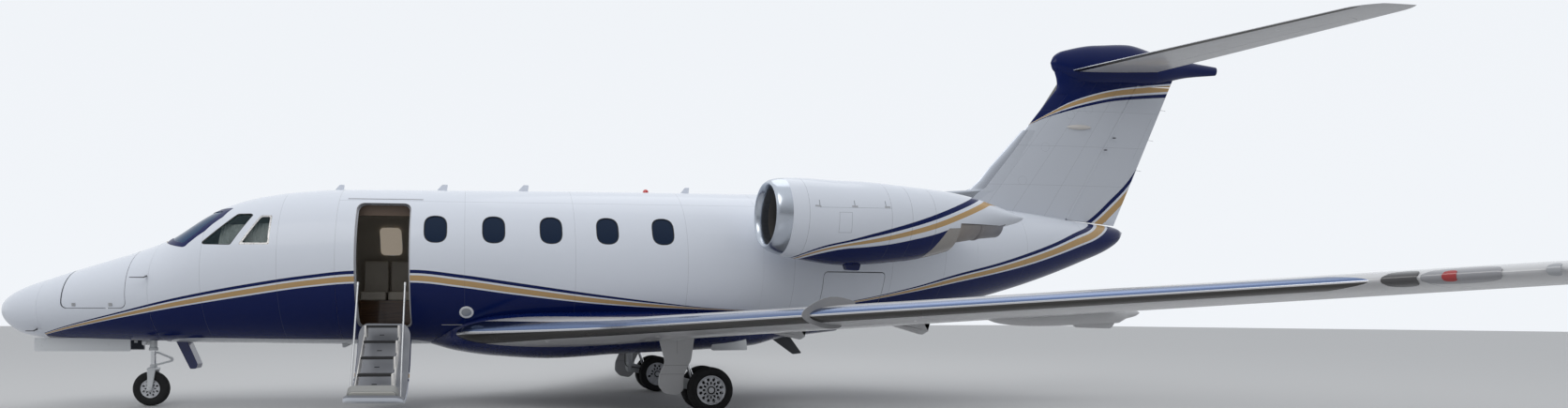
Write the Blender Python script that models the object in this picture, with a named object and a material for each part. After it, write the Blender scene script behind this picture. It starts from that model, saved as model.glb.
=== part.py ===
"""A twin engine business jet with a T tail, standing on its gear with the airstair down.

Metres, +Z up, nose towards -X, port side towards -Y, origin on the ground in the middle of the box.
Places along the body are stations, measured aft from the tip of the nose.
"""
import math

import bmesh
import bpy
import numpy as np
from mathutils import Matrix, Vector

# Overall sizes
LENGTH = 16.86
HALF_SPAN = 8.155
NOSE_STATION = LENGTH / 2
GAP = 0.0003
CLEAR = 0.006

# Hull frames: station, top, bottom, half width
HULL = (
    (0.00, 1.235, 1.235, 0.000),
    (0.03, 1.325, 1.130, 0.125),
    (0.10, 1.400, 1.035, 0.235),
    (0.30, 1.515, 0.915, 0.385),
    (0.65, 1.640, 0.855, 0.515),
    (1.15, 1.805, 0.835, 0.635),
    (1.65, 1.965, 0.822, 0.735),
    (2.02, 2.110, 0.815, 0.800),
    (2.63, 2.500, 0.805, 0.890),
    (3.05, 2.655, 0.800, 0.940),
    (3.60, 2.750, 0.790, 0.985),
    (4.20, 2.795, 0.782, 1.010),
    (5.00, 2.805, 0.780, 1.020),
    (9.00, 2.830, 0.780, 1.020),
    (10.50, 2.830, 0.920, 0.960),
    (12.00, 2.800, 1.170, 0.800),
    (13.50, 2.670, 1.540, 0.560),
    (14.60, 2.520, 1.925, 0.330),
    (15.15, 2.450, 2.180, 0.170),
    (15.34, 2.375, 2.375, 0.000),
)
FRAMES = (0.03, 0.10, 0.22, 0.40, 0.62, 0.95, 1.45, 2.00, 2.32, 2.63, 2.90, 3.25, 3.70, 4.20, 5.00, 9.00, 9.50)
FRAMES += (10.10, 10.80, 11.60, 12.60, 13.50, 14.30, 14.80, 15.15, 15.27)
HULL_SIDES = 28
HULL_WALL = 0.070
NOSE_WALL = 0.045
REAR_WALL = 0.030
TAIL_WALL = 0.025
RADOME_END = 0.62
NOSE_END = 2.00
FLIGHT_DECK_END = 4.20
CABIN_END = 9.50
REAR_END = 12.60
FLOOR_TOP = 1.03
FLOOR_THICK = 0.05

# Cabin windows
WINDOW_FIRST = 5.386
WINDOW_PITCH = 0.707
WINDOW_WIDTH = 0.285
WINDOW_HEIGHT = 0.350
WINDOW_Z = 2.205
PORT_WINDOWS = 5
STARBOARD_WINDOWS = 6
GLASS = 0.010

# Cabin seats: station, and facing forward (-1) or aft (+1)
SEATS = ((5.75, 1), (7.00, -1), (7.95, -1))

# Airstair door in the port side
DOOR_FRONT = 4.425
DOOR_REAR = 5.085
DOOR_SILL = 1.005
DOOR_TOP = 2.545
DOOR_WALL = 0.050
DOOR_CORNER = 0.09
SILL_CORNER = 0.06
DOOR_FOOT_CORNER = 0.12
DOOR_OPEN = math.radians(119)
STEP_HALF = 0.215
STEP_COUNT = 4
STEP_PITCH = 0.305
STEP_FIRST_UP = 0.298
STEP_FIRST_IN = 0.195
STEP_DRIFT = 0.034
STEP_TREAD = 0.19
STEP_RISER = 0.145
RAIL_TOP_IN = 0.66
RAIL_TOP_UP = 0.085

# Nose bay doors and baggage door
BAY_FRONT = 0.93
BAY_REAR = 1.73
BAY_BOTTOM = 1.235
BAY_HINGE_Y = 0.16
BAY_CORNER = 0.07
BAY_FRONT_CLEAR = 0.016
BAY_WALL = 0.030
BAGGAGE_FRONT = 10.32
BAGGAGE_REAR = 11.20
BAGGAGE_BOTTOM = 1.22
BAGGAGE_TOP = 1.72

# Wing
WING_KINK_Y = 2.20
WING_KINK_LE = 7.26
WING_SWEEP = 0.52
WING_ROOT_Y = 1.00
WING_ROOT_LE = 5.97
WING_INNER_Y = 0.50
WING_CHORD = 2.66
WING_TAPER = 0.216
WING_ROOT_Z = 0.945
WING_DIHEDRAL = math.tan(math.radians(3.0))
WING_THICK_ROOT = 0.125
WING_THICK_TIP = 0.105
HINGE_CHORD = 0.74
HINGE_NOSE = 0.95
SURFACE_CLEAR = 0.0075
FLAP_END_CLEAR = 0.018
FLAP_IN = 1.12
FLAP_OUT = 5.20
AILERON_IN = 5.75
AILERON_OUT = 7.70

# Small parts that stand out: blades in side view, fence, pod and scoops
FLIGHT_DECK_AERIAL = (4.02, 0.13, 0.085)
CABIN_AERIALS = ((5.34, 0.15, 0.090), (6.42, 0.15, 0.095), (8.13, 0.12, 0.060), (8.66, 0.13, 0.090))
SCOOP_FRONT = 4.13
SCOOP_REAR = 4.17
SCOOP_HALF = 0.03
SCOOP_BOTTOM = 0.735
INNER_GEAR_DOOR = ((8.86, 0.708), (8.84, 0.740), (8.90, 0.880), (9.30, 0.880), (9.32, 0.712))
INNER_DOOR_Y = 0.893
INNER_DOOR_THICK = 0.016
BELLY_BLADE = ((9.88, 0.905), (10.20, 0.925), (10.417, 0.629), (10.290, 0.614))
FENCE_Y = 4.66
FENCE_ABOVE = 0.085
FENCE_BELOW = 0.030
FENCE_TOP_END = 0.235
FENCE_LOW_END = 0.165
FENCE_HEART = 0.12
FENCE_POINTS = 17
POD_Y = 5.475
POD_SIDES = 10
POD = (
    (9.50, 1.115, 0.000),
    (9.62, 1.112, 0.030),
    (9.95, 1.125, 0.058),
    (10.40, 1.148, 0.066),
    (10.60, 1.152, 0.055),
    (10.73, 1.155, 0.016),
)
COWL_SCOOP = ((10.27, 1.790), (10.30, 1.700), (10.46, 1.690), (10.49, 1.790))

# Tail
FIN_FOOT_Z = 2.40
FIN_TOP_Z = 4.66
FIN_LE_FOOT = 12.60
FIN_LE_TOP = 14.46
FIN_TE_FOOT = 15.165
FIN_TE_TOP = 16.165
RUDDER_HINGE_FOOT = 14.43
RUDDER_HINGE_TOP = 15.56
RUDDER_FOOT_Z = 2.56
RUDDER_FOOT_SLOPE = 0.11
RUDDER_TOP_Z = 4.53
RUDDER_TOP_CLEAR = 0.012
FIN_THICK = 0.11
BULLET = (
    (14.20, 4.840, 0.000, 0.000),
    (14.26, 4.840, 0.110, 0.060),
    (14.45, 4.820, 0.215, 0.115),
    (14.90, 4.830, 0.285, 0.165),
    (15.35, 4.850, 0.290, 0.180),
    (15.90, 4.800, 0.215, 0.150),
    (16.40, 4.810, 0.115, 0.085),
    (16.86, 4.805, 0.062, 0.035),
)
BULLET_SIDES = 16
STAB_Z = 4.715
STAB_HALF = 2.80
STAB_LE = 14.42
STAB_LE_SWEEP = 0.560
STAB_TE = 15.72
STAB_TE_SWEEP = 0.353
STAB_THICK = 0.10
STAB_HINGE_CHORD = 0.68
ELEVATOR_IN = 0.50
ELEVATOR_OUT = 2.38

# Engines: station, height, half height, half width of the cowl
ENGINE_Y = 1.60
ENGINE_Z = 2.28
COWL = (
    (9.30, 2.350, 0.385, 0.385),
    (9.33, 2.348, 0.410, 0.410),
    (9.45, 2.335, 0.450, 0.445),
    (9.75, 2.305, 0.485, 0.472),
    (10.28, 2.262, 0.505, 0.482),
    (11.00, 2.262, 0.455, 0.448),
    (11.55, 2.290, 0.370, 0.375),
    (12.00, 2.350, 0.205, 0.310),
    (12.45, 2.330, 0.055, 0.225),
)
COWL_SIDES = 20
THROAT_RADIUS = 0.335
DUCT_RADIUS = 0.368
FAN_STATION = 9.86
FAN_RADIUS = 0.358
FAN_BLADES = 12
CORE_FRONT = 10.06
CORE_REAR = 11.36
CORE_RADIUS = 0.325
NOZZLE_RADIUS = 0.255
NOZZLE_REAR = 12.24
COWL_CUT_STATION = 11.56
COWL_CUT_Z = 2.235

# Landing gear
NOSE_WHEEL = 1.751
NOSE_AXLE_Z = 0.220
NOSE_TYRE_RADIUS = 0.220
NOSE_TYRE_WIDTH = 0.112
NOSE_RIM_RADIUS = 0.118
NOSE_PIVOT = 1.775
MAIN_AXLE = 8.630
MAIN_AXLE_Z = 0.270
MAIN_TYRE_RADIUS = 0.270
MAIN_TYRE_WIDTH = 0.146
MAIN_RIM_RADIUS = 0.172
MAIN_Y = 1.421
MAIN_TWIN = 0.155
MAIN_LEG = 8.230
MAIN_LEG_FOOT = 0.345
MAIN_AXLE_RADIUS = 0.026
LEG_FAIRING = (
    (8.02, 0.905),
    (8.46, 0.905),
    (8.42, 0.620),
    (8.33, 0.450),
    (8.33, 0.270),
    (8.25, 0.200),
    (8.10, 0.225),
    (8.02, 0.310),
    (8.03, 0.450),
    (8.10, 0.600),
)
NOSE_AXLE_RADIUS = 0.018
BEARING = 0.0006
PIN_RADIUS = 0.008
PIN_SIDES = 10
STAIR_PIN_RADIUS = 0.014
WHEEL_SIDES = 20


# General tools

def st(station):
    """Station in metres aft of the nose, as an X coordinate."""
    return station - NOSE_STATION


def clear_scene():
    for thing in list(bpy.data.objects):
        bpy.data.objects.remove(thing, do_unlink=True)


def collection(name):
    made = bpy.data.collections.new(name)
    bpy.context.scene.collection.children.link(made)
    return made


def material(name, colour, roughness, metallic=0.0):
    made = bpy.data.materials.new(name)
    made.use_nodes = True
    shader = made.node_tree.nodes["Principled BSDF"]
    shader.inputs["Base Color"].default_value = (*colour, 1.0)
    shader.inputs["Roughness"].default_value = roughness
    shader.inputs["Metallic"].default_value = metallic
    return made


def along(table, column, x):
    """Smooth monotone curve through one column of a table of frames."""
    xs = np.array([row[0] for row in table], float)
    ys = np.array([row[column] for row in table], float)
    step = np.diff(xs)
    slope = np.diff(ys) / step
    tangent = np.zeros_like(ys)
    tangent[0], tangent[-1] = slope[0], slope[-1]
    for k in range(1, len(xs) - 1):
        if slope[k - 1] * slope[k] > 0:
            w1 = 2 * step[k] + step[k - 1]
            w2 = step[k] + 2 * step[k - 1]
            tangent[k] = (w1 + w2) / (w1 / slope[k - 1] + w2 / slope[k])
    k = int(np.clip(np.searchsorted(xs, x) - 1, 0, len(step) - 1))
    t = (x - xs[k]) / step[k]
    rise = tangent[k] * step[k]
    fall = tangent[k + 1] * step[k]
    first = (2 * t ** 3 - 3 * t ** 2 + 1) * ys[k] + (t ** 3 - 2 * t ** 2 + t) * rise
    return first + (3 * t ** 2 - 2 * t ** 3) * ys[k + 1] + (t ** 3 - t ** 2) * fall


def finish_mesh(bm, name):
    bmesh.ops.remove_doubles(bm, verts=bm.verts, dist=1e-6)
    bmesh.ops.recalc_face_normals(bm, faces=bm.faces)
    mesh = bpy.data.meshes.new(name)
    bm.to_mesh(mesh)
    bm.free()
    mesh.shade_smooth()
    mesh.set_sharp_from_angle(angle=math.radians(32))
    return mesh


def add(name, mesh, skin, parent=None):
    """A named object of the aircraft with its own material."""
    made = bpy.data.objects.new(name, mesh)
    MODEL.objects.link(made)
    if skin is not None:
        mesh.materials.clear()
        mesh.materials.append(skin)
    if parent is not None:
        made.parent = parent
        made.matrix_parent_inverse = parent.matrix_world.inverted()
    return made


def cutter(name, mesh):
    made = bpy.data.objects.new(name, mesh)
    CUTTERS.objects.link(made)
    made.hide_render = True
    made.display_type = "WIRE"
    return made


def boolean(target, tool, operation):
    made = target.modifiers.new(operation.title(), "BOOLEAN")
    made.operation = operation
    made.solver = "EXACT"
    made.object = tool
    return made


def cut(target, tool):
    return boolean(target, tool, "DIFFERENCE")


def keep(target, tool):
    return boolean(target, tool, "INTERSECT")


def fuse(target, tool):
    return boolean(target, tool, "UNION")


def loft_mesh(name, rings, start=None, end=None, closed=False, split=False):
    """Faces between rings of equal length, closed by end points, flat caps or a return to the first.

    Split lofts through like rings cut each four sided patch the same way, so one fits inside the other.
    """
    bm = bmesh.new()
    rows = [[bm.verts.new(Vector(p)) for p in ring] for ring in rings]
    count = len(rows[0])
    pairs = list(zip(rows[:-1], rows[1:]))
    if closed:
        pairs.append((rows[-1], rows[0]))
    for a, b in pairs:
        forward = tuple(a[0].co) < tuple(b[0].co)
        for i in range(count):
            j = (i + 1) % count
            if not split:
                bm.faces.new((a[i], a[j], b[j], b[i]))
            elif forward:
                bm.faces.new((a[i], a[j], b[j]))
                bm.faces.new((a[i], b[j], b[i]))
            else:
                bm.faces.new((a[i], a[j], b[i]))
                bm.faces.new((a[j], b[j], b[i]))
    for point, row in ((start, rows[0]), (end, rows[-1])):
        if closed:
            continue
        if point is None:
            bm.faces.new(row)
            continue
        tip = bm.verts.new(Vector(point))
        for i in range(count):
            bm.faces.new((row[i], row[(i + 1) % count], tip))
    return finish_mesh(bm, name)


def prism_mesh(name, outline, axis, low, high):
    """A flat outline carried straight along X, Y or Z."""
    order = {"X": (2, 0, 1), "Y": (0, 2, 1), "Z": (0, 1, 2)}[axis]
    rings = []
    for level in (low, high):
        ring = []
        for u, v in outline:
            values = (u, v, level)
            ring.append((values[order[0]], values[order[1]], values[order[2]]))
        rings.append(ring)
    return loft_mesh(name, rings)


def box_mesh(name, low, high):
    bm = bmesh.new()
    bmesh.ops.create_cube(bm, size=1.0)
    size = Vector(high) - Vector(low)
    middle = (Vector(high) + Vector(low)) / 2
    bmesh.ops.scale(bm, vec=size, verts=bm.verts)
    bmesh.ops.translate(bm, vec=middle, verts=bm.verts)
    return finish_mesh(bm, name)


def pin_hinge(moving, fixed, start, end, radius, over, pivot=None):
    """A hinge pin on a moving piece, past both of its ends, and the bore for it in each fixed piece."""
    run = (Vector(end) - Vector(start)).normalized()
    bore_radius = (radius + GAP) / math.cos(math.pi / PIN_SIDES)
    pins = []
    for label, reach, size in (("pin", over, radius), ("bore", over + 0.001, bore_radius)):
        rod = rod_mesh(label, Vector(start) - run * reach, Vector(end) + run * reach, size, PIN_SIDES)
        pins.append(cutter(f"{moving.name} {label}", rod))
    if pivot is not None:
        pins[0].parent = pivot
        pins[0].matrix_parent_inverse = pivot.matrix_world.inverted()
    fuse(moving, pins[0])
    for piece in fixed:
        cut(piece, pins[1])


def turned_mesh(name, profile, centre, axis, sides):
    """A closed profile of (along, radius) points turned about an axis through a centre."""
    rings = []
    for k in range(sides):
        angle = 2 * math.pi * (k + 0.5) / sides
        c, s = math.cos(angle), math.sin(angle)
        if axis == "X":
            rings.append([(centre[0] + a, centre[1] + r * c, centre[2] + r * s) for a, r in profile])
        elif axis == "Y":
            rings.append([(centre[0] + r * c, centre[1] + a, centre[2] + r * s) for a, r in profile])
        else:
            rings.append([(centre[0] + r * c, centre[1] + r * s, centre[2] + a) for a, r in profile])
    bm = bmesh.new()
    rows = [[bm.verts.new(Vector(p)) for p in ring] for ring in rings]
    count = len(profile)
    for k in range(sides):
        a, b = rows[k], rows[(k + 1) % sides]
        for i in range(count):
            j = (i + 1) % count
            if profile[i][1] < 1e-6 and profile[j][1] < 1e-6:
                continue
            bm.faces.new((a[i], a[j], b[j], b[i]))
    bmesh.ops.remove_doubles(bm, verts=bm.verts, dist=1e-6)
    bmesh.ops.dissolve_degenerate(bm, edges=bm.edges, dist=1e-7)
    return finish_mesh(bm, name)


def rod_mesh(name, start, end, radius, sides=12, end_radius=None):
    """A straight round bar from one point to another."""
    start, end = Vector(start), Vector(end)
    run = end - start
    bm = bmesh.new()
    far = radius if end_radius is None else end_radius
    bmesh.ops.create_cone(bm, cap_ends=True, segments=sides, radius1=radius, radius2=far, depth=run.length)
    turn = run.to_track_quat("Z", "Y").to_matrix().to_4x4()
    bmesh.ops.transform(bm, matrix=Matrix.Translation((start + end) / 2) @ turn, verts=bm.verts)
    return finish_mesh(bm, name)


def rounded_outline(width, height, power_u, power_v, count):
    """A rounded window outline, after the formula of a superellipse."""
    outline = []
    for k in range(count):
        angle = 2 * math.pi * (k + 0.5) / count
        c, s = math.cos(angle), math.sin(angle)
        u = math.copysign(abs(c) ** (2 / power_u), c) * width / 2
        v = math.copysign(abs(s) ** (2 / power_v), s) * height / 2
        outline.append((u, v))
    return outline


def shrink(outline, amount):
    """An outline drawn in towards its middle by a fixed amount."""
    points = np.array(outline, float)
    middle = points.mean(axis=0)
    made = []
    for point in points:
        away = point - middle
        reach = np.linalg.norm(away)
        made.append(tuple(middle + away * (reach - amount) / reach))
    return made


# Hull

def hull_ring(station, inset=0.0):
    top = along(HULL, 1, station)
    bottom = along(HULL, 2, station)
    wide = along(HULL, 3, station) - inset
    middle = (top + bottom) / 2
    high = (top - bottom) / 2 - inset
    ring = []
    for k in range(HULL_SIDES):
        angle = 2 * math.pi * (k + 0.5) / HULL_SIDES
        ring.append((st(station), wide * math.cos(angle), middle + high * math.sin(angle)))
    return ring


def hull_y(station, z):
    """Half width of the hull's outside at a height."""
    top = along(HULL, 1, station)
    bottom = along(HULL, 2, station)
    share = (z - (top + bottom) / 2) / ((top - bottom) / 2)
    return along(HULL, 3, station) * math.sqrt(max(0.0, 1 - share * share))


def skin_point(station, y):
    """The point of the hull's upper outside at a station and a distance from the middle."""
    top = along(HULL, 1, station)
    bottom = along(HULL, 2, station)
    rise = math.sqrt(1 - (y / along(HULL, 3, station)) ** 2)
    return Vector((st(station), y, (top + bottom) / 2 + (top - bottom) / 2 * rise))


def aerial_mesh(station, length, height):
    """A raked blade that stands on top of the hull."""
    skin = along(HULL, 1, station)
    outline = [(st(station), skin - 0.03), (st(station + length), skin - 0.03)]
    outline += [(st(station + 1.10 * length), skin + height), (st(station + 0.55 * length), skin + height)]
    return prism_mesh("aerial", outline, "Y", -0.007, 0.007)


def stations(low, high):
    """The ends of a stretch of hull and the frames between them."""
    return [low] + [m for m in FRAMES if low + 0.01 < m < high - 0.01] + [high]


def frames_round(low, high):
    """Frames from the last one before a stretch of hull to the first one after it."""
    return stations(max(m for m in FRAMES if m <= low), min(m for m in FRAMES if m >= high))


def hull_volume(name, low, high, inset=0.0):
    """The solid inside the hull, from the frame before one station to the frame after another."""
    return loft_mesh(name, [hull_ring(s, inset) for s in frames_round(low, high)], split=True)


def tube_mesh(name, marks, wall):
    outer = [hull_ring(s) for s in marks]
    inner = [hull_ring(s, wall) for s in reversed(marks)]
    return loft_mesh(name, outer + inner, closed=True, split=True)


def hull_section(name, low, high, wall=HULL_WALL):
    """A length of hull that ends a touching gap short of the next one."""
    return tube_mesh(name, stations(low, high - GAP), wall)


def hull_band(name, low, high, wall):
    """A length of hull skin, from the frame before one station to the frame after another."""
    return tube_mesh(name, frames_round(low, high), wall)


def make_radome():
    marks = stations(0.03, RADOME_END - GAP)
    outer = [hull_ring(s) for s in marks]
    inner_marks = [s for s in marks if s > 0.15]
    inner = [hull_ring(s, 0.05) for s in reversed(inner_marks)]
    tip = (st(0.0), 0.0, HULL[0][1])
    inner_tip = (st(0.08), 0.0, HULL[0][1] - 0.01)
    mesh = loft_mesh("radome", outer + inner, start=tip, end=inner_tip, split=True)
    return add("radome", mesh, PAINT_WHITE)


def make_nose():
    """The nose, open below for its wheel and on both sides for the bay doors."""
    nose = add("nose_shell", hull_section("nose_shell", RADOME_END, NOSE_END, NOSE_WALL), PAINT_WHITE)
    well = box_mesh("nose well slot", (st(0.6697), -0.1953, 0.60), (st(2.20), 0.1953, 1.1203))
    cut(nose, cutter("nose well slot", well))
    for side, hand in ((-1, "port"), (1, "starboard")):
        cut(nose, cutter(f"bay opening {hand}", bay_prism(side, 0.0)))
        door = add(f"nose_bay_door_{hand}", hull_band("bay door", 0.80, 1.90, BAY_WALL), PAINT_WHITE)
        keep(door, cutter(f"bay door outline {hand}", bay_prism(side, CLEAR)))
        ends = [skin_point(s, side * BAY_HINGE_Y) for s in (BAY_FRONT, BAY_REAR)]
        pin_hinge(door, [nose], *ends, PIN_RADIUS, -BAY_FRONT_CLEAR)


def bay_prism(side, inset):
    """Outline of a nose bay door in side view, carried from its hinge line outwards.

    The slanted hinge carries an opening door forwards, so its front edge has more room.
    """
    low, high = BAY_FRONT + (BAY_FRONT_CLEAR if inset else 0.0), BAY_REAR - inset
    bottom = BAY_BOTTOM + inset
    radius = BAY_CORNER
    outline = [(st(low), 2.2), (st(low), bottom + radius), (st(low + radius * 0.3), bottom + radius * 0.3)]
    outline += [(st(low + radius), bottom), (st(high - radius), bottom)]
    outline += [(st(high - radius * 0.3), bottom + radius * 0.3), (st(high), bottom + radius), (st(high), 2.2)]
    inner = side * (BAY_HINGE_Y + inset)
    return prism_mesh("bay prism", outline, "Y", min(inner, side * 1.2), max(inner, side * 1.2))


# Windows and glass

def window_stations(side):
    if side < 0:
        return [WINDOW_FIRST + WINDOW_PITCH * k for k in range(PORT_WINDOWS)]
    return [WINDOW_FIRST + WINDOW_PITCH * (k - 1) for k in range(STARBOARD_WINDOWS)]


def cabin_window_tool(name, side, inset):
    """All cabin window prisms of one side."""
    bm = bmesh.new()
    outline = rounded_outline(WINDOW_WIDTH - 2 * inset, WINDOW_HEIGHT - 2 * inset, 2.3, 3.4, 12)
    for station in window_stations(side):
        placed = [(st(station) + u, WINDOW_Z + v) for u, v in outline]
        low, high = sorted((side * 0.55, side * 1.20))
        bm.from_mesh(prism_mesh("window", placed, "Y", low, high))
    return cutter(name, finish_mesh(bm, name))


def pane_outlines():
    """Flight deck panes: two seen from ahead, in (y, z), and two seen from the side, in (x, z)."""
    front = [(0.035, 2.105), (0.36, 2.065), (0.745, 1.967), (0.704, 2.170), (0.60, 2.360), (0.47, 2.485)]
    front += [(0.30, 2.490), (0.035, 2.490)]
    side_a = [(2.63, 2.000), (2.97, 1.990), (3.195, 2.370), (3.165, 2.392), (2.995, 2.392), (2.615, 2.030)]
    side_b = [(3.065, 1.995), (3.430, 1.995), (3.430, 2.365), (3.290, 2.365)]
    return front, [(st(s), z) for s, z in side_a], [(st(s), z) for s, z in side_b]


def pane_tools(name, inset):
    """Prisms of the two front panes, and of the four side panes."""
    front, side_a, side_b = pane_outlines()
    ahead, beside = bmesh.new(), bmesh.new()
    for side in (-1, 1):
        placed = [(side * y, z) for y, z in shrink(front, inset)]
        ahead.from_mesh(prism_mesh("pane", placed, "X", st(1.80), st(2.95 - inset)))
        low, high = sorted((side * 0.50, side * 1.20))
        for outline in (side_a, side_b):
            beside.from_mesh(prism_mesh("pane", shrink(outline, inset), "Y", low, high))
    front_tool = cutter(f"{name} ahead", finish_mesh(ahead, name))
    return [front_tool, cutter(f"{name} beside", finish_mesh(beside, name))]


def make_glass(name, low, high, panes, band_low, band_high, side):
    """Window panes joined by the thin inner pane behind them."""
    made = add(name, hull_volume(name, low, high, HULL_WALL + GAP), GLASS_SMOKED)
    y_low, y_high = sorted((side * 0.3, side * 1.2)) if side else (-1.2, 1.2)
    limits = box_mesh("limits", (st(low) - 0.03, y_low, band_low), (st(high) + 0.03, y_high, band_high))
    keep(made, cutter(f"{name} limits", limits))
    for k, tool in enumerate(panes):
        plugs = cutter(f"{name} plugs {k}", hull_volume("plugs", low, high, 0.006))
        keep(plugs, tool)
        fuse(made, plugs)
    core = hull_volume("core", low - 0.05, high + 0.05, HULL_WALL + GLASS)
    cut(made, cutter(f"{name} core", core))
    return made


def make_flight_deck():
    shell = add("flight_deck_shell", hull_section("flight_deck_shell", NOSE_END, FLIGHT_DECK_END), PAINT_WHITE)
    for tool in pane_tools("pane openings", 0.0):
        cut(shell, tool)
    fuse(shell, cutter("front aerial", aerial_mesh(*FLIGHT_DECK_AERIAL)))
    low = (st(SCOOP_FRONT), -SCOOP_HALF, SCOOP_BOTTOM)
    fuse(shell, cutter("belly scoop", box_mesh("belly scoop", low, (st(SCOOP_REAR), SCOOP_HALF, 0.81))))
    make_glass("flight_deck_glass", 2.15, 3.60, pane_tools("pane outlines", 0.0015), 1.90, 2.56, 0)


def make_cabin():
    shell = add("cabin_shell", hull_section("cabin_shell", FLIGHT_DECK_END, CABIN_END), PAINT_WHITE)
    for side, hand in ((-1, "port"), (1, "starboard")):
        cut(shell, cabin_window_tool(f"window openings {hand}", side, 0.0))
        ends = window_stations(side)
        panes = [cabin_window_tool(f"window panes {hand}", side, 0.0015)]
        make_glass(f"cabin_glass_{hand}", ends[0] - 0.24, ends[-1] + 0.24, panes, 1.98, 2.44, side)
    cut(shell, cutter("doorway", door_prism(0.0, SILL_CORNER)))
    for station, length, height in CABIN_AERIALS:
        fuse(shell, cutter(f"aerial {station}", aerial_mesh(station, length, height)))
    return shell


def make_rear_hull():
    rear = add("rear_fuselage", hull_section("rear_fuselage", CABIN_END, REAR_END, REAR_WALL), PAINT_WHITE)
    cut(rear, cutter("baggage opening", baggage_prism(0.0)))
    door = add("baggage_door", hull_band("baggage_door", BAGGAGE_FRONT, BAGGAGE_REAR, REAR_WALL), PAINT_WHITE)
    keep(door, cutter("baggage door outline", baggage_prism(CLEAR)))
    ends = [Vector((st(s), -hull_y(s, BAGGAGE_TOP), BAGGAGE_TOP)) for s in (BAGGAGE_FRONT, BAGGAGE_REAR)]
    pin_hinge(door, [rear], *ends, PIN_RADIUS, -0.06)
    marks = stations(REAR_END, 15.27)
    outer = [hull_ring(s) for s in marks]
    inner = [hull_ring(s, TAIL_WALL) for s in reversed(marks) if s < 14.5]
    tip = (st(HULL[-1][0]), 0.0, HULL[-1][1])
    inner_tip = (st(14.60), 0.0, 2.23)
    wall = list(reversed(outer)) + list(reversed(inner))
    return add("tail_cone", loft_mesh("tail_cone", wall, start=tip, end=inner_tip, split=True), PAINT_WHITE)


def baggage_prism(inset):
    front, rear = BAGGAGE_FRONT + inset, BAGGAGE_REAR - inset
    outline = rounded_box(front, rear, BAGGAGE_BOTTOM + inset, BAGGAGE_TOP - inset, 0.06)
    return prism_mesh("baggage prism", outline, "Y", -1.3, -0.35)


def rounded_box(front, rear, low, high, radius, foot=None):
    """A rectangle with rounded corners in side view, stations turned into X."""
    foot = radius if foot is None else foot
    outline = []
    corners = ((rear - radius, high - radius, 0), (front + radius, high - radius, 90))
    corners += ((front + foot, low + foot, 180), (rear - foot, low + foot, 270))
    for s, z, first in corners:
        radius = foot if first > 90 else radius
        for k in range(3):
            angle = math.radians(first + 45 * k)
            outline.append((st(s) + radius * math.cos(angle), z + radius * math.sin(angle)))
    return outline


# Airstair

def door_prism(inset, foot):
    """The doorway in side view. The door's lower corners are rounder, so that they swing clear of it."""
    front, rear = DOOR_FRONT + inset, DOOR_REAR - inset
    outline = rounded_box(front, rear, DOOR_SILL + inset, DOOR_TOP - inset, DOOR_CORNER, foot)
    return prism_mesh("door prism", outline, "Y", -1.30, -0.30)


def door_hinge():
    return Vector((st((DOOR_FRONT + DOOR_REAR) / 2), -hull_y(4.75, DOOR_SILL), DOOR_SILL))


def make_airstair(shell):
    """The door is made shut and then turned about its hinge to the open rest position."""
    hinge = door_hinge()
    pivot = bpy.data.objects.new("airstair pivot", None)
    MODEL.objects.link(pivot)
    pivot.location = hinge
    bpy.context.view_layer.update()
    skin = hull_band("airstair_door", DOOR_FRONT, DOOR_REAR, DOOR_WALL)
    door = add("airstair_door", skin, PAINT_WHITE, pivot)
    keep_tool = cutter("door outline", door_prism(CLEAR, DOOR_FOOT_CORNER))
    keep_tool.parent = pivot
    keep_tool.matrix_parent_inverse = pivot.matrix_world.inverted()
    keep(door, keep_tool)
    ends = [Vector((st(s), hinge.y, hinge.z)) for s in (DOOR_FRONT, DOOR_REAR)]
    pin_hinge(door, [shell], *ends, STAIR_PIN_RADIUS, 0.02, pivot)
    make_rails(door, pivot, hinge)
    make_steps(pivot, hinge)
    pivot.rotation_euler = (DOOR_OPEN, 0.0, 0.0)


def make_rails(door, pivot, hinge):
    """A handrail each side, standing on the shut door's inner face and leaning back to the frame."""
    for k, station in enumerate((DOOR_FRONT + 0.035, DOOR_REAR - 0.035)):
        foot = (st(station), hinge.y - 0.215, hinge.z + 1.27)
        top = (st(station), hinge.y + RAIL_TOP_IN, hinge.z + RAIL_TOP_UP)
        rail = cutter(f"stair rail {k}", rod_mesh("rail", foot, top, 0.013, 10))
        rail.parent = pivot
        rail.matrix_parent_inverse = pivot.matrix_world.inverted()
        fuse(door, rail)


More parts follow.
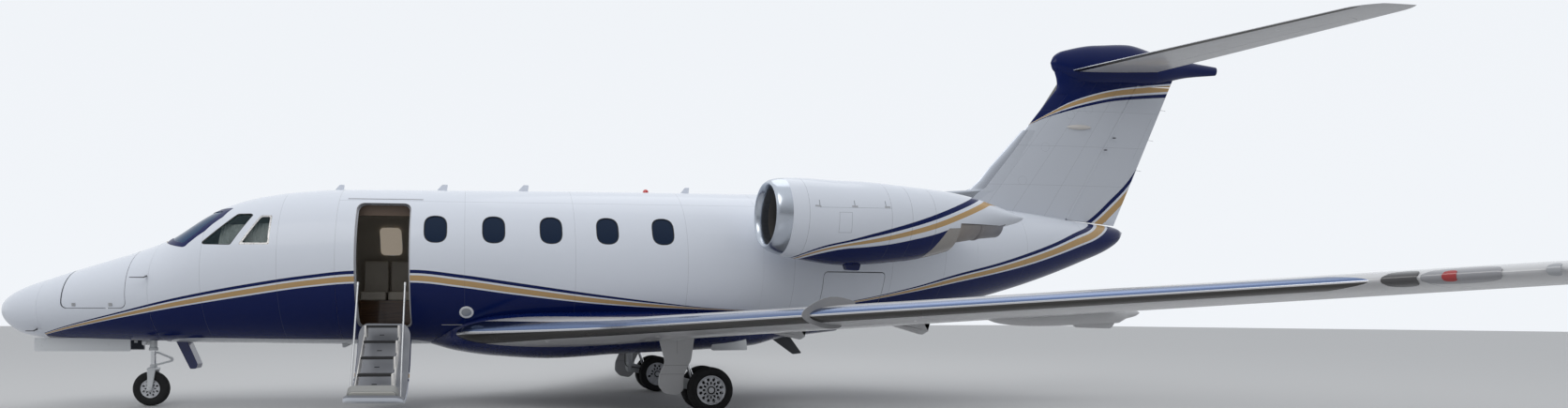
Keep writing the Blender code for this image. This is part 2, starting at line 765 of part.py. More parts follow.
def make_steps(pivot, hinge):
    """Two stringers that stand on the inner face of the shut door, and four boxed steps between them.

    The steps' treads are level and their risers upright once the door is open."""
    middle = st((DOOR_FRONT + DOOR_REAR) / 2)
    deep = hinge.y + 0.10
    low, high = DOOR_SILL + 0.22, DOOR_TOP - 0.14
    level = Vector((-math.cos(DOOR_OPEN), math.sin(DOOR_OPEN)))
    down = Vector((-level.y, level.x))
    stringer = box_mesh("airstair_steps", *stringer_ends(middle, -1, deep, low, high))
    steps = add("airstair_steps", stringer, STEP_GREY, pivot)
    pieces = [box_mesh("stringer", *stringer_ends(middle, 1, deep, low, high))]
    half = STEP_HALF - 0.004
    for k in range(STEP_COUNT):
        nose = Vector((hinge.y + STEP_FIRST_IN - STEP_DRIFT * k, DOOR_SILL + STEP_FIRST_UP + STEP_PITCH * k))
        heel = nose - level * STEP_TREAD
        outline = [tuple(corner) for corner in (heel, nose, nose + down * STEP_RISER, heel + down * STEP_RISER)]
        pieces.append(prism_mesh("step", outline, "X", middle - half, middle + half))
    for k, mesh in enumerate(pieces):
        piece = cutter(f"step piece {k}", mesh)
        piece.parent = pivot
        piece.matrix_parent_inverse = pivot.matrix_world.inverted()
        fuse(steps, piece)
    trim = cutter("steps trim", hull_volume("steps trim", DOOR_FRONT, DOOR_REAR, DOOR_WALL + GAP))
    trim.parent = pivot
    trim.matrix_parent_inverse = pivot.matrix_world.inverted()
    keep(steps, trim)


def stringer_ends(middle, side, deep, low, high):
    inner, outer = sorted((middle + side * (STEP_HALF - 0.014), middle + side * STEP_HALF))
    return (inner, -1.1, low), (outer, deep, high)


# Inside

def inner_tool(name, low, high, inset=HULL_WALL + GAP):
    return cutter(name, hull_volume(name, low, high, inset))


def make_inside():
    floor_tool = inner_tool("floor limits", NOSE_END + 0.1, CABIN_END + 0.1)
    low = (st(2.20), -0.9, FLOOR_TOP - FLOOR_THICK)
    high = (st(CABIN_END - 0.08), 0.9, FLOOR_TOP)
    floor = add("cabin_floor", box_mesh("cabin_floor", low, high), CARPET)
    divider = box_mesh("divider", (st(4.06), -1.1, FLOOR_TOP - 0.02), (st(4.10), 1.1, 2.9))
    divider = cutter("cabin divider", divider)
    aisle = rounded_box(-0.28 + NOSE_STATION, 0.28 + NOSE_STATION, FLOOR_TOP + 0.001, 2.55, 0.08)
    cut(divider, cutter("aisle opening", prism_mesh("aisle", aisle, "X", st(4.0), st(4.2))))
    fuse(floor, divider)
    rear = box_mesh("rear", (st(CABIN_END - 0.10), -1.1, 0.5), (st(CABIN_END - 0.05), 1.1, 3.0))
    fuse(floor, cutter("rear bulkhead", rear))
    keep(floor, floor_tool)

    panel = [(st(2.30), FLOOR_TOP + GAP), (st(2.62), FLOOR_TOP + GAP), (st(2.62), 1.86), (st(2.72), 1.95)]
    panel += [(st(2.70), 1.985), (st(2.40), 1.975), (st(2.30), 1.90)]
    panel = add("instrument_panel", prism_mesh("instrument_panel", panel, "Y", -0.60, 0.60), PANEL_BLACK)
    keep(panel, floor_tool)

    make_seats()
    bench = [(0.30, FLOOR_TOP + GAP), (0.72, FLOOR_TOP + GAP), (0.80, 1.30), (0.84, 1.93)]
    bench += [(0.70, 1.93), (0.62, 1.48), (0.30, 1.45)]
    bench = add("entry_bench", prism_mesh("entry_bench", bench, "X", st(4.30), st(5.05)), LEATHER)
    keep(bench, floor_tool)


def seat_outline(station, facing):
    """Side view of a seat: base, cushion and back, facing forward (-1) or aft (+1)."""
    shape = [(-0.20, 0.02), (0.20, 0.02), (0.24, 0.30), (0.38, 0.90), (0.36, 1.05), (0.26, 1.05), (0.12, 0.48)]
    shape += [(-0.28, 0.46), (-0.30, 0.34), (-0.22, 0.28)]
    return [(st(station - facing * u), FLOOR_TOP + GAP + v) for u, v in shape]


def make_seats():
    """Cabin seats of both rows, joined by the rails that they stand on."""
    rail = FLOOR_TOP + GAP
    tie = box_mesh("cabin_seats", (st(5.60), -0.70, rail), (st(5.70), 0.70, rail + 0.02))
    seats = add("cabin_seats", tie, LEATHER)
    for side in (-1, 1):
        low, high = sorted((side * 0.36, side * 0.44))
        track = box_mesh("rail", (st(5.45), low, rail), (st(8.25), high, rail + 0.02))
        fuse(seats, cutter(f"seat rail {side}", track))
        for k, (station, facing) in enumerate(SEATS):
            low, high = sorted((side * 0.26, side * 0.78))
            mesh = prism_mesh("seat", seat_outline(station, facing), "Y", low, high)
            fuse(seats, cutter(f"seat {side} {k}", mesh))
    keep(seats, inner_tool("seat limits", NOSE_END + 0.1, CABIN_END + 0.1))
    crew = box_mesh("crew_seats", (st(3.10), -0.50, rail), (st(3.45), 0.50, rail + 0.02))
    crew = add("crew_seats", crew, LEATHER)
    for k, y in enumerate((-0.36, 0.36)):
        mesh = prism_mesh("crew", seat_outline(3.28, -1), "Y", y - 0.22, y + 0.22)
        fuse(crew, cutter(f"crew seat {k}", mesh))
    keep(crew, inner_tool("crew seat limits", NOSE_END + 0.1, CABIN_END + 0.1))


# Wing

def wing_leading(y):
    """Leading edge station: swept line outboard, forward glove inboard."""
    if y >= WING_KINK_Y:
        return WING_KINK_LE + WING_SWEEP * (y - WING_KINK_Y)
    share = (WING_KINK_Y - y) / (WING_KINK_Y - WING_ROOT_Y)
    straight = WING_KINK_LE + WING_SWEEP * (y - WING_KINK_Y)
    glove = (WING_KINK_LE - WING_SWEEP * (WING_KINK_Y - WING_ROOT_Y)) - WING_ROOT_LE
    return straight - glove * min(share, 1.15) ** 1.5


def wing_trailing(y):
    return WING_KINK_LE - WING_SWEEP * WING_KINK_Y + WING_CHORD + (WING_SWEEP - WING_TAPER) * y


def wing_height(y):
    return WING_ROOT_Z + WING_DIHEDRAL * (y - WING_ROOT_Y)


def foil(count=9):
    """A thick, round nosed wing section as (chord share, half thickness share), from tail over the top."""
    shares = [0.5 * (1 - math.cos(math.pi * k / count)) for k in range(count + 1)]
    upper = [(c, foil_height(c)) for c in reversed(shares)]
    lower = [(c, -0.92 * foil_height(c)) for c in shares[1:]]
    return upper + lower


def foil_height(c):
    thick = 1.4845 * math.sqrt(c) - 0.63 * c - 1.758 * c ** 2 + 1.4215 * c ** 3 - 0.5075 * c ** 4
    return max(thick, 0.02)


def wing_thickness(y):
    share = (y - WING_ROOT_Y) / (HALF_SPAN - WING_ROOT_Y)
    return WING_THICK_ROOT + (WING_THICK_TIP - WING_THICK_ROOT) * share


def wing_ring(y, side, squeeze=1.0):
    lead, trail = wing_leading(y), wing_trailing(y)
    middle = (lead + trail) / 2
    half = (trail - lead) / 2 * squeeze
    chord = 2 * half
    depth = wing_thickness(y) * chord * squeeze
    return [(st(middle - half + chord * c), side * y, wing_height(y) + depth * t) for c, t in foil()]


def wing_mesh(name, side):
    rings = [wing_ring(y, side) for y in (WING_INNER_Y, 1.0, 1.30, 1.60, 1.90, 2.20, 5.45, 7.98)]
    rings += [wing_ring(8.09, side, 0.93), wing_ring(HALF_SPAN, side, 0.72)]
    return loft_mesh(name, rings)


def hinge_point(y, side):
    lead, trail = wing_leading(y), wing_trailing(y)
    kink = WING_KINK_LE - WING_SWEEP * (WING_KINK_Y - y)
    station = kink + HINGE_CHORD * (trail - kink)
    chord = trail - lead
    share = (station - lead) / chord
    depth = wing_thickness(y) * chord
    z = wing_height(y) + depth * (foil_height(share) * 0.08 / 2)
    return Vector((st(station), side * y, z)), depth * foil_height(share) * HINGE_NOSE


def hinged_region(inner, outer, reach, low, high):
    """All that lies behind a hinge line: the inner end cut straight aft, the outer end square to the hinge."""
    run = Vector((outer.x - inner.x, outer.y - inner.y)).normalized()
    side = math.copysign(1, outer.y)
    square = (outer.x + reach * abs(run.y), outer.y - reach * side * run.x)
    region = [(inner.x, inner.y), (outer.x, outer.y), square, (inner.x + reach, inner.y)]
    return prism_mesh("region", region, "Z", low, high)


def surface_tools(name, y_in, y_out, side):
    """Cutters for one hinged surface: the region of the wing and the rounded nose about its hinge."""
    tools = []
    for grow, inner_end, outer_end in ((0.0, 0.0, 0.0), (SURFACE_CLEAR, FLAP_END_CLEAR, CLEAR)):
        inner, inner_radius = hinge_point(y_in - inner_end, side)
        outer, outer_radius = hinge_point(y_out + outer_end, side)
        block = cutter(f"{name} region {grow}", hinged_region(inner, outer, 2.0, 0.3, 2.2))
        short = (outer - inner).normalized() * 0.001
        nose = rod_mesh("nose", inner + short, outer - short, inner_radius + grow, 16, outer_radius + grow)
        tools.append((block, cutter(f"{name} nose {grow}", nose)))
    return tools


def make_surface(name, wing, y_in, y_out, side, skin):
    (block, nose), (open_block, open_nose) = surface_tools(name, y_in, y_out, side)
    surface = add(name, wing_mesh(name, side), skin)
    keep(surface, block)
    fuse(surface, nose)
    cut(wing, open_block)
    cut(wing, open_nose)
    pin_hinge(surface, [wing], hinge_point(y_in, side)[0], hinge_point(y_out, side)[0], PIN_RADIUS, 0.03)


def make_fence(side):
    """A thin upright plate round the wing's nose, higher above the wing than below it."""
    lead, middle = wing_leading(FENCE_Y), wing_height(FENCE_Y)
    chord = wing_trailing(FENCE_Y) - lead
    depth = wing_thickness(FENCE_Y) * chord
    heart = Vector((st(lead + chord * FENCE_HEART), middle))
    base, crest = [], []
    for k in range(FENCE_POINTS):
        around = 2 * k / (FENCE_POINTS - 1) - 1
        share = (FENCE_TOP_END if around > 0 else FENCE_LOW_END) * around ** 2
        half = math.copysign(depth * foil_height(share), around) if around else 0.0
        skin = Vector((st(lead + chord * share), middle + half))
        outward = (skin - heart).normalized()
        height = FENCE_BELOW + (FENCE_ABOVE - FENCE_BELOW) * (around + 1) / 2
        height *= math.sqrt(max(0.0, 1 - around ** 6))
        base.append(tuple(skin - outward * 0.02))
        crest.append(tuple(skin + outward * (height + 0.002)))
    low, high = sorted((side * (FENCE_Y - 0.004), side * (FENCE_Y + 0.004)))
    return prism_mesh("fence", base + crest[::-1], "Y", low, high)


def make_pod(side):
    """A slender pod under the wing between the flap and the aileron."""
    rings = []
    for s, z, radius in POD[1:]:
        ring = []
        for k in range(POD_SIDES):
            angle = 2 * math.pi * (k + 0.5) / POD_SIDES
            ring.append((st(s), side * POD_Y + radius * math.cos(angle), z + 1.15 * radius * math.sin(angle)))
        rings.append(ring)
    return loft_mesh("pod", rings, start=(st(POD[0][0]), side * POD_Y, POD[0][1]))


def make_wing(side, hand, fairing_grown):
    wing = add(f"wing_{hand}", wing_mesh(f"wing_{hand}", side), WING_WHITE)
    fuse(wing, cutter(f"fence {hand}", make_fence(side)))
    fuse(wing, cutter(f"pod {hand}", make_pod(side)))
    cut(wing, fairing_grown)
    make_surface(f"flap_{hand}", wing, FLAP_IN, FLAP_OUT, side, WING_WHITE)
    make_surface(f"aileron_{hand}", wing, AILERON_IN, AILERON_OUT, side, WING_WHITE)


# Belly fairing: station, half width, top, bottom
FAIRING = (
    (5.30, 0.30, 1.00, 0.78),
    (5.60, 0.62, 1.16, 0.70),
    (6.10, 0.88, 1.24, 0.63),
    (6.80, 1.00, 1.26, 0.592),
    (7.75, 1.04, 1.26, 0.648),
    (8.80, 1.02, 1.26, 0.695),
    (9.50, 0.90, 1.24, 0.745),
    (9.85, 0.76, 1.20, 0.828),
    (10.30, 0.54, 1.14, 0.883),
    (10.80, 0.32, 1.06, 0.938),
)


def fairing_ring(station, grow):
    wide = along(FAIRING, 1, station) + grow
    top = along(FAIRING, 2, station) + grow
    bottom = along(FAIRING, 3, station) - grow
    ring = []
    for u, v in rounded_outline(2 * wide, top - bottom, 3.2, 3.2, 28):
        ring.append((st(station), u, (top + bottom) / 2 + v))
    return ring


def fairing_mesh(name, grow):
    marks = [5.30, 5.60, 6.10, 6.80, 7.75, 8.80, 9.20, 9.50, 9.68, 9.85, 10.10, 10.30, 10.80]
    return loft_mesh(name, [fairing_ring(s, grow) for s in marks], split=True)


def make_fairing():
    fairing = add("belly_fairing", fairing_mesh("belly_fairing", 0.0), PAINT_NAVY)
    for side in (-1, 1):
        low, high = sorted((side * INNER_DOOR_Y, side * (INNER_DOOR_Y + INNER_DOOR_THICK)))
        outline = [(st(s), z) for s, z in INNER_GEAR_DOOR]
        fuse(fairing, cutter(f"inner gear door {side}", prism_mesh("inner gear door", outline, "Y", low, high)))
    outline = [(st(s), z) for s, z in BELLY_BLADE]
    fuse(fairing, cutter("belly blade", prism_mesh("belly blade", outline, "Y", -0.008, 0.008)))
    cut(fairing, cutter("hull over fairing", hull_volume("hull over fairing", 4.6, 11.6, -GAP)))
    return cutter("fairing grown", fairing_mesh("fairing grown", GAP))


# Tail

def fin_line(foot, top, z):
    return foot + (top - foot) * (z - FIN_FOOT_Z) / (FIN_TOP_Z - FIN_FOOT_Z)


def fin_ring(z):
    lead = fin_line(FIN_LE_FOOT, FIN_LE_TOP, z)
    trail = fin_line(FIN_TE_FOOT, FIN_TE_TOP, z)
    chord = trail - lead
    depth = FIN_THICK * chord / 2
    return [(st(lead + chord * c), depth * t, z) for c, t in foil(8)]


def fin_mesh(name):
    return loft_mesh(name, [fin_ring(z) for z in (FIN_FOOT_Z - 0.15, 3.0, 3.8, FIN_TOP_Z + 0.1)])


def rudder_hinge(z):
    share = (z - RUDDER_FOOT_Z) / (RUDDER_TOP_Z - RUDDER_FOOT_Z)
    station = RUDDER_HINGE_FOOT + (RUDDER_HINGE_TOP - RUDDER_HINGE_FOOT) * share
    lead = fin_line(FIN_LE_FOOT, FIN_LE_TOP, z)
    chord = fin_line(FIN_TE_FOOT, FIN_TE_TOP, z) - lead
    radius = FIN_THICK * chord / 2 * foil_height((station - lead) / chord) * 0.96
    return Vector((st(station), 0.0, z)), radius


def rudder_tools():
    tools = []
    high = RUDDER_TOP_Z + RUDDER_TOP_CLEAR
    for grow, low, high in ((0.0, RUDDER_FOOT_Z, RUDDER_TOP_Z), (CLEAR, RUDDER_FOOT_Z - 0.25, high)):
        foot, foot_radius = rudder_hinge(low)
        top, top_radius = rudder_hinge(high)
        region = [(foot.x, foot.z), (foot.x + 1.5, foot.z - 1.5 * RUDDER_FOOT_SLOPE)]
        region += [(top.x + 1.5, top.z), (top.x, top.z)]
        block = cutter(f"rudder region {grow}", prism_mesh("region", region, "Y", -0.4, 0.4))
        nose = rod_mesh("nose", foot, top, foot_radius + grow, 16, top_radius + grow)
        tools.append((block, cutter(f"rudder nose {grow}", nose)))
    return tools


def bullet_ring(station, grow=0.0):
    middle = along(BULLET, 1, station)
    high = along(BULLET, 2, station) + grow
    wide = along(BULLET, 3, station) + grow
    return [(st(station), wide * math.cos(a), middle + high * math.sin(a))
            for a in (2 * math.pi * (k + 0.5) / BULLET_SIDES for k in range(BULLET_SIDES))]


def bullet_mesh(name, grow):
    marks = [14.26, 14.35, 14.45, 14.65, 14.90, 15.35, 15.90, 16.15, 16.40, 16.86]
    tip = (st(14.20 - grow), 0.0, BULLET[0][1])
    return loft_mesh(name, [bullet_ring(s, grow) for s in marks], start=tip, split=True)


def stab_ring(y, side, squeeze=1.0, grow=0.0):
    lead = STAB_LE + STAB_LE_SWEEP * y
    trail = STAB_TE + STAB_TE_SWEEP * y
    middle = (lead + trail) / 2 + (1 - squeeze) * 0.12
    half = (trail - lead) / 2 * squeeze + 3 * grow
    depth = STAB_THICK * half * squeeze
    ring = []
    for c, t in foil(8):
        ring.append((st(middle - half + 2 * half * c), side * y, STAB_Z + depth * t + math.copysign(grow, t)))
    return ring


def stab_mesh(name, side):
    rings = [stab_ring(y, side) for y in (0.0, 1.2, 2.62)]
    rings += [stab_ring(2.75, side, 0.88), stab_ring(STAB_HALF, side, 0.62)]
    return loft_mesh(name, rings)


def whole_stab_mesh(name):
    """The stabiliser from tip to tip."""
    tips = [(2.75, 0.88), (STAB_HALF, 0.62)]
    rings = [stab_ring(y, -1, squeeze) for y, squeeze in reversed(tips)]
    rings += [stab_ring(2.62, -1), stab_ring(0.0, 1), stab_ring(2.62, 1)]
    rings += [stab_ring(y, 1, squeeze) for y, squeeze in tips]
    return loft_mesh(name, rings)


def stab_hinge(y, side):
    lead = STAB_LE + STAB_LE_SWEEP * y
    chord = STAB_TE + STAB_TE_SWEEP * y - lead
    depth = STAB_THICK * chord / 2
    half = depth * foil_height(STAB_HINGE_CHORD)
    return Vector((st(lead + STAB_HINGE_CHORD * chord), side * y, STAB_Z + half * 0.04)), half * 0.94


def make_elevator(stab, side, hand):
    tools = []
    for grow in (0.0, CLEAR):
        inner, inner_radius = stab_hinge(ELEVATOR_IN - grow, side)
        outer, outer_radius = stab_hinge(ELEVATOR_OUT + grow, side)
        block = cutter(f"elevator region {hand} {grow}", hinged_region(inner, outer, 1.2, 4.4, 5.0))
        short = (outer - inner).normalized() * 0.001
        nose = rod_mesh("nose", inner + short, outer - short, inner_radius + grow, 12, outer_radius + grow)
        tools.append((block, cutter(f"elevator nose {hand} {grow}", nose)))
    surface = add(f"elevator_{hand}", stab_mesh(f"elevator_{hand}", side), WING_WHITE)
    keep(surface, tools[0][0])
    fuse(surface, tools[0][1])
    cut(stab, tools[1][0])
    cut(stab, tools[1][1])
    pin_hinge(surface, [stab], stab_hinge(ELEVATOR_IN, side)[0], stab_hinge(ELEVATOR_OUT, side)[0], 0.006, 0.03)


def make_tail(tail_cone):
    fin = add("fin", fin_mesh("fin"), PAINT_WHITE)
    cut(fin, cutter("hull over fin", hull_volume("hull over fin", 11.9, 15.27, -GAP)))
    bullet_grown = cutter("bullet grown", bullet_mesh("bullet grown", GAP))
    cut(fin, bullet_grown)
    rudder = add("rudder", fin_mesh("rudder"), PAINT_WHITE)
    (block, nose), (open_block, open_nose) = rudder_tools()
    keep(rudder, block)
    fuse(rudder, nose)
    cut(fin, open_block)
    cut(fin, open_nose)
    foot, top = rudder_hinge(RUDDER_FOOT_Z)[0], rudder_hinge(RUDDER_TOP_Z)[0]
    pin_hinge(rudder, [fin, tail_cone], foot, top, PIN_RADIUS, 0.022)
    bullet = add("bullet_fairing", bullet_mesh("bullet_fairing", 0.0), PAINT_NAVY)
    stab = add("stabiliser", whole_stab_mesh("stabiliser"), WING_WHITE)
    for side, hand in ((-1, "port"), (1, "starboard")):
        make_elevator(stab, side, hand)
    slot = [stab_ring(0.6, -1, 1.0, GAP), stab_ring(0.0, 1, 1.0, GAP), stab_ring(0.6, 1, 1.0, GAP)]
    cut(bullet, cutter("stabiliser slot", loft_mesh("stabiliser slot", slot)))


# Engines

def cowl_ring(station, side, inset=0.0):
    middle = along(COWL, 1, station)
    high = along(COWL, 2, station) - inset
    wide = along(COWL, 3, station) - inset
    ring = []
    for k in range(COWL_SIDES):
        angle = 2 * math.pi * (k + 0.5) / COWL_SIDES
        ring.append((st(station), side * ENGINE_Y + wide * math.cos(angle), middle + high * math.sin(angle)))
    return ring


def cowl_mesh(name, side, grow=0.0):
    marks = [9.30, 9.33, 9.38, 9.45, 9.60, 9.90, 10.28, 10.65, 11.00, 11.55, 11.80, 12.00, 12.25, 12.45]
    return loft_mesh(name, [cowl_ring(s, side, -grow) for s in marks], split=True)


def duct_mesh(name, side):
    """Inlet throat, fan duct and engine bay as one hollow."""
    profile = [(9.24, 0.400), (9.30, 0.372), (9.38, THROAT_RADIUS), (9.47, THROAT_RADIUS), (9.74, DUCT_RADIUS)]
    profile += [(11.30, DUCT_RADIUS), (COWL_CUT_STATION, 0.300), (12.02, 0.205), (NOZZLE_REAR + 0.02, 0.182)]
    heights = (2.350, 2.350, 2.345, 2.335, ENGINE_Z, ENGINE_Z, ENGINE_Z, ENGINE_Z, ENGINE_Z)
    rings = []
    for (station, radius), z in zip(profile, heights):
        ring = []
        for k in range(COWL_SIDES):
            angle = 2 * math.pi * (k + 0.5) / COWL_SIDES
            y = side * ENGINE_Y + radius * math.cos(angle)
            ring.append((st(station), y, z + radius * math.sin(angle)))
        rings.append(ring)
    return loft_mesh(name, rings)


def make_fan(side, hand):
    """Spinner, hub and blades as one turning body."""
    centre = Vector((st(FAN_STATION), side * ENGINE_Y, ENGINE_Z))
    profile = [(0.07, 0.0), (0.07, 0.115), (-0.02, 0.115), (-0.09, 0.085), (-0.15, 0.035), (-0.165, 0.0)]
    fan = add(f"fan_{hand}", turned_mesh("fan", profile, centre, "X", 16), FAN_METAL)
    for k in range(FAN_BLADES):
        angle = 2 * math.pi * k / FAN_BLADES + 0.07
        root = [(-0.03, -0.022), (-0.024, -0.030), (0.045, 0.018), (0.039, 0.026)]
        tip = [(-0.036, -0.055), (-0.030, -0.062), (0.044, 0.050), (0.038, 0.057)]
        rings = []
        for radius, shape in ((0.095, root), (FAN_RADIUS, tip)):
            ring = []
            for a, t in shape:
                y = radius * math.cos(angle) - t * math.sin(angle)
                z = radius * math.sin(angle) + t * math.cos(angle)
                ring.append((centre.x + a, centre.y + y, centre.z + z))
            rings.append(ring)
        fuse(fan, cutter(f"fan blade {hand} {k}", loft_mesh("blade", rings)))
    return fan


def make_engine(side, hand, hull_grown):
    cowl = add(f"nacelle_{hand}", cowl_mesh(f"nacelle_{hand}", side), PAINT_WHITE)
    cut(cowl, cutter(f"duct {hand}", duct_mesh(f"duct {hand}", side)))
    scoop = [(st(s), z) for s, z in COWL_SCOOP]
    low, high = sorted((side * (ENGINE_Y - 0.04), side * (ENGINE_Y + 0.04)))
    fuse(cowl, cutter(f"cowl scoop {hand}", prism_mesh("cowl scoop", scoop, "Y", low, high)))
    low = (st(COWL_CUT_STATION), side * ENGINE_Y - 0.7, 1.4)
    high = (st(12.8), side * ENGINE_Y + 0.7, COWL_CUT_Z)
    cut(cowl, cutter(f"cowl step {hand}", box_mesh("cowl step", low, high)))

    centre = Vector((st(CORE_FRONT), side * ENGINE_Y, ENGINE_Z))
    length = CORE_REAR - CORE_FRONT
    run = NOZZLE_REAR - CORE_FRONT
    flange = DUCT_RADIUS - 1.1 * GAP
    shaft = FAN_STATION + 0.07 + GAP - CORE_FRONT
    profile = [(shaft, 0.0), (shaft, 0.05), (0.0, 0.06), (0.0, CORE_RADIUS), (0.24, CORE_RADIUS), (0.24, flange)]
    profile += [(0.40, flange), (0.40, CORE_RADIUS)]
    profile += [(length - 0.05, CORE_RADIUS), (length, NOZZLE_RADIUS), (run - 0.64, NOZZLE_RADIUS)]
    profile += [(run - 0.20, 0.184), (run, 0.166), (run, 0.156), (run - 0.20, 0.170)]
    profile += [(run - 0.64, NOZZLE_RADIUS - 0.02)]
    profile += [(length, NOZZLE_RADIUS - 0.02), (length, 0.0)]
    add(f"engine_core_{hand}", turned_mesh("core", profile, centre, "X", COWL_SIDES), ENGINE_METAL)

    make_fan(side, hand)
    make_pylon(side, hand, hull_grown)


def make_pylon(side, hand, hull_grown):
    """A thick stub wing between the hull and the cowl."""
    rings = []
    for y in (0.60, 1.30):
        lead, chord, depth = 9.95, 2.25, 0.17
        rings.append([(st(lead + chord * c), side * y, 2.30 + depth * t * 0.5) for c, t in foil(8)])
    pylon = add(f"pylon_{hand}", loft_mesh(f"pylon_{hand}", rings), PAINT_WHITE)
    cut(pylon, hull_grown)
    cut(pylon, cutter(f"cowl grown {hand}", cowl_mesh("cowl grown", side, GAP)))


# Landing gear

def flatted(profile):
    """A wheel's profile with its radii measured to the flats of its many sided outline, so it stands on one."""
    return [(a, r / math.cos(math.pi / WHEEL_SIDES)) for a, r in profile]


def rim_face(half, radius):
    """Half a rim's profile, from its hub out to the bead: (distance from the middle, radius)."""
    return [(half, radius * 0.36), (half * 0.62, radius * 0.46), (half * 0.62, radius * 0.82), (half, radius)]


def wheel_mesh(name, centre, radius, width, bore):
    """A solid rim turned about Y with a bore for its axle."""
    face = rim_face(width / 2, radius)
    profile = [(-width / 2, bore)] + [(-a, r) for a, r in face] + list(reversed(face)) + [(width / 2, bore)]
    return turned_mesh(name, flatted(profile), centre, "Y", WHEEL_SIDES)


def twin_rims_mesh(name, axle):
    """Two rims and the axle that joins them, turned about Y."""
    face = rim_face(0.065, MAIN_RIM_RADIUS)
    outer = [(MAIN_TWIN + a, r) for a, r in face]
    inner = [(MAIN_TWIN - a, r) for a, r in reversed(face)]
    shaft = [(MAIN_TWIN - 0.065, MAIN_AXLE_RADIUS)]
    half = list(reversed(outer)) + [(MAIN_TWIN + 0.065, 0.0)]
    right = shaft + list(reversed(inner)) + half
    left = [(-a, r) for a, r in reversed(right)]
    return turned_mesh(name, flatted(left + right), axle, "Y", WHEEL_SIDES)


def tyre_mesh(name, centre, radius, rim, width):
    half = width / 2
    profile = [(-half * 0.78, rim), (-half, rim + 0.45 * (radius - rim))]
    profile += [(-half * 0.86, rim + 0.80 * (radius - rim)), (-half * 0.40, radius)]
    profile += [(-a, r) for a, r in reversed(profile)]
    return turned_mesh(name, flatted(profile), centre, "Y", WHEEL_SIDES)


def make_nose_gear():
    axle = Vector((st(NOSE_WHEEL), 0.0, NOSE_AXLE_Z))
    x = st(NOSE_PIVOT)
    leg = add("nose_gear_leg", rod_mesh("leg", (x, 0, 0.70), (x, 0, 1.06), 0.048, 16), GEAR_WHITE)
    brace = rod_mesh("brace", (x, 0, 0.86), (st(1.25), 0, 1.055), 0.022, 10)
    fuse(leg, cutter("nose brace", brace))
    trunnion = rod_mesh("trunnion", (x, -0.172, 1.03), (x, 0.172, 1.03), 0.03, 12)
    fuse(leg, cutter("nose trunnion", trunnion))

    well_outer = box_mesh("nose_wheel_well", (st(0.67), -0.195, 0.90), (st(1.98), 0.195, 1.12))
    well = add("nose_wheel_well", well_outer, GEAR_WHITE)
    hollow = box_mesh("well hollow", (st(0.69), -0.1723, 0.5), (st(1.96), 0.1723, 1.1023))
    cut(well, cutter("well hollow", hollow))

    fork = add("nose_fork", rod_mesh("fork", (x, 0, 0.452), (x, 0, 0.6997), 0.036, 16), GEAR_STEEL)
    crown = box_mesh("crown", (x - 0.05, -0.085, 0.452), (x + 0.05, 0.085, 0.487))
    fuse(fork, cutter("fork crown", crown))
    for side in (-1, 1):
        outline = [(x - 0.05, 0.475), (x + 0.05, 0.475), (axle.x + 0.03, axle.z - 0.015)]
        outline += [(axle.x + 0.012, axle.z - 0.036), (axle.x - 0.018, axle.z - 0.034)]
        outline += [(axle.x - 0.032, axle.z - 0.008)]
        low, high = sorted((side * 0.064, side * 0.084))
        fuse(fork, cutter(f"fork blade {side}", prism_mesh("blade", outline, "Y", low, high)))
    pin = rod_mesh("axle", (axle.x, -0.10, axle.z), (axle.x, 0.10, axle.z), NOSE_AXLE_RADIUS)
    fuse(fork, cutter("nose axle", pin))
    link = [(x + 0.02, 0.685), (x + 0.035, 0.685), (x + 0.235, 0.60), (x + 0.235, 0.58)]
    link += [(x + 0.04, 0.52), (x + 0.02, 0.52), (x + 0.02, 0.545), (x + 0.19, 0.592), (x + 0.02, 0.655)]
    fuse(fork, cutter("torque link", prism_mesh("link", link, "Y", -0.018, 0.018)))

    rim = wheel_mesh("nose_rim", axle, NOSE_RIM_RADIUS, 0.100, NOSE_AXLE_RADIUS + BEARING)
    add("nose_rim", rim, RIM_METAL)
    tyre = tyre_mesh("nose_tyre", axle, NOSE_TYRE_RADIUS, NOSE_RIM_RADIUS + GAP, NOSE_TYRE_WIDTH)
    add("nose_tyre", tyre, RUBBER)

    for side, hand in ((-1, "port"), (1, "starboard")):
        outline = [(st(0.46), 0.712), (st(1.585), 0.705), (st(1.585), 0.871), (st(0.46), 0.878)]
        low, high = sorted((side * 0.215, side * 0.232))
        door = add(f"nose_gear_door_{hand}", prism_mesh("door", outline, "Y", low, high), GEAR_WHITE)
        cut(door, cutter(f"door top {hand}", hull_volume("door top", 0.3, 2.0, -GAP)))
    blade = [(st(2.075), 0.842), (st(2.215), 0.836), (st(2.345), 0.535), (st(2.330), 0.475)]
    blade += [(st(2.255), 0.470)]
    aft = add("nose_gear_aft_door", prism_mesh("aft door", blade, "Y", -0.10, 0.10), PAINT_NAVY)
    cut(aft, cutter("aft door top", hull_volume("aft door top", 1.9, 3.0, -GAP)))


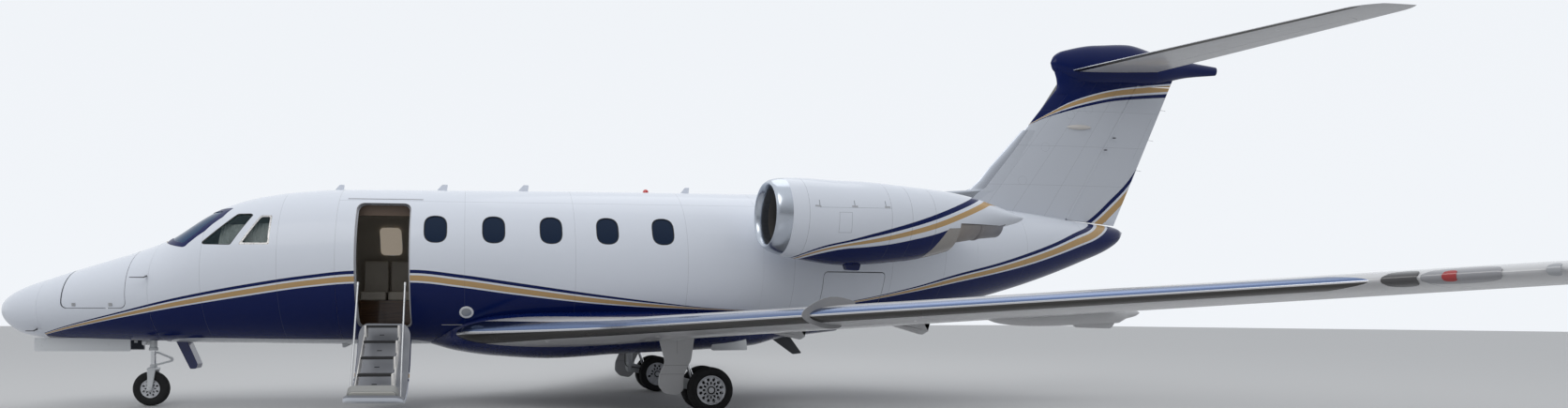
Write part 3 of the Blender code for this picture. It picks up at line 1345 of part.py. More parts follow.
def make_main_gear(side, hand):
    y = side * MAIN_Y
    axle = Vector((st(MAIN_AXLE), y, MAIN_AXLE_Z))
    x = st(MAIN_LEG)
    top = wing_height(MAIN_Y) - 0.05
    leg = rod_mesh("leg", (x, y, MAIN_LEG_FOOT), (x, y, top), 0.062, 16)
    leg = add(f"main_gear_leg_{hand}", leg, GEAR_WHITE)
    arm = [(x - 0.06, MAIN_LEG_FOOT + 0.03), (x - 0.03, MAIN_LEG_FOOT - 0.055)]
    arm += [(x + 0.08, MAIN_LEG_FOOT - 0.06), (axle.x + 0.01, axle.z - 0.05)]
    arm += [(axle.x + 0.05, axle.z), (axle.x + 0.01, axle.z + 0.05)]
    arm += [(x + 0.10, MAIN_LEG_FOOT + 0.07), (x, MAIN_LEG_FOOT + 0.08)]
    fuse(leg, cutter(f"trailing arm {hand}", prism_mesh("arm", arm, "Y", y - 0.045, y + 0.045)))
    shock = rod_mesh("shock", (x + 0.25, y, MAIN_LEG_FOOT), (x + 0.07, y, top - 0.06), 0.034, 12)
    fuse(leg, cutter(f"shock strut {hand}", shock))
    room = [(-0.1, 0.0), (-0.1, MAIN_AXLE_RADIUS + BEARING), (0.1, MAIN_AXLE_RADIUS + BEARING), (0.1, 0.0)]
    bore = turned_mesh("bore", flatted(room), axle, "Y", WHEEL_SIDES)
    cut(leg, cutter(f"axle bore {hand}", bore))
    wing_grown = cutter(f"wing over leg {hand}", wing_block(side))
    cut(leg, wing_grown)

    plate = [(st(s), z) for s, z in LEG_FAIRING]
    outer = y + side * 0.085
    low, high = sorted((outer, outer + side * 0.018))
    fairing = add(f"leg_fairing_{hand}", prism_mesh("fairing", plate, "Y", low, high), WING_WHITE)
    for k, z in enumerate((0.42, 0.72)):
        arm_low, arm_high = sorted((y + side * 0.0640, outer + side * 0.006))
        bracket = box_mesh("bracket", (x - 0.03, arm_low, z), (x + 0.03, arm_high, z + 0.04))
        fuse(fairing, cutter(f"fairing bracket {hand} {k}", bracket))
    cut(fairing, wing_grown)

    add(f"main_rims_{hand}", twin_rims_mesh(f"main_rims_{hand}", axle), RIM_METAL)
    for place, offset in (("inner", -side * MAIN_TWIN), ("outer", side * MAIN_TWIN)):
        middle = axle + Vector((0, offset, 0))
        tyre = tyre_mesh("tyre", middle, MAIN_TYRE_RADIUS, MAIN_RIM_RADIUS + GAP, MAIN_TYRE_WIDTH)
        add(f"main_tyre_{place}_{hand}", tyre, RUBBER)


def wing_block(side):
    """The wing near the gear leg, grown by the touching gap."""
    rings = []
    for y in (1.00, 1.30, 1.60, 1.90):
        ring = wing_ring(y, side)
        rings.append([(x, yy, z - GAP) for x, yy, z in ring])
    return loft_mesh("wing over leg", rings)


def make_all():
    make_radome()
    make_nose()
    make_flight_deck()
    cabin = make_cabin()
    tail_cone = make_rear_hull()
    make_inside()
    make_airstair(cabin)
    fairing_grown = make_fairing()
    make_tail(tail_cone)
    hull_rear = cutter("hull over pylon", hull_volume("hull over pylon", 9.3, 12.9, -GAP))
    for side, hand in ((-1, "port"), (1, "starboard")):
        make_wing(side, hand, fairing_grown)
        make_engine(side, hand, hull_rear)
        make_main_gear(side, hand)
    make_nose_gear()


def weld_all():
    """Merge the coincident corners that cutting leaves behind."""
    for piece in MODEL.objects:
        if piece.type == "MESH":
            piece.modifiers.new("Weld", "WELD").merge_threshold = 0.00002


clear_scene()
MODEL = collection("Business jet")
CUTTERS = collection("Cutters")
PAINT_WHITE = material("white paint", (0.82, 0.84, 0.88), 0.25)
PAINT_NAVY = material("navy paint", (0.01, 0.02, 0.11), 0.2)
WING_WHITE = material("light grey paint", (0.62, 0.62, 0.62), 0.35)
GLASS_SMOKED = material("smoked glass", (0.05, 0.07, 0.12), 0.1)
CARPET = material("carpet", (0.12, 0.11, 0.10), 0.95)
LEATHER = material("leather", (0.55, 0.52, 0.47), 0.5)
PANEL_BLACK = material("instrument black", (0.02, 0.02, 0.02), 0.5)
STEP_GREY = material("step grey", (0.55, 0.56, 0.58), 0.5, 0.5)
FAN_METAL = material("fan metal", (0.25, 0.26, 0.28), 0.35, 1.0)
ENGINE_METAL = material("engine metal", (0.3, 0.3, 0.3), 0.4, 1.0)
GEAR_WHITE = material("gear paint", (0.6, 0.61, 0.63), 0.4)
GEAR_STEEL = material("gear steel", (0.55, 0.55, 0.56), 0.3, 1.0)
RIM_METAL = material("rim metal", (0.6, 0.61, 0.63), 0.35, 0.8)
RUBBER = material("tyre rubber", (0.02, 0.02, 0.02), 0.8)
make_all()
weld_all()
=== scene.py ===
"""Finish of a twin engine business jet: skins, glass, cabin, gear and studio.

Metres, +Z up, nose towards -X, port side towards -Y. A station is the distance aft of the nose tip.
"""
import math

import bmesh
import bpy
import numpy as np
from bpy.props import FloatProperty, FloatVectorProperty, IntProperty, PointerProperty
from mathutils import Matrix, Vector


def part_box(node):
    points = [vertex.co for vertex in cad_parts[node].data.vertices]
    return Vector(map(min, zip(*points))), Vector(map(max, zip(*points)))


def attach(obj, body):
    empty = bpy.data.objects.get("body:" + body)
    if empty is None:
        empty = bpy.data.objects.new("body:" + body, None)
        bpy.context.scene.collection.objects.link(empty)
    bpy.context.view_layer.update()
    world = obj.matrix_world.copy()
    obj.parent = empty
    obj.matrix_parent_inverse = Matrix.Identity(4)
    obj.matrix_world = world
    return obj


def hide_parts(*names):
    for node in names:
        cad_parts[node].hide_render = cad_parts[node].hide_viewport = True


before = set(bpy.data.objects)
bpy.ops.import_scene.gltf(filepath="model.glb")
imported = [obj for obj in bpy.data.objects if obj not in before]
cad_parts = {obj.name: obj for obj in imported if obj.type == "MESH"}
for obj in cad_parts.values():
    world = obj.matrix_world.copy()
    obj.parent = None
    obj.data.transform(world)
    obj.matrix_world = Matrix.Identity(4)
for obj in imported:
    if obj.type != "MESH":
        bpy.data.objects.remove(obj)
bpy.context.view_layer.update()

bl_info = {
    "name": "Business jet finish",
    "version": (1, 0, 0),
    "blender": (4, 5, 0),
    "location": "View3D > Sidebar > Jet",
    "description": "Skins, glass, cabin, landing gear and studio of a business jet",
    "category": "Add Mesh",
}

TIP_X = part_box("radome")[0].x
SIDES = ((-1, "port"), (1, "starboard"))

# Hull frames: station, top, bottom, half width
HULL = np.array((
    (0.00, 1.235, 1.235, 0.000),
    (0.03, 1.325, 1.130, 0.125),
    (0.10, 1.400, 1.035, 0.235),
    (0.30, 1.515, 0.915, 0.385),
    (0.65, 1.640, 0.855, 0.515),
    (1.15, 1.805, 0.835, 0.635),
    (1.65, 1.965, 0.822, 0.735),
    (2.02, 2.110, 0.815, 0.800),
    (2.63, 2.500, 0.805, 0.890),
    (3.05, 2.655, 0.800, 0.940),
    (3.60, 2.750, 0.790, 0.985),
    (4.20, 2.795, 0.782, 1.010),
    (5.00, 2.805, 0.780, 1.020),
    (9.00, 2.830, 0.780, 1.020),
    (10.50, 2.830, 0.920, 0.960),
    (12.00, 2.800, 1.170, 0.800),
    (13.50, 2.670, 1.540, 0.560),
    (14.60, 2.520, 1.925, 0.330),
    (15.15, 2.450, 2.180, 0.170),
    (15.34, 2.375, 2.375, 0.000),
))
# Stations where the hull's sections end, from the radome to the tail cone
RADOME_END, NOSE_END, DECK_END, CABIN_END, REAR_END, TAIL_END = 0.62, 2.0, 4.2, 9.5, 12.6, 15.34
HULL_WALL, THIN_WALL = 0.070, 0.030
SEAM = 0.0015
TOUCH = 0.0004     # gap between skins of two nodes that touch
DOOR_WALL = -0.02  # share of the hull's ellipse within which a door's faces are lined

# Livery: the upper edge of the thin navy line, and the upper edge of the navy area
LINE_TOP = (
    (0.60, 0.935), (1.00, 1.041), (1.56, 1.175), (2.36, 1.368), (3.10, 1.510), (3.91, 1.633), (4.40, 1.685),
    (5.12, 1.701), (5.70, 1.645), (6.30, 1.562), (7.41, 1.409), (8.13, 1.322), (8.90, 1.245), (9.60, 1.215),
    (10.30, 1.270), (11.00, 1.385), (11.70, 1.540), (12.31, 1.711), (12.94, 1.865), (13.46, 2.020),
    (13.89, 2.165), (14.29, 2.325), (14.58, 2.430), (14.85, 2.600), (15.12, 2.839), (15.39, 3.090),
    (15.55, 3.291), (15.80, 3.700),
)
NAVY_TOP = (
    (0.60, 0.915), (0.98, 0.995), (1.54, 1.106), (2.34, 1.252), (3.10, 1.375), (3.90, 1.491), (4.39, 1.534),
    (5.11, 1.549), (5.70, 1.492), (6.30, 1.414), (7.42, 1.294), (8.14, 1.250), (8.90, 1.225), (9.60, 1.205),
    (10.30, 1.255), (11.00, 1.350), (11.84, 1.500), (12.35, 1.605), (12.98, 1.734), (13.50, 1.858),
    (13.97, 2.000), (14.35, 2.130), (14.66, 2.240), (14.97, 2.430), (15.34, 2.760), (15.80, 3.300),
)
BAND_SHARES = (0.27, 0.43, 0.87)
# Lower edge of the navy area
BELLY_EDGE = ((1.90, 0.700), (2.10, 0.850), (2.40, 0.872), (3.40, 0.858), (5.10, 0.838), (5.60, 0.700))

# Middles of the fin's round access covers: station and height
FIN_COVERS = ((14.48, 4.08), (14.77, 4.17), (14.08, 3.6), (13.72, 3.11))

# What every enamel of the hull, the cowls and the fin has in common
GLOSS = {"coat_weight": 0.12, "coat_roughness": 0.06, "specular_ior_level": 0.15}

ENGINE_Y = 1.60        # distance of each engine's cowl from the middle
WING_LAMP_Y = 7.43     # where the bare leading edge ends at the landing lamp
COWL_BAND_END = 11.42  # station where the cowl's bands end


# Surfaces

def station(x):
    """Distance aft of the nose tip."""
    return x - TIP_X


def at(s):
    """X coordinate of a station."""
    return s + TIP_X


def tangents(xs, ys):
    """Slopes of a smooth monotone cubic: weighted harmonic means of the slopes beside each point."""
    step = np.diff(xs)
    slope = np.diff(ys) / step
    made = np.zeros_like(ys)
    made[0], made[-1] = slope[0], slope[-1]
    before, after = slope[:-1], slope[1:]
    same = before * after > 0
    w1, w2 = 2 * step[1:] + step[:-1], step[1:] + 2 * step[:-1]
    safe_before, safe_after = np.where(same, before, 1.0), np.where(same, after, 1.0)
    made[1:-1] = np.where(same, (w1 + w2) / (w1 / safe_before + w2 / safe_after), 0.0)
    return made


def along(xs, ys, x):
    """Cubic through the points (xs, ys) with monotone slopes, at every x."""
    xs, ys, x = np.asarray(xs, float), np.asarray(ys, float), np.asarray(x, float)
    slopes = tangents(xs, ys)
    k = np.clip(np.searchsorted(xs, x) - 1, 0, len(xs) - 2)
    step = xs[k + 1] - xs[k]
    t = np.clip((x - xs[k]) / step, 0.0, 1.0)
    first = (2 * t ** 3 - 3 * t ** 2 + 1) * ys[k] + (t ** 3 - 2 * t ** 2 + t) * slopes[k] * step
    return first + (3 * t ** 2 - 2 * t ** 3) * ys[k + 1] + (t ** 3 - t ** 2) * slopes[k + 1] * step


def columns(table, s):
    """The columns of a table after its stations, each read at the stations s."""
    return [along(table[:, 0], column, s) for column in table.T[1:]]


def edge(table, s):
    """Heights at stations of an edge given by its points."""
    return along(*np.transpose(table), s)


def hull_frame(s):
    """Middle height, half height and half width of the hull at stations."""
    top, bottom, wide = columns(HULL, s)
    return (top + bottom) / 2, (top - bottom) / 2, wide


def hull_points(s, angle, inset=0.0):
    """Ellipses across the hull: y = wide cos a, z = middle + high sin a, drawn in by the inset."""
    s, angle = np.broadcast_arrays(s, angle)
    middle, high, wide = hull_frame(s)
    high, wide = np.maximum(high - inset, 0.0), np.maximum(wide - inset, 0.0)
    return np.stack((at(s), wide * np.cos(angle), middle + high * np.sin(angle)), -1)


def hull_y(s, z, inset=0.0):
    """Half width of the hull at stations and heights."""
    middle, high, wide = hull_frame(s)
    share = (z - middle) / (high - inset)
    return (wide - inset) * np.sqrt(np.clip(1 - share ** 2, 0.0, 1.0))


def hull_side(s, z, side, inset=0.0):
    """Points on the hull's side at stations and heights."""
    s, z = np.broadcast_arrays(s, z)
    return np.stack((at(s), side * hull_y(s, z, inset), z), -1)


def hull_field(points):
    """How far points lie off the hull's ellipses, as a share, and the outward direction there."""
    s = station(points[:, 0])

    def level(where):
        middle, high, wide = hull_frame(where)
        safe_high, safe_wide = np.maximum(high, 0.004), np.maximum(wide, 0.004)
        return (points[:, 1] / safe_wide) ** 2 + ((points[:, 2] - middle) / safe_high) ** 2 - 1

    small = 0.004
    middle, high, wide = hull_frame(s)
    slope = (level(s + small) - level(s - small)) / (2 * small)
    across = 2 * points[:, 1] / np.maximum(wide, 0.004) ** 2
    up = 2 * (points[:, 2] - middle) / np.maximum(high, 0.004) ** 2
    return level(s), np.stack((slope, across, up), -1)


def spread(low, high, step):
    """Evenly spaced values from low to high, no further apart than a step."""
    return np.linspace(low, high, max(2, int(math.ceil((high - low) / step)) + 1))


def turn(count, phase=0.0):
    """Angles once round a circle."""
    return 2 * np.pi * (np.arange(count) + phase) / count


# Shapes

class Shape:
    """Points and faces of a piece while it is put together. Adding two shapes lays them side by side."""

    def __init__(self, points=(), faces=()):
        self.points = np.asarray(points, float).reshape(-1, 3)
        self.faces = [list(face) for face in faces]

    def __add__(self, other):
        base = len(self.points)
        moved = [[k + base for k in face] for face in other.faces]
        joined = Shape(np.concatenate((self.points, other.points)))
        joined.faces = self.faces + moved
        return joined

    def __radd__(self, other):
        return self if other == 0 else NotImplemented

    def moved(self, matrix):
        """The shape after a 4 by 4 matrix."""
        turned = np.array(matrix, float)
        made = Shape(self.points @ turned[:3, :3].T + turned[:3, 3])
        made.faces = self.faces
        return made


def grid_faces(rows, columns, round_rows=False, round_columns=False):
    """Four sided faces between neighbours of a grid numbered row by row."""
    r = np.arange(rows if round_rows else rows - 1)[:, None]
    c = np.arange(columns if round_columns else columns - 1)[None, :]
    next_r, next_c = (r + 1) % rows, (c + 1) % columns
    corners = (r * columns + c, r * columns + next_c, next_r * columns + next_c, next_r * columns + c)
    return np.stack(np.broadcast_arrays(*corners), -1).reshape(-1, 4)


def loft(rings, closed=False):
    """A skin through rings of equal length, with flat ends or joined back to the first ring."""
    rings = np.asarray(rings, float)
    rows, columns = rings.shape[:2]
    faces = grid_faces(rows, columns, closed, True).tolist()
    if not closed:
        faces.append(list(range(columns))[::-1])
        faces.append(list(range((rows - 1) * columns, rows * columns)))
    return Shape(rings.reshape(-1, 3), faces)


def sheet(points, thickness):
    """A grid of points given a wall: a second grid lies a thickness behind it along the grid's normals."""
    points = np.asarray(points, float)
    rows, columns = points.shape[:2]
    down, right = np.gradient(points, axis=0), np.gradient(points, axis=1)
    normal = np.cross(down, right)
    normal /= np.maximum(np.linalg.norm(normal, axis=-1, keepdims=True), 1e-12)
    both = np.concatenate((points.reshape(-1, 3), (points - thickness * normal).reshape(-1, 3)))
    front = grid_faces(rows, columns)
    edge = np.concatenate((
        np.arange(columns), columns * np.arange(1, rows) + columns - 1,
        rows * columns - 2 - np.arange(columns - 1), columns * np.arange(rows - 2, 0, -1)))
    after = np.roll(edge, -1)
    size = rows * columns
    rim = np.stack((edge, edge + size, after + size, after), -1)
    return Shape(both, np.concatenate((front, front[:, ::-1] + size, rim)).tolist())


AXES = {"X": (2, 0, 1), "Y": (0, 2, 1), "Z": (0, 1, 2)}


def drawn_in(outline, amount):
    """An outline moved inwards by the same amount along every side."""
    outline = np.asarray(outline, float)
    ahead, behind = np.roll(outline, -1, 0) - outline, outline - np.roll(outline, 1, 0)
    ahead /= np.maximum(np.linalg.norm(ahead, axis=1, keepdims=True), 1e-12)
    behind /= np.maximum(np.linalg.norm(behind, axis=1, keepdims=True), 1e-12)
    area = np.sum(outline[:, 0] * np.roll(outline[:, 1], -1) - np.roll(outline[:, 0], -1) * outline[:, 1])
    side = 1.0 if area > 0 else -1.0
    middle = np.stack((-(ahead + behind)[:, 1], (ahead + behind)[:, 0]), -1) * side
    reach = np.maximum(1 + np.sum(ahead * behind, axis=1), 0.35)
    return outline + amount * middle / reach[:, None]


def plate(outline, axis, low, high, bevel=0.0):
    """A flat outline carried along X, Y or Z, with its edges eased by a bevel."""
    outline = np.asarray(outline, float)
    inner = drawn_in(outline, bevel) if bevel else outline
    levels = [(inner, low), (outline, low + bevel), (outline, high - bevel), (inner, high)]
    if not bevel:
        levels = [levels[0], levels[3]]
    order = AXES[axis]
    rings = []
    for ring, level in levels:
        full = np.column_stack((ring, np.full(len(ring), level)))
        rings.append(full[:, order])
    return loft(rings)


def cheek(outline, first, last, bevel=0.0):
    """A plate across the aircraft between two distances from its middle, in either order."""
    return plate(outline, "Y", *sorted((first, last)), bevel)


def side_view(outline, radius=0.0, count=5):
    """An outline of (station, height) as (x, height), with its corners softened by a radius."""
    placed = [(at(s), z) for s, z in outline]
    return softened(placed, radius, count) if radius else placed


def box(low, high, bevel=0.004):
    """A block with eased edges."""
    outline = ((low[0], low[1]), (high[0], low[1]), (high[0], high[1]), (low[0], high[1]))
    return plate(outline, "Z", low[2], high[2], bevel)


def rounded(width, height, radius, count=6, centre=(0.0, 0.0)):
    """A rectangle with round corners, each an arc of a given number of points."""
    corner = np.linspace(0, math.pi / 2, count)
    made = []
    for k, (u, v) in enumerate(((1, 1), (-1, 1), (-1, -1), (1, -1))):
        arc = corner + k * math.pi / 2
        made.append(np.stack((
            centre[0] + u * (width / 2 - radius) + radius * np.cos(arc),
            centre[1] + v * (height / 2 - radius) + radius * np.sin(arc)), -1))
    return np.concatenate(made)


def oval(width, height, power_u, power_v, count):
    """A rounded window outline: each of its axes follows a power of the circle's cosine and sine."""
    a = turn(count, 0.5)
    u = np.sign(np.cos(a)) * np.abs(np.cos(a)) ** (2 / power_u) * width / 2
    v = np.sign(np.sin(a)) * np.abs(np.sin(a)) ** (2 / power_v) * height / 2
    return np.stack((u, v), -1)


def turned(profile, centre, axis, count=48, closed=True):
    """A profile of (distance along the axis, radius) carried round an axis through a centre."""
    profile = np.asarray(profile, float)
    a = turn(count, 0.5)[:, None]
    far, radius = profile[None, :, 0] + 0 * a, profile[None, :, 1] + 0 * a
    first, second = radius * np.cos(a), radius * np.sin(a)
    parts = {"X": (far, first, second), "Y": (first, far, second), "Z": (first, second, far)}[axis]
    points = np.stack(parts, -1) + np.asarray(centre, float)
    return Shape(points.reshape(-1, 3), grid_faces(count, len(profile), True, closed))


def tube(path, radius, count=16):
    """A round bar along a path: circles stand square to the path's direction at every point."""
    path = np.asarray(path, float)
    run = np.gradient(path, axis=0)
    run /= np.linalg.norm(run, axis=1, keepdims=True)
    flattest = np.argmin(np.abs(run).max(axis=0))
    reference = np.eye(3)[flattest]
    first = np.cross(run, reference)
    first /= np.linalg.norm(first, axis=1, keepdims=True)
    second = np.cross(run, first)
    a = turn(count)
    radius = np.broadcast_to(np.asarray(radius, float), (len(path),))[:, None, None]
    around = np.cos(a)[None, :, None] * first[:, None] + np.sin(a)[None, :, None] * second[:, None]
    return loft(path[:, None] + radius * around)


def rod(start, end, radius, count=20, ease=0.0, end_radius=None, rings=2):
    """A straight round bar with eased ends, and rings along it for the rules that are read at its points."""
    start, end = np.asarray(start, float), np.asarray(end, float)
    far = radius if end_radius is None else end_radius
    length = np.linalg.norm(end - start)
    ease = max(min(ease, radius * 0.5, length * 0.3), 1e-5)
    share = np.linspace(ease / length, 1 - ease / length, rings)
    places = np.concatenate(((0.0,), share, (1.0,)))
    radii = np.concatenate(((radius - ease,), radius + (far - radius) * share, (far - ease,)))
    return tube(start + (end - start) * places[:, None], radii, count)


def as_mesh(name, shape):
    """A mesh of the shape with doubles merged and faces pointing out."""
    mesh = bpy.data.meshes.new(name)
    mesh.from_pydata(shape.points.tolist(), [], shape.faces)
    bm = bmesh.new()
    bm.from_mesh(mesh)
    bmesh.ops.remove_doubles(bm, verts=bm.verts, dist=2e-6)
    bmesh.ops.recalc_face_normals(bm, faces=bm.faces)
    bm.to_mesh(mesh)
    bm.free()
    return mesh


def vectors(parts, label):
    """One vector of every vertex or face, as rows."""
    values = np.zeros(len(parts) * 3)
    parts.foreach_get(label, values)
    return values.reshape(-1, 3)


def numbers(parts, label):
    """One whole number of every corner or face."""
    values = np.zeros(len(parts), np.int64)
    parts.foreach_get(label, values)
    return values


def from_mesh(mesh):
    """The shape that a mesh holds."""
    corners, starts = numbers(mesh.loops, "vertex_index"), numbers(mesh.polygons, "loop_start")
    made = Shape(vectors(mesh.vertices, "co"))
    made.faces = [list(part) for part in np.split(corners, starts[1:])] if len(starts) else []
    return made


def carved(shape, tool, operation="DIFFERENCE"):
    """The shape after cutting, keeping or joining another closed shape."""
    parts = {"blank": shape, "tool": tool}
    made = [bpy.data.objects.new(label, as_mesh(label, part)) for label, part in parts.items()]
    for thing in made:
        bpy.context.scene.collection.objects.link(thing)
    modifier = made[0].modifiers.new("Carve", "BOOLEAN")
    modifier.operation = operation
    modifier.solver = "EXACT"
    modifier.object = made[1]
    result = made[0].evaluated_get(bpy.context.evaluated_depsgraph_get())
    mesh = bpy.data.meshes.new_from_object(result)
    left = from_mesh(mesh)
    for thing in made:
        bpy.data.objects.remove(thing)
    bpy.data.meshes.remove(mesh)
    return left


def kept(shape, within, without=None):
    """What a shape has within one solid, and outside another where there is one."""
    inside = carved(shape, within, "INTERSECT")
    return inside if without is None else carved(inside, without)


def formula_normals(mesh, field, close=0.006):
    """Normals from a surface's formula on every face that lies on it. The others keep their own."""
    level, outward = field(vectors(mesh.vertices, "co"))
    outward /= np.maximum(np.linalg.norm(outward, axis=1, keepdims=True), 1e-12)
    corners, starts = numbers(mesh.loops, "vertex_index"), numbers(mesh.polygons, "loop_start")
    sizes = np.diff(np.append(starts, len(corners)))
    repeated = np.repeat(vectors(mesh.polygons, "normal"), sizes, axis=0)
    good = (np.abs(level[corners]) < close) & (np.sum(outward[corners] * repeated, axis=1) > 0.85)
    whole = np.repeat(np.logical_and.reduceat(good, starts), sizes)
    mesh.normals_split_custom_set(np.where(whole[:, None], outward[corners], 0.0).tolist())


def piece(name, shape, body, finish, replaces=(), smooth=35.0, field=None, marks=None):
    """A finished object of the aircraft on its body, with its place in its mesh."""
    mesh = as_mesh(name, shape)
    for label, rule in (marks or {}).items():
        values = rule(vectors(mesh.vertices, "co")).astype(np.float32)
        mesh.attributes.new(label, "FLOAT", "POINT").data.foreach_set("value", values)
    mesh.shade_smooth()
    mesh.set_sharp_from_angle(angle=math.radians(smooth))
    if field is not None:
        formula_normals(mesh, field)
    made = bpy.data.objects.new(name, mesh)
    bpy.context.scene.collection.objects.link(made)
    mesh.materials.append(finish)
    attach(made, body)
    if replaces:
        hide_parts(*replaces)
    return made


# Shader maths

def feed(tree, socket, value):
    """Give an input a link, a colour or a number."""
    if isinstance(value, Expr):
        tree.links.new(value.socket, socket)
    elif socket.type == "RGBA" and len(value) == 3:
        socket.default_value = (*value, 1.0)
    else:
        socket.default_value = value


class Expr:
    """An output socket that Python's operators work on: each operator adds one Math node."""

    def __init__(self, tree, socket):
        self.tree, self.socket = tree, socket

    def maths(self, operation, *values, clamp=False):
        node = self.tree.nodes.new("ShaderNodeMath")
        node.operation, node.use_clamp = operation, clamp
        for socket, value in zip(node.inputs, values):
            feed(self.tree, socket, value)
        return Expr(self.tree, node.outputs[0])

    def __add__(self, other):
        return self.maths("ADD", self, other)

    def __sub__(self, other):
        return self.maths("SUBTRACT", self, other)

    def __rsub__(self, other):
        return self.maths("SUBTRACT", other, self)

    def __mul__(self, other):
        return self.maths("MULTIPLY", self, other)

    def __truediv__(self, other):
        return self.maths("DIVIDE", self, other)

    def __abs__(self):
        return self.maths("ABSOLUTE", self)

    __radd__, __rmul__ = __add__, __mul__

    def above(self, edge):
        """1 where the value is greater than an edge, else 0."""
        return self.maths("GREATER_THAN", self, edge)

    def below(self, edge):
        return self.maths("LESS_THAN", self, edge)

    def largest(self, other):
        return self.maths("MAXIMUM", self, other)

    def clamped(self):
        return self.maths("ADD", self, 0.0, clamp=True)


class Finish:
    """A material under construction, with its Principled shader at hand."""

    def __init__(self, name, colour, roughness, metallic=0.0, **inputs):
        self.material = bpy.data.materials.new(name)
        self.material.use_nodes = True
        self.tree = self.material.node_tree
        self.shader = self.tree.nodes["Principled BSDF"]
        self.set(base_color=colour, roughness=roughness, metallic=metallic, **inputs)

    def set(self, **inputs):
        for label, value in inputs.items():
            words = [word if word == "of" else word.capitalize() for word in label.split("_")]
            feed(self.tree, self.shader.inputs[" ".join(words).replace("Ior", "IOR")], value)
        return self

    def node(self, kind, output=0, inputs=(), **settings):
        """Any other node: its settings by name, its inputs by label."""
        made = self.tree.nodes.new(kind)
        for label, value in settings.items():
            setattr(made, label, value)
        for label, value in dict(inputs).items():
            feed(self.tree, made.inputs[label], value)
        return Expr(self.tree, made.outputs[output])

    def spot(self):
        """The point that is shaded, in the aircraft's own frame."""
        return self.node("ShaderNodeTexCoord", "Object")

    def place(self):
        """Station, distance to starboard and height of the point that is shaded."""
        where = self.spot()
        split = self.tree.nodes.new("ShaderNodeSeparateXYZ")
        self.tree.links.new(where.socket, split.inputs[0])
        x, y, z = (Expr(self.tree, socket) for socket in split.outputs)
        return x - TIP_X, y, z

    def value(self, label):
        """A number that the mesh carries at its points."""
        return self.node("ShaderNodeAttribute", "Fac", attribute_name=label)

    def noise(self, scale, detail=3.0, rough=0.55):
        inputs = {"Vector": self.spot(), "Scale": scale, "Detail": detail, "Roughness": rough}
        return self.node("ShaderNodeTexNoise", "Fac", inputs)

    def streaks(self, stretch, scale, detail):
        """Noise drawn out by a factor along each axis."""
        s, y, z = (value * factor for value, factor in zip(self.place(), stretch))
        line = self.node("ShaderNodeCombineXYZ", 0, {"X": s, "Y": y, "Z": z})
        return self.node("ShaderNodeTexNoise", "Fac", {"Vector": line, "Scale": scale, "Detail": detail})

    def mix(self, share, first, second):
        """Colours blended by a share."""
        made = self.tree.nodes.new("ShaderNodeMix")
        made.data_type = "RGBA"
        feed(self.tree, made.inputs[0], share)
        feed(self.tree, made.inputs[6], first)
        feed(self.tree, made.inputs[7], second)
        return Expr(self.tree, made.outputs[2])

    def bump(self, height, distance, strength=1.0):
        bumped = self.node("ShaderNodeBump", 0, {"Height": height, "Distance": distance,
                                                 "Strength": strength})
        self.tree.links.new(bumped.socket, self.shader.inputs["Normal"])
        return self


def livery(finish, paints, shares, white=None):
    """Bands from white down to navy: a thin navy line, white, gold, white and the navy area."""
    level = finish.value("band")
    thin, gap, gold = shares
    white = paints.white if white is None else white
    colour = finish.mix(level.above(0.0), white, paints.navy)
    colour = finish.mix(level.above(thin), colour, paints.white)
    colour = finish.mix(level.above(gap), colour, paints.gold)
    colour = finish.mix(level.above(gold), colour, paints.white)
    return finish.mix(level.above(1.0), colour, paints.navy)


def seam_lines(value, places, half=0.0016):
    """1 within half a width of any of the places, else 0."""
    total = 0.0
    for place in places:
        total = abs(value - place).below(half) + total
    return total.clamped()


def hull_paint(paints):
    """Enamel with the livery's bands, a pale belly, thin skin seams and a little wear."""
    finish = Finish("hull enamel", paints.white, 0.2, **GLOSS)
    s, _, z = finish.place()
    colour = livery(finish, paints, BAND_SHARES)
    colour = finish.mix(finish.value("belly").above(0.0), colour, paints.belly)
    seams = seam_lines(s, (2.62, 3.52, 5.74, 7.10, 8.52, 9.92, 11.30, 12.10, 13.42, 14.42))
    seams = (seams + seam_lines(z, (2.58,)) * s.above(4.2) * s.below(12.6)).clamped()
    colour = finish.mix(seams * 0.45, colour, (0.10, 0.11, 0.13))
    wear = finish.noise(3.2) * 0.10 + finish.noise(38.0) * 0.04
    return finish.set(base_color=colour, roughness=wear + 0.13).material


def cowl_paint(paints):
    """Engine cowl: polished lip, white enamel with bands that sweep up, and a bare tail skirt below."""
    finish = Finish("cowl enamel", paints.white, 0.2, **GLOSS)
    s, y, z = finish.place()
    lip = s.below(9.475)
    bare = finish.value("bare").above(0.0)
    colour = livery(finish, paints, (0.26, 0.44, 0.72))
    seams = seam_lines(s, (9.66, 10.65, 10.91, 11.22))
    hatch = abs((abs(s - 10.085) - 0.075).largest(abs(z - 2.215) - 0.115)).below(0.0018)
    latches = seam_lines(s, (9.78, 10.20, 10.58), 0.005) * abs(z - 2.43).below(0.042)
    join = abs(z - 2.385).below(0.0018) * s.above(9.78) * s.below(10.65)
    marks = (seams + (hatch + latches + join) * abs(y).above(1.60)).clamped()
    colour = finish.mix(marks * 0.6, colour, (0.07, 0.08, 0.10))
    colour = finish.mix(bare, colour, (0.37, 0.35, 0.33))
    colour = finish.mix(lip, colour, (0.52, 0.56, 0.62))
    metal = (lip + bare).clamped()
    wear = finish.noise(4.0) * 0.12
    return finish.set(base_color=colour, metallic=metal * 0.95, roughness=wear + metal * 0.04
                      + 0.12).material


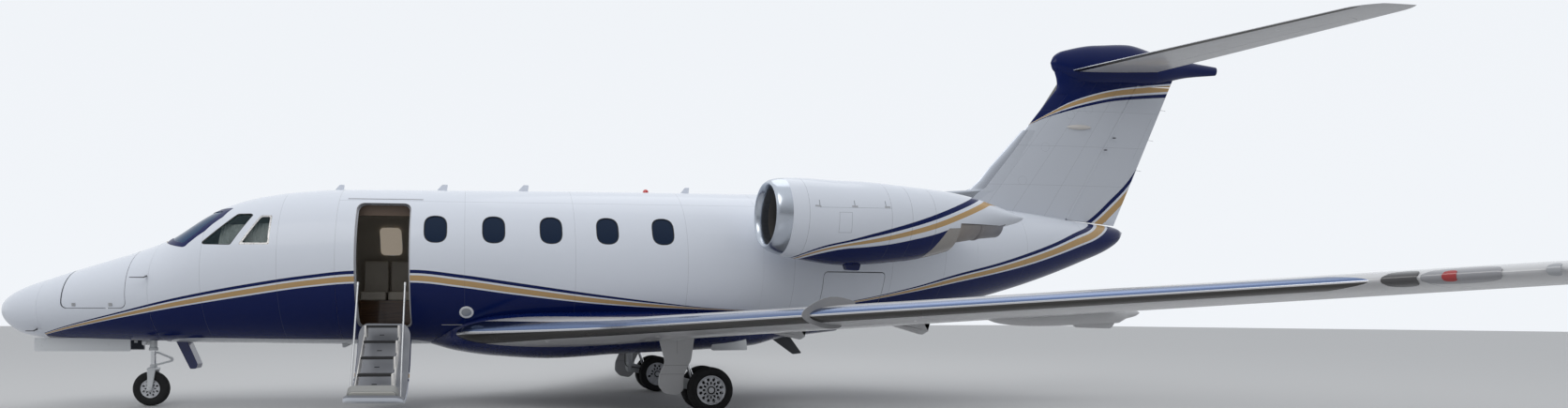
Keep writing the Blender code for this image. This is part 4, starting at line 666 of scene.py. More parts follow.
def fin_paint(paints):
    """Tail enamel: the hull's bands run up it and a second set runs along its top."""
    finish = Finish("fin enamel", paints.white, 0.2, **GLOSS)
    s, _, z = finish.place()
    edge = finish.value("edge")
    colour = livery(finish, paints, BAND_SHARES, tuple(0.80 * c for c in paints.white))
    seams = seam_lines(finish.value("chord"), (0.115, 0.30, 0.52), 0.0009)
    seams = (seams + seam_lines(z, (3.05, 3.62, 4.14))).clamped()
    for u, v in FIN_COVERS:
        squared = (s - u) * (s - u) + (z - v) * (z - v)
        seams = (seams + abs(squared - 0.0040).below(0.00016)).clamped()
    tab = (abs(s - 15.66 - (z - 3.77) * 0.508).below(0.0018)) * z.above(3.477) * z.below(4.067)
    colour = finish.mix((seams + tab).clamped() * 0.4, colour, (0.10, 0.11, 0.13))
    bare = edge.above(0.0)
    colour = finish.mix(bare, colour, (0.55, 0.58, 0.64))
    wear = finish.noise(3.5) * 0.12
    return finish.set(base_color=colour, metallic=bare * 0.95, roughness=wear + 0.14).material


def wing_paint(paints):
    """Pale grey enamel with bare polished leading edges, spanwise seams and chordwise joints."""
    finish = Finish("wing enamel", paints.wing, 0.3, coat_weight=0.3, coat_roughness=0.08)
    _, y, _ = finish.place()
    chord = finish.value("chord")
    bare = finish.value("edge").above(0.0)
    seams = seam_lines(chord, (0.155, 0.42, 0.62), 0.0008)
    joints = seam_lines(abs(y), (1.62, 2.90, 3.86, 5.42, 6.60, 7.72), 0.0018)
    lines = (seams + joints).clamped()
    grime = finish.noise(2.1) * finish.noise(9.0)
    colour = finish.mix(grime * 0.5, paints.wing, (0.40, 0.40, 0.41))
    colour = finish.mix(lines * 0.5, colour, (0.12, 0.12, 0.13))
    under = finish.value("under")
    polished = finish.mix(under.above(0.0), (0.13, 0.18, 0.31), (0.10, 0.095, 0.09))
    polished = finish.mix(abs(under).below(0.04), polished, (0.72, 0.72, 0.74))
    colour = finish.mix(bare, colour, polished)
    return finish.set(base_color=colour, metallic=bare * 0.96, roughness=finish.noise(5.0) * 0.16
                      + 0.16).material


def plain(name, colour, roughness, metallic=0.0, grain=0.0, size=0.0002, **inputs):
    """A single colour with uneven gloss, and a fine grain where it has one."""
    finish = Finish(name, colour, roughness, metallic, **inputs)
    shade = finish.noise(14.0)
    finish.set(roughness=shade * 0.16 + (roughness - 0.08))
    if grain:
        finish.bump(finish.noise(grain, 2.0), size)
    return finish.material


def glass_finish(name, colour, alpha, gloss=1.0):
    """Smoked glass: a dark clear sheet that still mirrors the room."""
    finish = Finish(name, colour, 0.03, 0.0, coat_weight=gloss, coat_roughness=0.02,
                    specular_ior_level=gloss * 0.5)
    haze = finish.noise(2.0) * 0.05
    return finish.set(alpha=haze + alpha).material


def lamp_finish(name, colour, power=0.0):
    finish = Finish(name, colour, 0.08, 0.0, coat_weight=1.0)
    glow = finish.noise(60.0) * 0.3 + 0.7
    finish.set(emission_color=colour, emission_strength=power)
    return finish.set(roughness=glow * 0.1).material


def leather_finish(name, colour):
    """Soft leather with pebbled grain and slightly darker creases."""
    finish = Finish(name, colour, 0.5)
    cells = finish.node("ShaderNodeTexVoronoi", "Distance", {"Vector": finish.spot(), "Scale": 420.0})
    shade = finish.mix(finish.noise(6.0) * 0.5, colour, tuple(c * 0.8 for c in colour))
    finish.set(base_color=shade, roughness=finish.noise(30.0) * 0.2 + 0.38)
    return finish.bump(cells, 0.0004).material


def wood_finish(name):
    """Dark polished veneer: long grain drawn out along the aircraft."""
    finish = Finish(name, (0.05, 0.02, 0.01), 0.2, 0.0, coat_weight=1.0, coat_roughness=0.05)
    grain = finish.streaks((2.0, 30.0, 30.0), 2.0, 6.0)
    return finish.set(base_color=finish.mix(grain, (0.16, 0.07, 0.03), (0.03, 0.012, 0.006))).material


def carpet_finish(name, colour):
    finish = Finish(name, colour, 0.95)
    pile = finish.noise(700.0, 2.0)
    finish.set(base_color=finish.mix(pile, colour, tuple(c * 0.5 for c in colour)))
    return finish.bump(pile, 0.002).material


def brushed(name, colour, roughness=0.3):
    """Metal with fine lines drawn along the aircraft."""
    finish = Finish(name, colour, roughness, 1.0)
    grain = finish.streaks((6.0, 160.0, 160.0), 2.0, 4.0)
    shade = finish.mix(grain, colour, tuple(c * 0.75 for c in colour))
    return finish.set(base_color=shade, roughness=grain * 0.15 + (roughness - 0.07)).material


def heated(name):
    """Exhaust metal: tan where it is hot at the rear, blue grey further on, with soot streaks."""
    finish = Finish(name, (0.4, 0.38, 0.35), 0.35, 1.0)
    s, _, _ = finish.place()
    share = ((s - 11.3) / 0.95).clamped()
    colour = finish.mix(share, (0.42, 0.36, 0.30), (0.30, 0.31, 0.35))
    colour = finish.mix(finish.noise(9.0) * 0.5, colour, (0.16, 0.14, 0.13))
    return finish.set(base_color=colour, roughness=finish.noise(20.0) * 0.25 + 0.22).material


def screens_finish(name):
    """Dark instrument screens with soft blue and green fields: nothing on them can be read."""
    finish = Finish(name, (0.01, 0.012, 0.015), 0.12, 0.0, coat_weight=1.0)
    clouds = finish.node("ShaderNodeTexNoise", "Fac", {"Vector": finish.spot(), "Scale": 9.0})
    field = abs(clouds - 0.5).above(0.08)
    colour = finish.mix(field, (0.02, 0.05, 0.09), (0.01, 0.02, 0.02))
    return finish.set(base_color=colour, emission_color=colour, emission_strength=0.6).material


# Values of the aircraft

class JetPaints(bpy.types.PropertyGroup):
    """Colours of the aircraft, as light values."""

    def shade(label, about, colour):
        return FloatVectorProperty(name=label, description=about, default=colour, subtype="COLOR", size=3,
                                   min=0.0, max=1.0)

    white: shade("White", "Enamel of the hull", (0.73, 0.765, 0.835))
    navy: shade("Navy", "Dark blue of the underside", (0.002, 0.010, 0.085))
    gold: shade("Gold", "Broad band of the livery", (0.52, 0.34, 0.16))
    belly: shade("Belly", "Pale grey below the navy", (0.55, 0.57, 0.60))
    wing: shade("Wing", "Enamel of the wings", (0.56, 0.56, 0.57))
    gear: shade("Gear", "Enamel of the landing gear", (0.66, 0.68, 0.70))
    leather: shade("Leather", "Seat leather", (0.50, 0.46, 0.40))
    lining: shade("Lining", "Panels inside the cabin", (0.48, 0.44, 0.38))


class JetSizes(bpy.types.PropertyGroup):
    """Sizes of the pieces, in metres unless they say otherwise."""

    def size(label, about, value):
        return FloatProperty(name=label, description=about, default=value, unit="LENGTH", precision=4)

    window_first: size("First window", "Station of the first port window", 5.386)
    window_pitch: size("Window pitch", "Distance between cabin windows", 0.707)
    window_width: size("Window width", "Width of a cabin window", 0.285)
    window_height: size("Window height", "Height of a cabin window", 0.350)
    window_z: size("Window height above ground", "Middle of the cabin windows", 2.205)
    door_front: size("Door front", "Station of the airstair's front edge", 4.425)
    door_rear: size("Door rear", "Station of the airstair's rear edge", 5.085)
    door_sill: size("Door sill", "Height of the doorway's foot", 1.005)
    door_top: size("Door top", "Height of the doorway's head", 2.545)
    floor_top: size("Floor", "Height of the cabin floor", 1.03)
    clear: size("Clearance", "Gap round each door", 0.006)
    engine_y: size("Engine offset", "Distance of each engine from the middle", ENGINE_Y)
    engine_z: size("Engine height", "Height of the fan's axis", 2.28)
    port_windows: IntProperty(name="Port windows", description="Cabin windows on the port side", default=5,
                              min=1)
    starboard_windows: IntProperty(name="Starboard windows",
                                   description="Cabin windows on the starboard side", default=6, min=1)
    fan_blades: IntProperty(name="Fan blades", description="Blades of each fan", default=24, min=3)


class Piecework:
    """What the operators of the aircraft share."""

    bl_options = {"REGISTER", "UNDO"}

    def execute(self, context):
        made = self.build(context.scene.jet_sizes, context.scene.jet_paints)
        if not made:
            self.report({"ERROR"}, f"{self.bl_label}: nothing was made")
            return {"CANCELLED"}
        return {"FINISHED"}


# Hull

def hull_shell(low, high, inset=0.0, wall=HULL_WALL, step=0.055, around=96):
    """A length of hull wall: rings outside from front to rear, then inside from rear to front."""
    rows = spread(low, high, step)
    angle = turn(around, 0.5)
    outside = hull_points(rows[:, None], angle[None, :], inset)
    inside = hull_points(rows[::-1, None], angle[None, :], inset + wall)
    return loft(np.concatenate((outside, inside)), closed=True)


def hull_solid(low, high, inset=0.0, step=0.1, around=96):
    """The filled hull between two stations."""
    rows = spread(low, high, step)
    return loft(hull_points(rows[:, None], turn(around, 0.5)[None, :], inset))


def band_rule(points):
    """Share of the way down from the thin line's top to the navy area's top."""
    s, z = station(points[:, 0]), points[:, 2]
    top, navy = edge(LINE_TOP, s), edge(NAVY_TOP, s)
    front = np.clip((0.60 - s) / 0.1, 0.0, 1.0)
    return (top - z) / (top - navy) - 40 * front


def belly_rule(points):
    """Above 0 under the lower edge of the navy area."""
    return edge(BELLY_EDGE, station(points[:, 0])) - points[:, 2]


HULL_MARKS = {"band": band_rule, "belly": belly_rule}


def side_prism(outline, side, near=0.45, far=1.30):
    """An outline of (station, height) carried outwards on one side."""
    return cheek(side_view(outline), side * near, side * far)


def bay_outline(grow):
    """Nose bay door in side view, open upwards as far as its hinge line."""
    front, rear, foot, high, r = 0.93 - grow, 1.73 + grow, 1.235 - grow, 2.2, 0.07
    corner = np.linspace(0, math.pi / 2, 7)
    made = [(front, high)]
    made += [(front + r - r * math.cos(a), foot + r - r * math.sin(a)) for a in corner]
    made += [(rear - r + r * math.sin(a), foot + r - r * math.cos(a)) for a in corner]
    return made + [(rear, high)]


def door_outline(sizes, grow, foot=0.06):
    """Rounded doorway in side view: its lower corners have their own radius."""
    front, rear = sizes.door_front - grow, sizes.door_rear + grow
    low, high = sizes.door_sill - grow, sizes.door_top + grow
    made = []
    arc = np.linspace(0, math.pi / 2, 8)
    for k, (s, z, r) in enumerate(((rear, high, 0.09), (front, high, 0.09), (front, low, foot),
                                   (rear, low, foot))):
        turned_arc = arc + k * math.pi / 2
        u, v = ((1, 1), (-1, 1), (-1, -1), (1, -1))[k]
        made += [(s - u * r + r * math.cos(a), z - v * r + r * math.sin(a)) for a in turned_arc]
    return made


def door_prism(sizes, grow, foot=0.06, near=0.30):
    """The doorway's outline carried out through the port side."""
    return side_prism(door_outline(sizes, grow, foot), -1, near)


def door_shell(inset, wall):
    """A finely stepped length of hull wall about the doorway."""
    return hull_shell(4.38, 5.13, inset, wall, 0.02, 160)


def baggage_outline(grow):
    """Baggage door in side view."""
    (front, foot), (rear, top) = (10.32, 1.22), (11.20, 1.72)
    return rounded(0.88 + 2 * grow, 0.50 + 2 * grow, 0.06, 7, ((front + rear) / 2, (foot + top) / 2))


def window_places(sizes, side):
    """Stations of the cabin windows of one side."""
    count, first = (sizes.port_windows, 0) if side < 0 else (sizes.starboard_windows, -1)
    return [sizes.window_first + sizes.window_pitch * (k + first) for k in range(count)]


def window_prisms(sizes, side, grow=0.0):
    outline = oval(sizes.window_width + 2 * grow, sizes.window_height + 2 * grow, 2.3, 3.4, 40)
    return sum(side_prism(outline + np.array((s, sizes.window_z)), side) for s in window_places(sizes, side))


# Flight deck panes: half of the front one seen from ahead, the others in side view
PANES = {
    "front": ((0.035, 2.105), (0.36, 2.065), (0.745, 1.967), (0.704, 2.170), (0.60, 2.360), (0.47, 2.485),
              (0.30, 2.490), (0.035, 2.490)),
    "side": ((2.63, 2.000), (2.97, 1.990), (3.195, 2.370), (3.165, 2.392), (2.995, 2.392), (2.615, 2.030)),
    "rear": ((3.065, 1.995), (3.430, 1.995), (3.430, 2.365), (3.290, 2.365)),
}


def softened(outline, radius=0.022, count=5):
    """An outline with each corner replaced by a short curve between its two sides."""
    outline = np.asarray(outline, float)
    made = []
    for before, corner, after in zip(np.roll(outline, 1, 0), outline, np.roll(outline, -1, 0)):
        first, last = before - corner, after - corner
        first *= min(radius, np.linalg.norm(first) * 0.45) / np.linalg.norm(first)
        last *= min(radius, np.linalg.norm(last) * 0.45) / np.linalg.norm(last)
        for t in np.linspace(0, 1, count):
            made.append(corner + first * (1 - t) ** 2 + last * t ** 2)
    return np.array(made)


def pane_prisms(grow, kind):
    """One kind of flight deck opening on both halves: the front one runs aft, the others outwards."""
    outline = softened(drawn_in(PANES[kind], -grow))
    if kind == "front":
        return sum(plate(outline * (side, 1.0), "X", at(1.80), at(2.95 + grow)) for side, _ in SIDES)
    return sum(side_prism(outline, side) for side, _ in SIDES)


def hull_skin(name, shape, body, node, enamel, inside, depth=-0.045):
    """A part of the hull: enamel outside and a lining on faces whose middle lies within the wall."""
    made = piece(name, shape, body, enamel, (node,), field=hull_field, marks=HULL_MARKS)
    made.data.materials.append(inside)
    level, _ = hull_field(vectors(made.data.polygons, "center"))
    made.data.polygons.foreach_set("material_index", (level < depth).astype(np.int32))


class JET_OT_hull(Piecework, bpy.types.Operator):
    """Make the painted hull skins with their openings"""
    bl_idname = "jet.hull"
    bl_label = "Hull skins"

    def build(self, sizes, paints):
        enamel = hull_paint(paints)
        lining = plain("cabin lining", paints.lining, 0.6)
        grey = plain("radome enamel", (0.60, 0.63, 0.68), 0.25, coat_weight=0.4)
        tip = spread(0.0, 1.0, 0.04) ** 2 * (RADOME_END - SEAM)
        radome = loft(hull_points(tip[:, None], turn(96, 0.5)[None, :]))
        piece("radome_skin", radome, "root", enamel, ("radome",), field=hull_field,
              marks=HULL_MARKS)

        nose = hull_shell(RADOME_END, NOSE_END - SEAM, 0.0, 0.045)
        nose = carved(nose, box((at(0.67), -0.195, 0.60), (at(2.20), 0.195, 1.12), 0.0))
        for side, _ in SIDES:
            nose = carved(nose, side_prism(bay_outline(0.0), side, 0.16, 1.2))
        hull_skin("nose_skin", nose, "root", "nose_shell", enamel, grey)

        deck = hull_shell(NOSE_END, DECK_END - SEAM)
        for kind in PANES:
            deck = carved(deck, pane_prisms(0.0, kind))
        hull_skin("flight_deck_skin", deck, "root", "flight_deck_shell", enamel, lining)

        cabin = hull_shell(DECK_END, CABIN_END - SEAM)
        for side, _ in SIDES:
            cabin = carved(cabin, window_prisms(sizes, side))
        cabin = carved(cabin, door_prism(sizes, 0.0))
        hull_skin("cabin_skin", cabin, "root", "cabin_shell", enamel, lining)

        rear = hull_shell(CABIN_END, REAR_END - SEAM, 0.0, THIN_WALL)
        rear = carved(rear, side_prism(baggage_outline(0.0), -1, 0.35))
        hull_skin("rear_skin", rear, "root", "rear_fuselage", enamel, grey)

        rows = REAR_END + (TAIL_END - REAR_END) * (1 - (1 - spread(0.0, 1.0, 0.022)) ** 1.5)
        cone = loft(hull_points(rows[:, None], turn(96, 0.5)[None, :]))
        piece("tail_cone_skin", cone, "root", enamel, ("tail_cone",), field=hull_field,
              marks=HULL_MARKS)
        return True


class JET_OT_windows(Piecework, bpy.types.Operator):
    """Make the window panes, their seals and their inner rims"""
    bl_idname = "jet.windows"
    bl_label = "Windows"

    def build(self, sizes, paints):
        smoked = glass_finish("smoked glass", (0.004, 0.016, 0.045), 0.94, 0.2)
        tinted = glass_finish("windshield glass", (0.006, 0.050, 0.130), 0.93, 0.15)
        clear = glass_finish("side window glass", (0.020, 0.045, 0.052), 0.26, 0.3)
        rubber = plain("window seal", (0.02, 0.02, 0.022), 0.6)
        rim = plain("window rim", (0.62, 0.63, 0.65), 0.3, 0.6)
        for side, hand in SIDES:
            ends = window_places(sizes, side)
            low, high = ends[0] - 0.24, ends[-1] + 0.24

            def prisms(grow):
                return window_prisms(sizes, side, grow)

            panes = kept(hull_shell(low, high, 0.009, 0.006), prisms(-0.009))
            self.pane(f"cabin_panes_{hand}", panes, smoked, (f"cabin_glass_{hand}",))
            ring = kept(hull_shell(low, high, 0.0008, 0.020), prisms(-0.001), prisms(-0.010))
            piece(f"cabin_seals_{hand}", ring, "root", rubber)
            inner = kept(hull_shell(low, high, HULL_WALL, 0.012), prisms(0.018), prisms(-0.012))
            piece(f"cabin_window_trim_{hand}", inner, "root", rim)
        navy = plain("windshield frame", paints.navy, 0.3, specular_ior_level=0.15)
        studded = self.studded()
        for kind, glass, frame_finish, width in (("front", tinted, navy, 0.042),
                                                 ("side", clear, rubber, 0.008),
                                                 ("rear", clear, studded, 0.022)):
            panes = kept(hull_shell(2.1, 3.6, 0.007, 0.008), pane_prisms(-0.009, kind))
            nodes = ("flight_deck_glass",) if kind == "front" else ()
            self.pane(f"flight_deck_panes_{kind}", panes, glass, nodes)
            shell = hull_shell(2.1, 3.6, 0.0008, 0.0058)
            ring = kept(shell, pane_prisms(-0.001, kind), pane_prisms(-width, kind))
            piece(f"flight_deck_frames_{kind}", ring, "root", frame_finish)
        self.blinds()
        return True

    def studded(self):
        """Bright frame with a row of small dark screws."""
        finish = Finish("studded frame", (0.60, 0.60, 0.62), 0.35, 0.5)
        cells = finish.node("ShaderNodeTexVoronoi", "Distance", {"Vector": finish.spot(), "Scale": 55.0})
        dots = cells.below(0.30)
        return finish.set(base_color=finish.mix(dots, (0.62, 0.61, 0.60), (0.10, 0.08, 0.07))).material

    def blinds(self):
        """Pleated blinds behind the side panes: sheets whose depth follows a sine along the aircraft."""
        cloth = Finish("blind cloth", (0.42, 0.48, 0.45), 0.9)
        shade = cloth.mix(cloth.noise(26.0), (0.80, 0.88, 0.84), (0.30, 0.36, 0.35))
        cloth.set(base_color=shade)
        for side, hand in SIDES:
            made = Shape()
            for low, high, top in ((2.80, 3.10, 2.26), (3.10, 3.40, 2.27)):
                s = spread(low, high, 0.004)[None, :]
                z = spread(1.975, top, 0.02)[:, None]
                inset = 0.088 + 0.006 * np.sin(s * 150) + 0.004 * np.sin(s * 61 + z * 20)
                y = hull_y(*np.broadcast_arrays(s, z), inset)
                made += sheet(block_grid(at(s), side * y, z), 0.0015)
            piece(f"flight_deck_blinds_{hand}", made, "root", cloth.material, smooth=60)

    def pane(self, name, shape, finish, nodes):
        made = piece(name, shape, "root", finish, nodes)
        formula_normals(made.data, hull_field, 0.03)


# Doors

def about(pos, axis, degrees):
    """Turning about an axis through a point, as a matrix."""
    to = Matrix.Translation(Vector(pos))
    return to @ Matrix.Rotation(math.radians(degrees), 4, Vector(axis)) @ to.inverted()


STAIR_OPEN = 119.0


def open_door(sizes):
    """From the shut airstair door to its resting place."""
    return about(door_foot(sizes), (1, 0, 0), STAIR_OPEN)


def door_foot(sizes):
    """Middle of the airstair's hinge."""
    middle, low = at((sizes.door_front + sizes.door_rear) / 2), sizes.door_sill
    return middle, -float(hull_y(4.75, low)), low


class JET_OT_doors(Piecework, bpy.types.Operator):
    """Make the airstair door with its steps, the nose bay doors and the baggage door"""
    bl_idname = "jet.doors"
    bl_label = "Doors and airstair"

    def build(self, sizes, paints):
        enamel = hull_paint(paints)
        grey = plain("door lining", (0.33, 0.34, 0.37), 0.55, grain=300.0)
        for side, hand in SIDES:
            shape = kept(hull_shell(0.85, 1.85, 0.0, THIN_WALL), side_prism(self.bay(), side, 0.166, 1.2))
            door = f"nose_bay_door_{hand}"
            hull_skin(f"nose_bay_skin_{hand}", shape, door, door, enamel, grey, DOOR_WALL)
            self.catches(side, hand)
        outline = baggage_outline(-sizes.clear)
        outline[:, 1] = np.minimum(outline[:, 1], 1.709)
        shape = kept(hull_shell(10.2, 11.3, 0.0, THIN_WALL), side_prism(outline, -1, 0.35))
        hull_skin("baggage_skin", shape, "baggage_door", "baggage_door", enamel, grey, DOOR_WALL)
        self.airstair(sizes, enamel, grey)
        return True

    def bay(self):
        outline = np.array(bay_outline(-0.006))
        outline[outline[:, 0] < 1.0, 0] += 0.010
        return outline

    def catches(self, side, hand):
        """Two flush latches along each nose bay door's lower edge."""
        metal = brushed("latch metal", (0.55, 0.56, 0.58))
        made = Shape()
        for s in (1.10, 1.55):
            heights, stations = np.linspace(1.262, 1.300, 4), np.linspace(s - 0.022, s + 0.022, 5)
            made += sheet(hull_side(stations[None, :], heights[:, None], side, -0.0012), 0.004)
        piece(f"nose_bay_latches_{hand}", made, f"nose_bay_door_{hand}", metal)

    def airstair(self, sizes, enamel, grey):
        """Door skin, lined inside, with four boxed steps, side plates, rails and a foot pad."""
        swing = open_door(sizes)
        back = np.array(swing.inverted())

        def shut(rule):
            return lambda points: rule(points @ back[:3, :3].T + back[:3, 3])

        middle, y, z = door_foot(sizes)
        skin = kept(door_shell(0.0, 0.028), door_prism(sizes, -sizes.clear, 0.12))
        marks = {label: shut(rule) for label, rule in HULL_MARKS.items()}
        piece("airstair_skin", skin.moved(swing), "airstair", enamel, ("airstair_door",),
              field=lambda points: self.turned_field(points, back), marks=marks)
        lining = kept(door_shell(0.0285, 0.022), door_prism(sizes, -0.016, 0.11))
        piece("airstair_lining", lining.moved(swing), "airstair", grey)

        silver = brushed("stair alloy", (0.62, 0.63, 0.64), 0.35)
        pale = plain("stair enamel", (0.84, 0.82, 0.79), 0.45, grain=500.0, size=0.0005)
        tread_black = plain("anti slip tread", (0.03, 0.03, 0.032), 0.85, grain=900.0, size=0.0008)
        half, deep_tread, tall_riser = 0.215, 0.19, 0.145
        steps, treads = Shape(), Shape()
        swung = math.radians(STAIR_OPEN)
        level = np.array((-math.cos(swung), math.sin(swung)))
        down = np.array((-level[1], level[0]))
        for k in range(4):
            nose = np.array((y + 0.195 - 0.034 * k, sizes.door_sill + 0.298 + 0.305 * k))
            heel, foot = nose - level * deep_tread, nose + down * tall_riser
            riser = (nose + down * 0.030, foot, foot - level * 0.012, nose + down * 0.030 - level * 0.012)
            riser = softened(riser, 0.003, 3)
            steps += plate(riser, "X", middle - half + 0.006, middle + half - 0.006, 0.002)
            tread = (heel, nose - level * 0.004, nose - level * 0.004 + down * 0.029, heel + down * 0.029)
            treads += plate(tread, "X", middle - half + 0.030, middle + half - 0.030)
            for way in (-1, 1):
                low, high = sorted((middle + way * (half - 0.030), middle + way * (half - 0.006)))
                end = softened((heel, nose, foot, heel + down * tall_riser), 0.008, 3)
                steps += plate(end, "X", low, high, 0.002)
            lamp = (nose + down * 0.110, nose + down * 0.120, nose + down * 0.120 + level * 0.004,
                    nose + down * 0.110 + level * 0.004)
            treads += plate(lamp, "X", middle - 0.028, middle + 0.028)
        for side in (-1, 1):
            low, high = sorted((middle + side * (half - 0.012), middle + side * (half - 0.001)))
            profile = ((y - 0.02, 1.215), (y + 0.10, 1.235), (y - 0.02, 2.36), (y - 0.15, 2.36))
            steps += plate(softened(profile, 0.03, 4), "X", low, high, 0.002)
        trim = hull_solid(4.38, 5.13, 0.0505)
        steps = kept(steps, trim)
        piece("stair_boxes", steps.moved(swing), "airstair", pale, ("airstair_steps",))
        piece("stair_treads", treads.moved(swing), "airstair", tread_black)

        rails = Shape()
        for s in (sizes.door_front + 0.054, sizes.door_rear - 0.054):
            foot, top = np.array((at(s), y - 0.215, z + 1.27)), np.array((at(s), y + 0.66, z + 0.085))
            bow = np.array((0.0, 0.03, -0.02))
            t = np.linspace(0, 1, 20)[:, None]
            rails += tube(foot + (top - foot) * t + bow * np.sin(np.pi * t), 0.0125, 16)
            rails += rod(foot + (0, -0.015, 0.005), foot + (0, 0.03, -0.01), 0.024, 20, 0.004)
            rails += rod(top - (top - foot) * 0.03, top + (top - foot) * 0.004, 0.016, 16, 0.003)
        piece("stair_rails", rails.moved(swing), "airstair", silver)

        end = rounded(0.556, 0.21, 0.075, 9, (middle, y - 0.055))
        pad = kept(plate(end, "Z", 2.37, 2.498, 0.010), trim)
        piece("stair_pad", pad.moved(swing), "airstair", plain("pad rim", (0.30, 0.30, 0.29), 0.6))
        inset = plate(rounded(0.50, 0.105, 0.045, 9, (middle, y - 0.010)), "Z", 2.496, 2.503, 0.002)
        pale_pad = plain("pad face", (0.56, 0.55, 0.51), 0.7, grain=420.0, size=0.0005)
        piece("stair_pad_face", inset.moved(swing), "airstair", pale_pad)

    def turned_field(self, points, back):
        level, outward = hull_field(points @ back[:3, :3].T + back[:3, 3])
        return level, outward @ back[:3, :3]


# Cabin

def cushion(low, high, lean=0.0):
    """A padded block with its edges rounded, leaning back by an angle."""
    made = bpy.data.meshes.new("cushion")
    bm = bmesh.new()
    bmesh.ops.create_cube(bm, size=1.0)
    size = Vector(high) - Vector(low)
    bmesh.ops.scale(bm, vec=size, verts=bm.verts)
    bmesh.ops.bevel(bm, geom=bm.edges[:], offset=min(size) * 0.22, segments=3, profile=0.6, affect="EDGES")
    bmesh.ops.rotate(bm, matrix=Matrix.Rotation(lean, 3, "Y"), verts=bm.verts)
    bmesh.ops.translate(bm, vec=(Vector(high) + Vector(low)) / 2, verts=bm.verts)
    bm.to_mesh(made)
    bm.free()
    return made


def padded_piece(name, mesh, leather):
    """A cushion as an object of the cabin."""
    mesh.materials.append(leather)
    made = bpy.data.objects.new(name, mesh)
    bpy.context.scene.collection.objects.link(made)
    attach(made, "root")


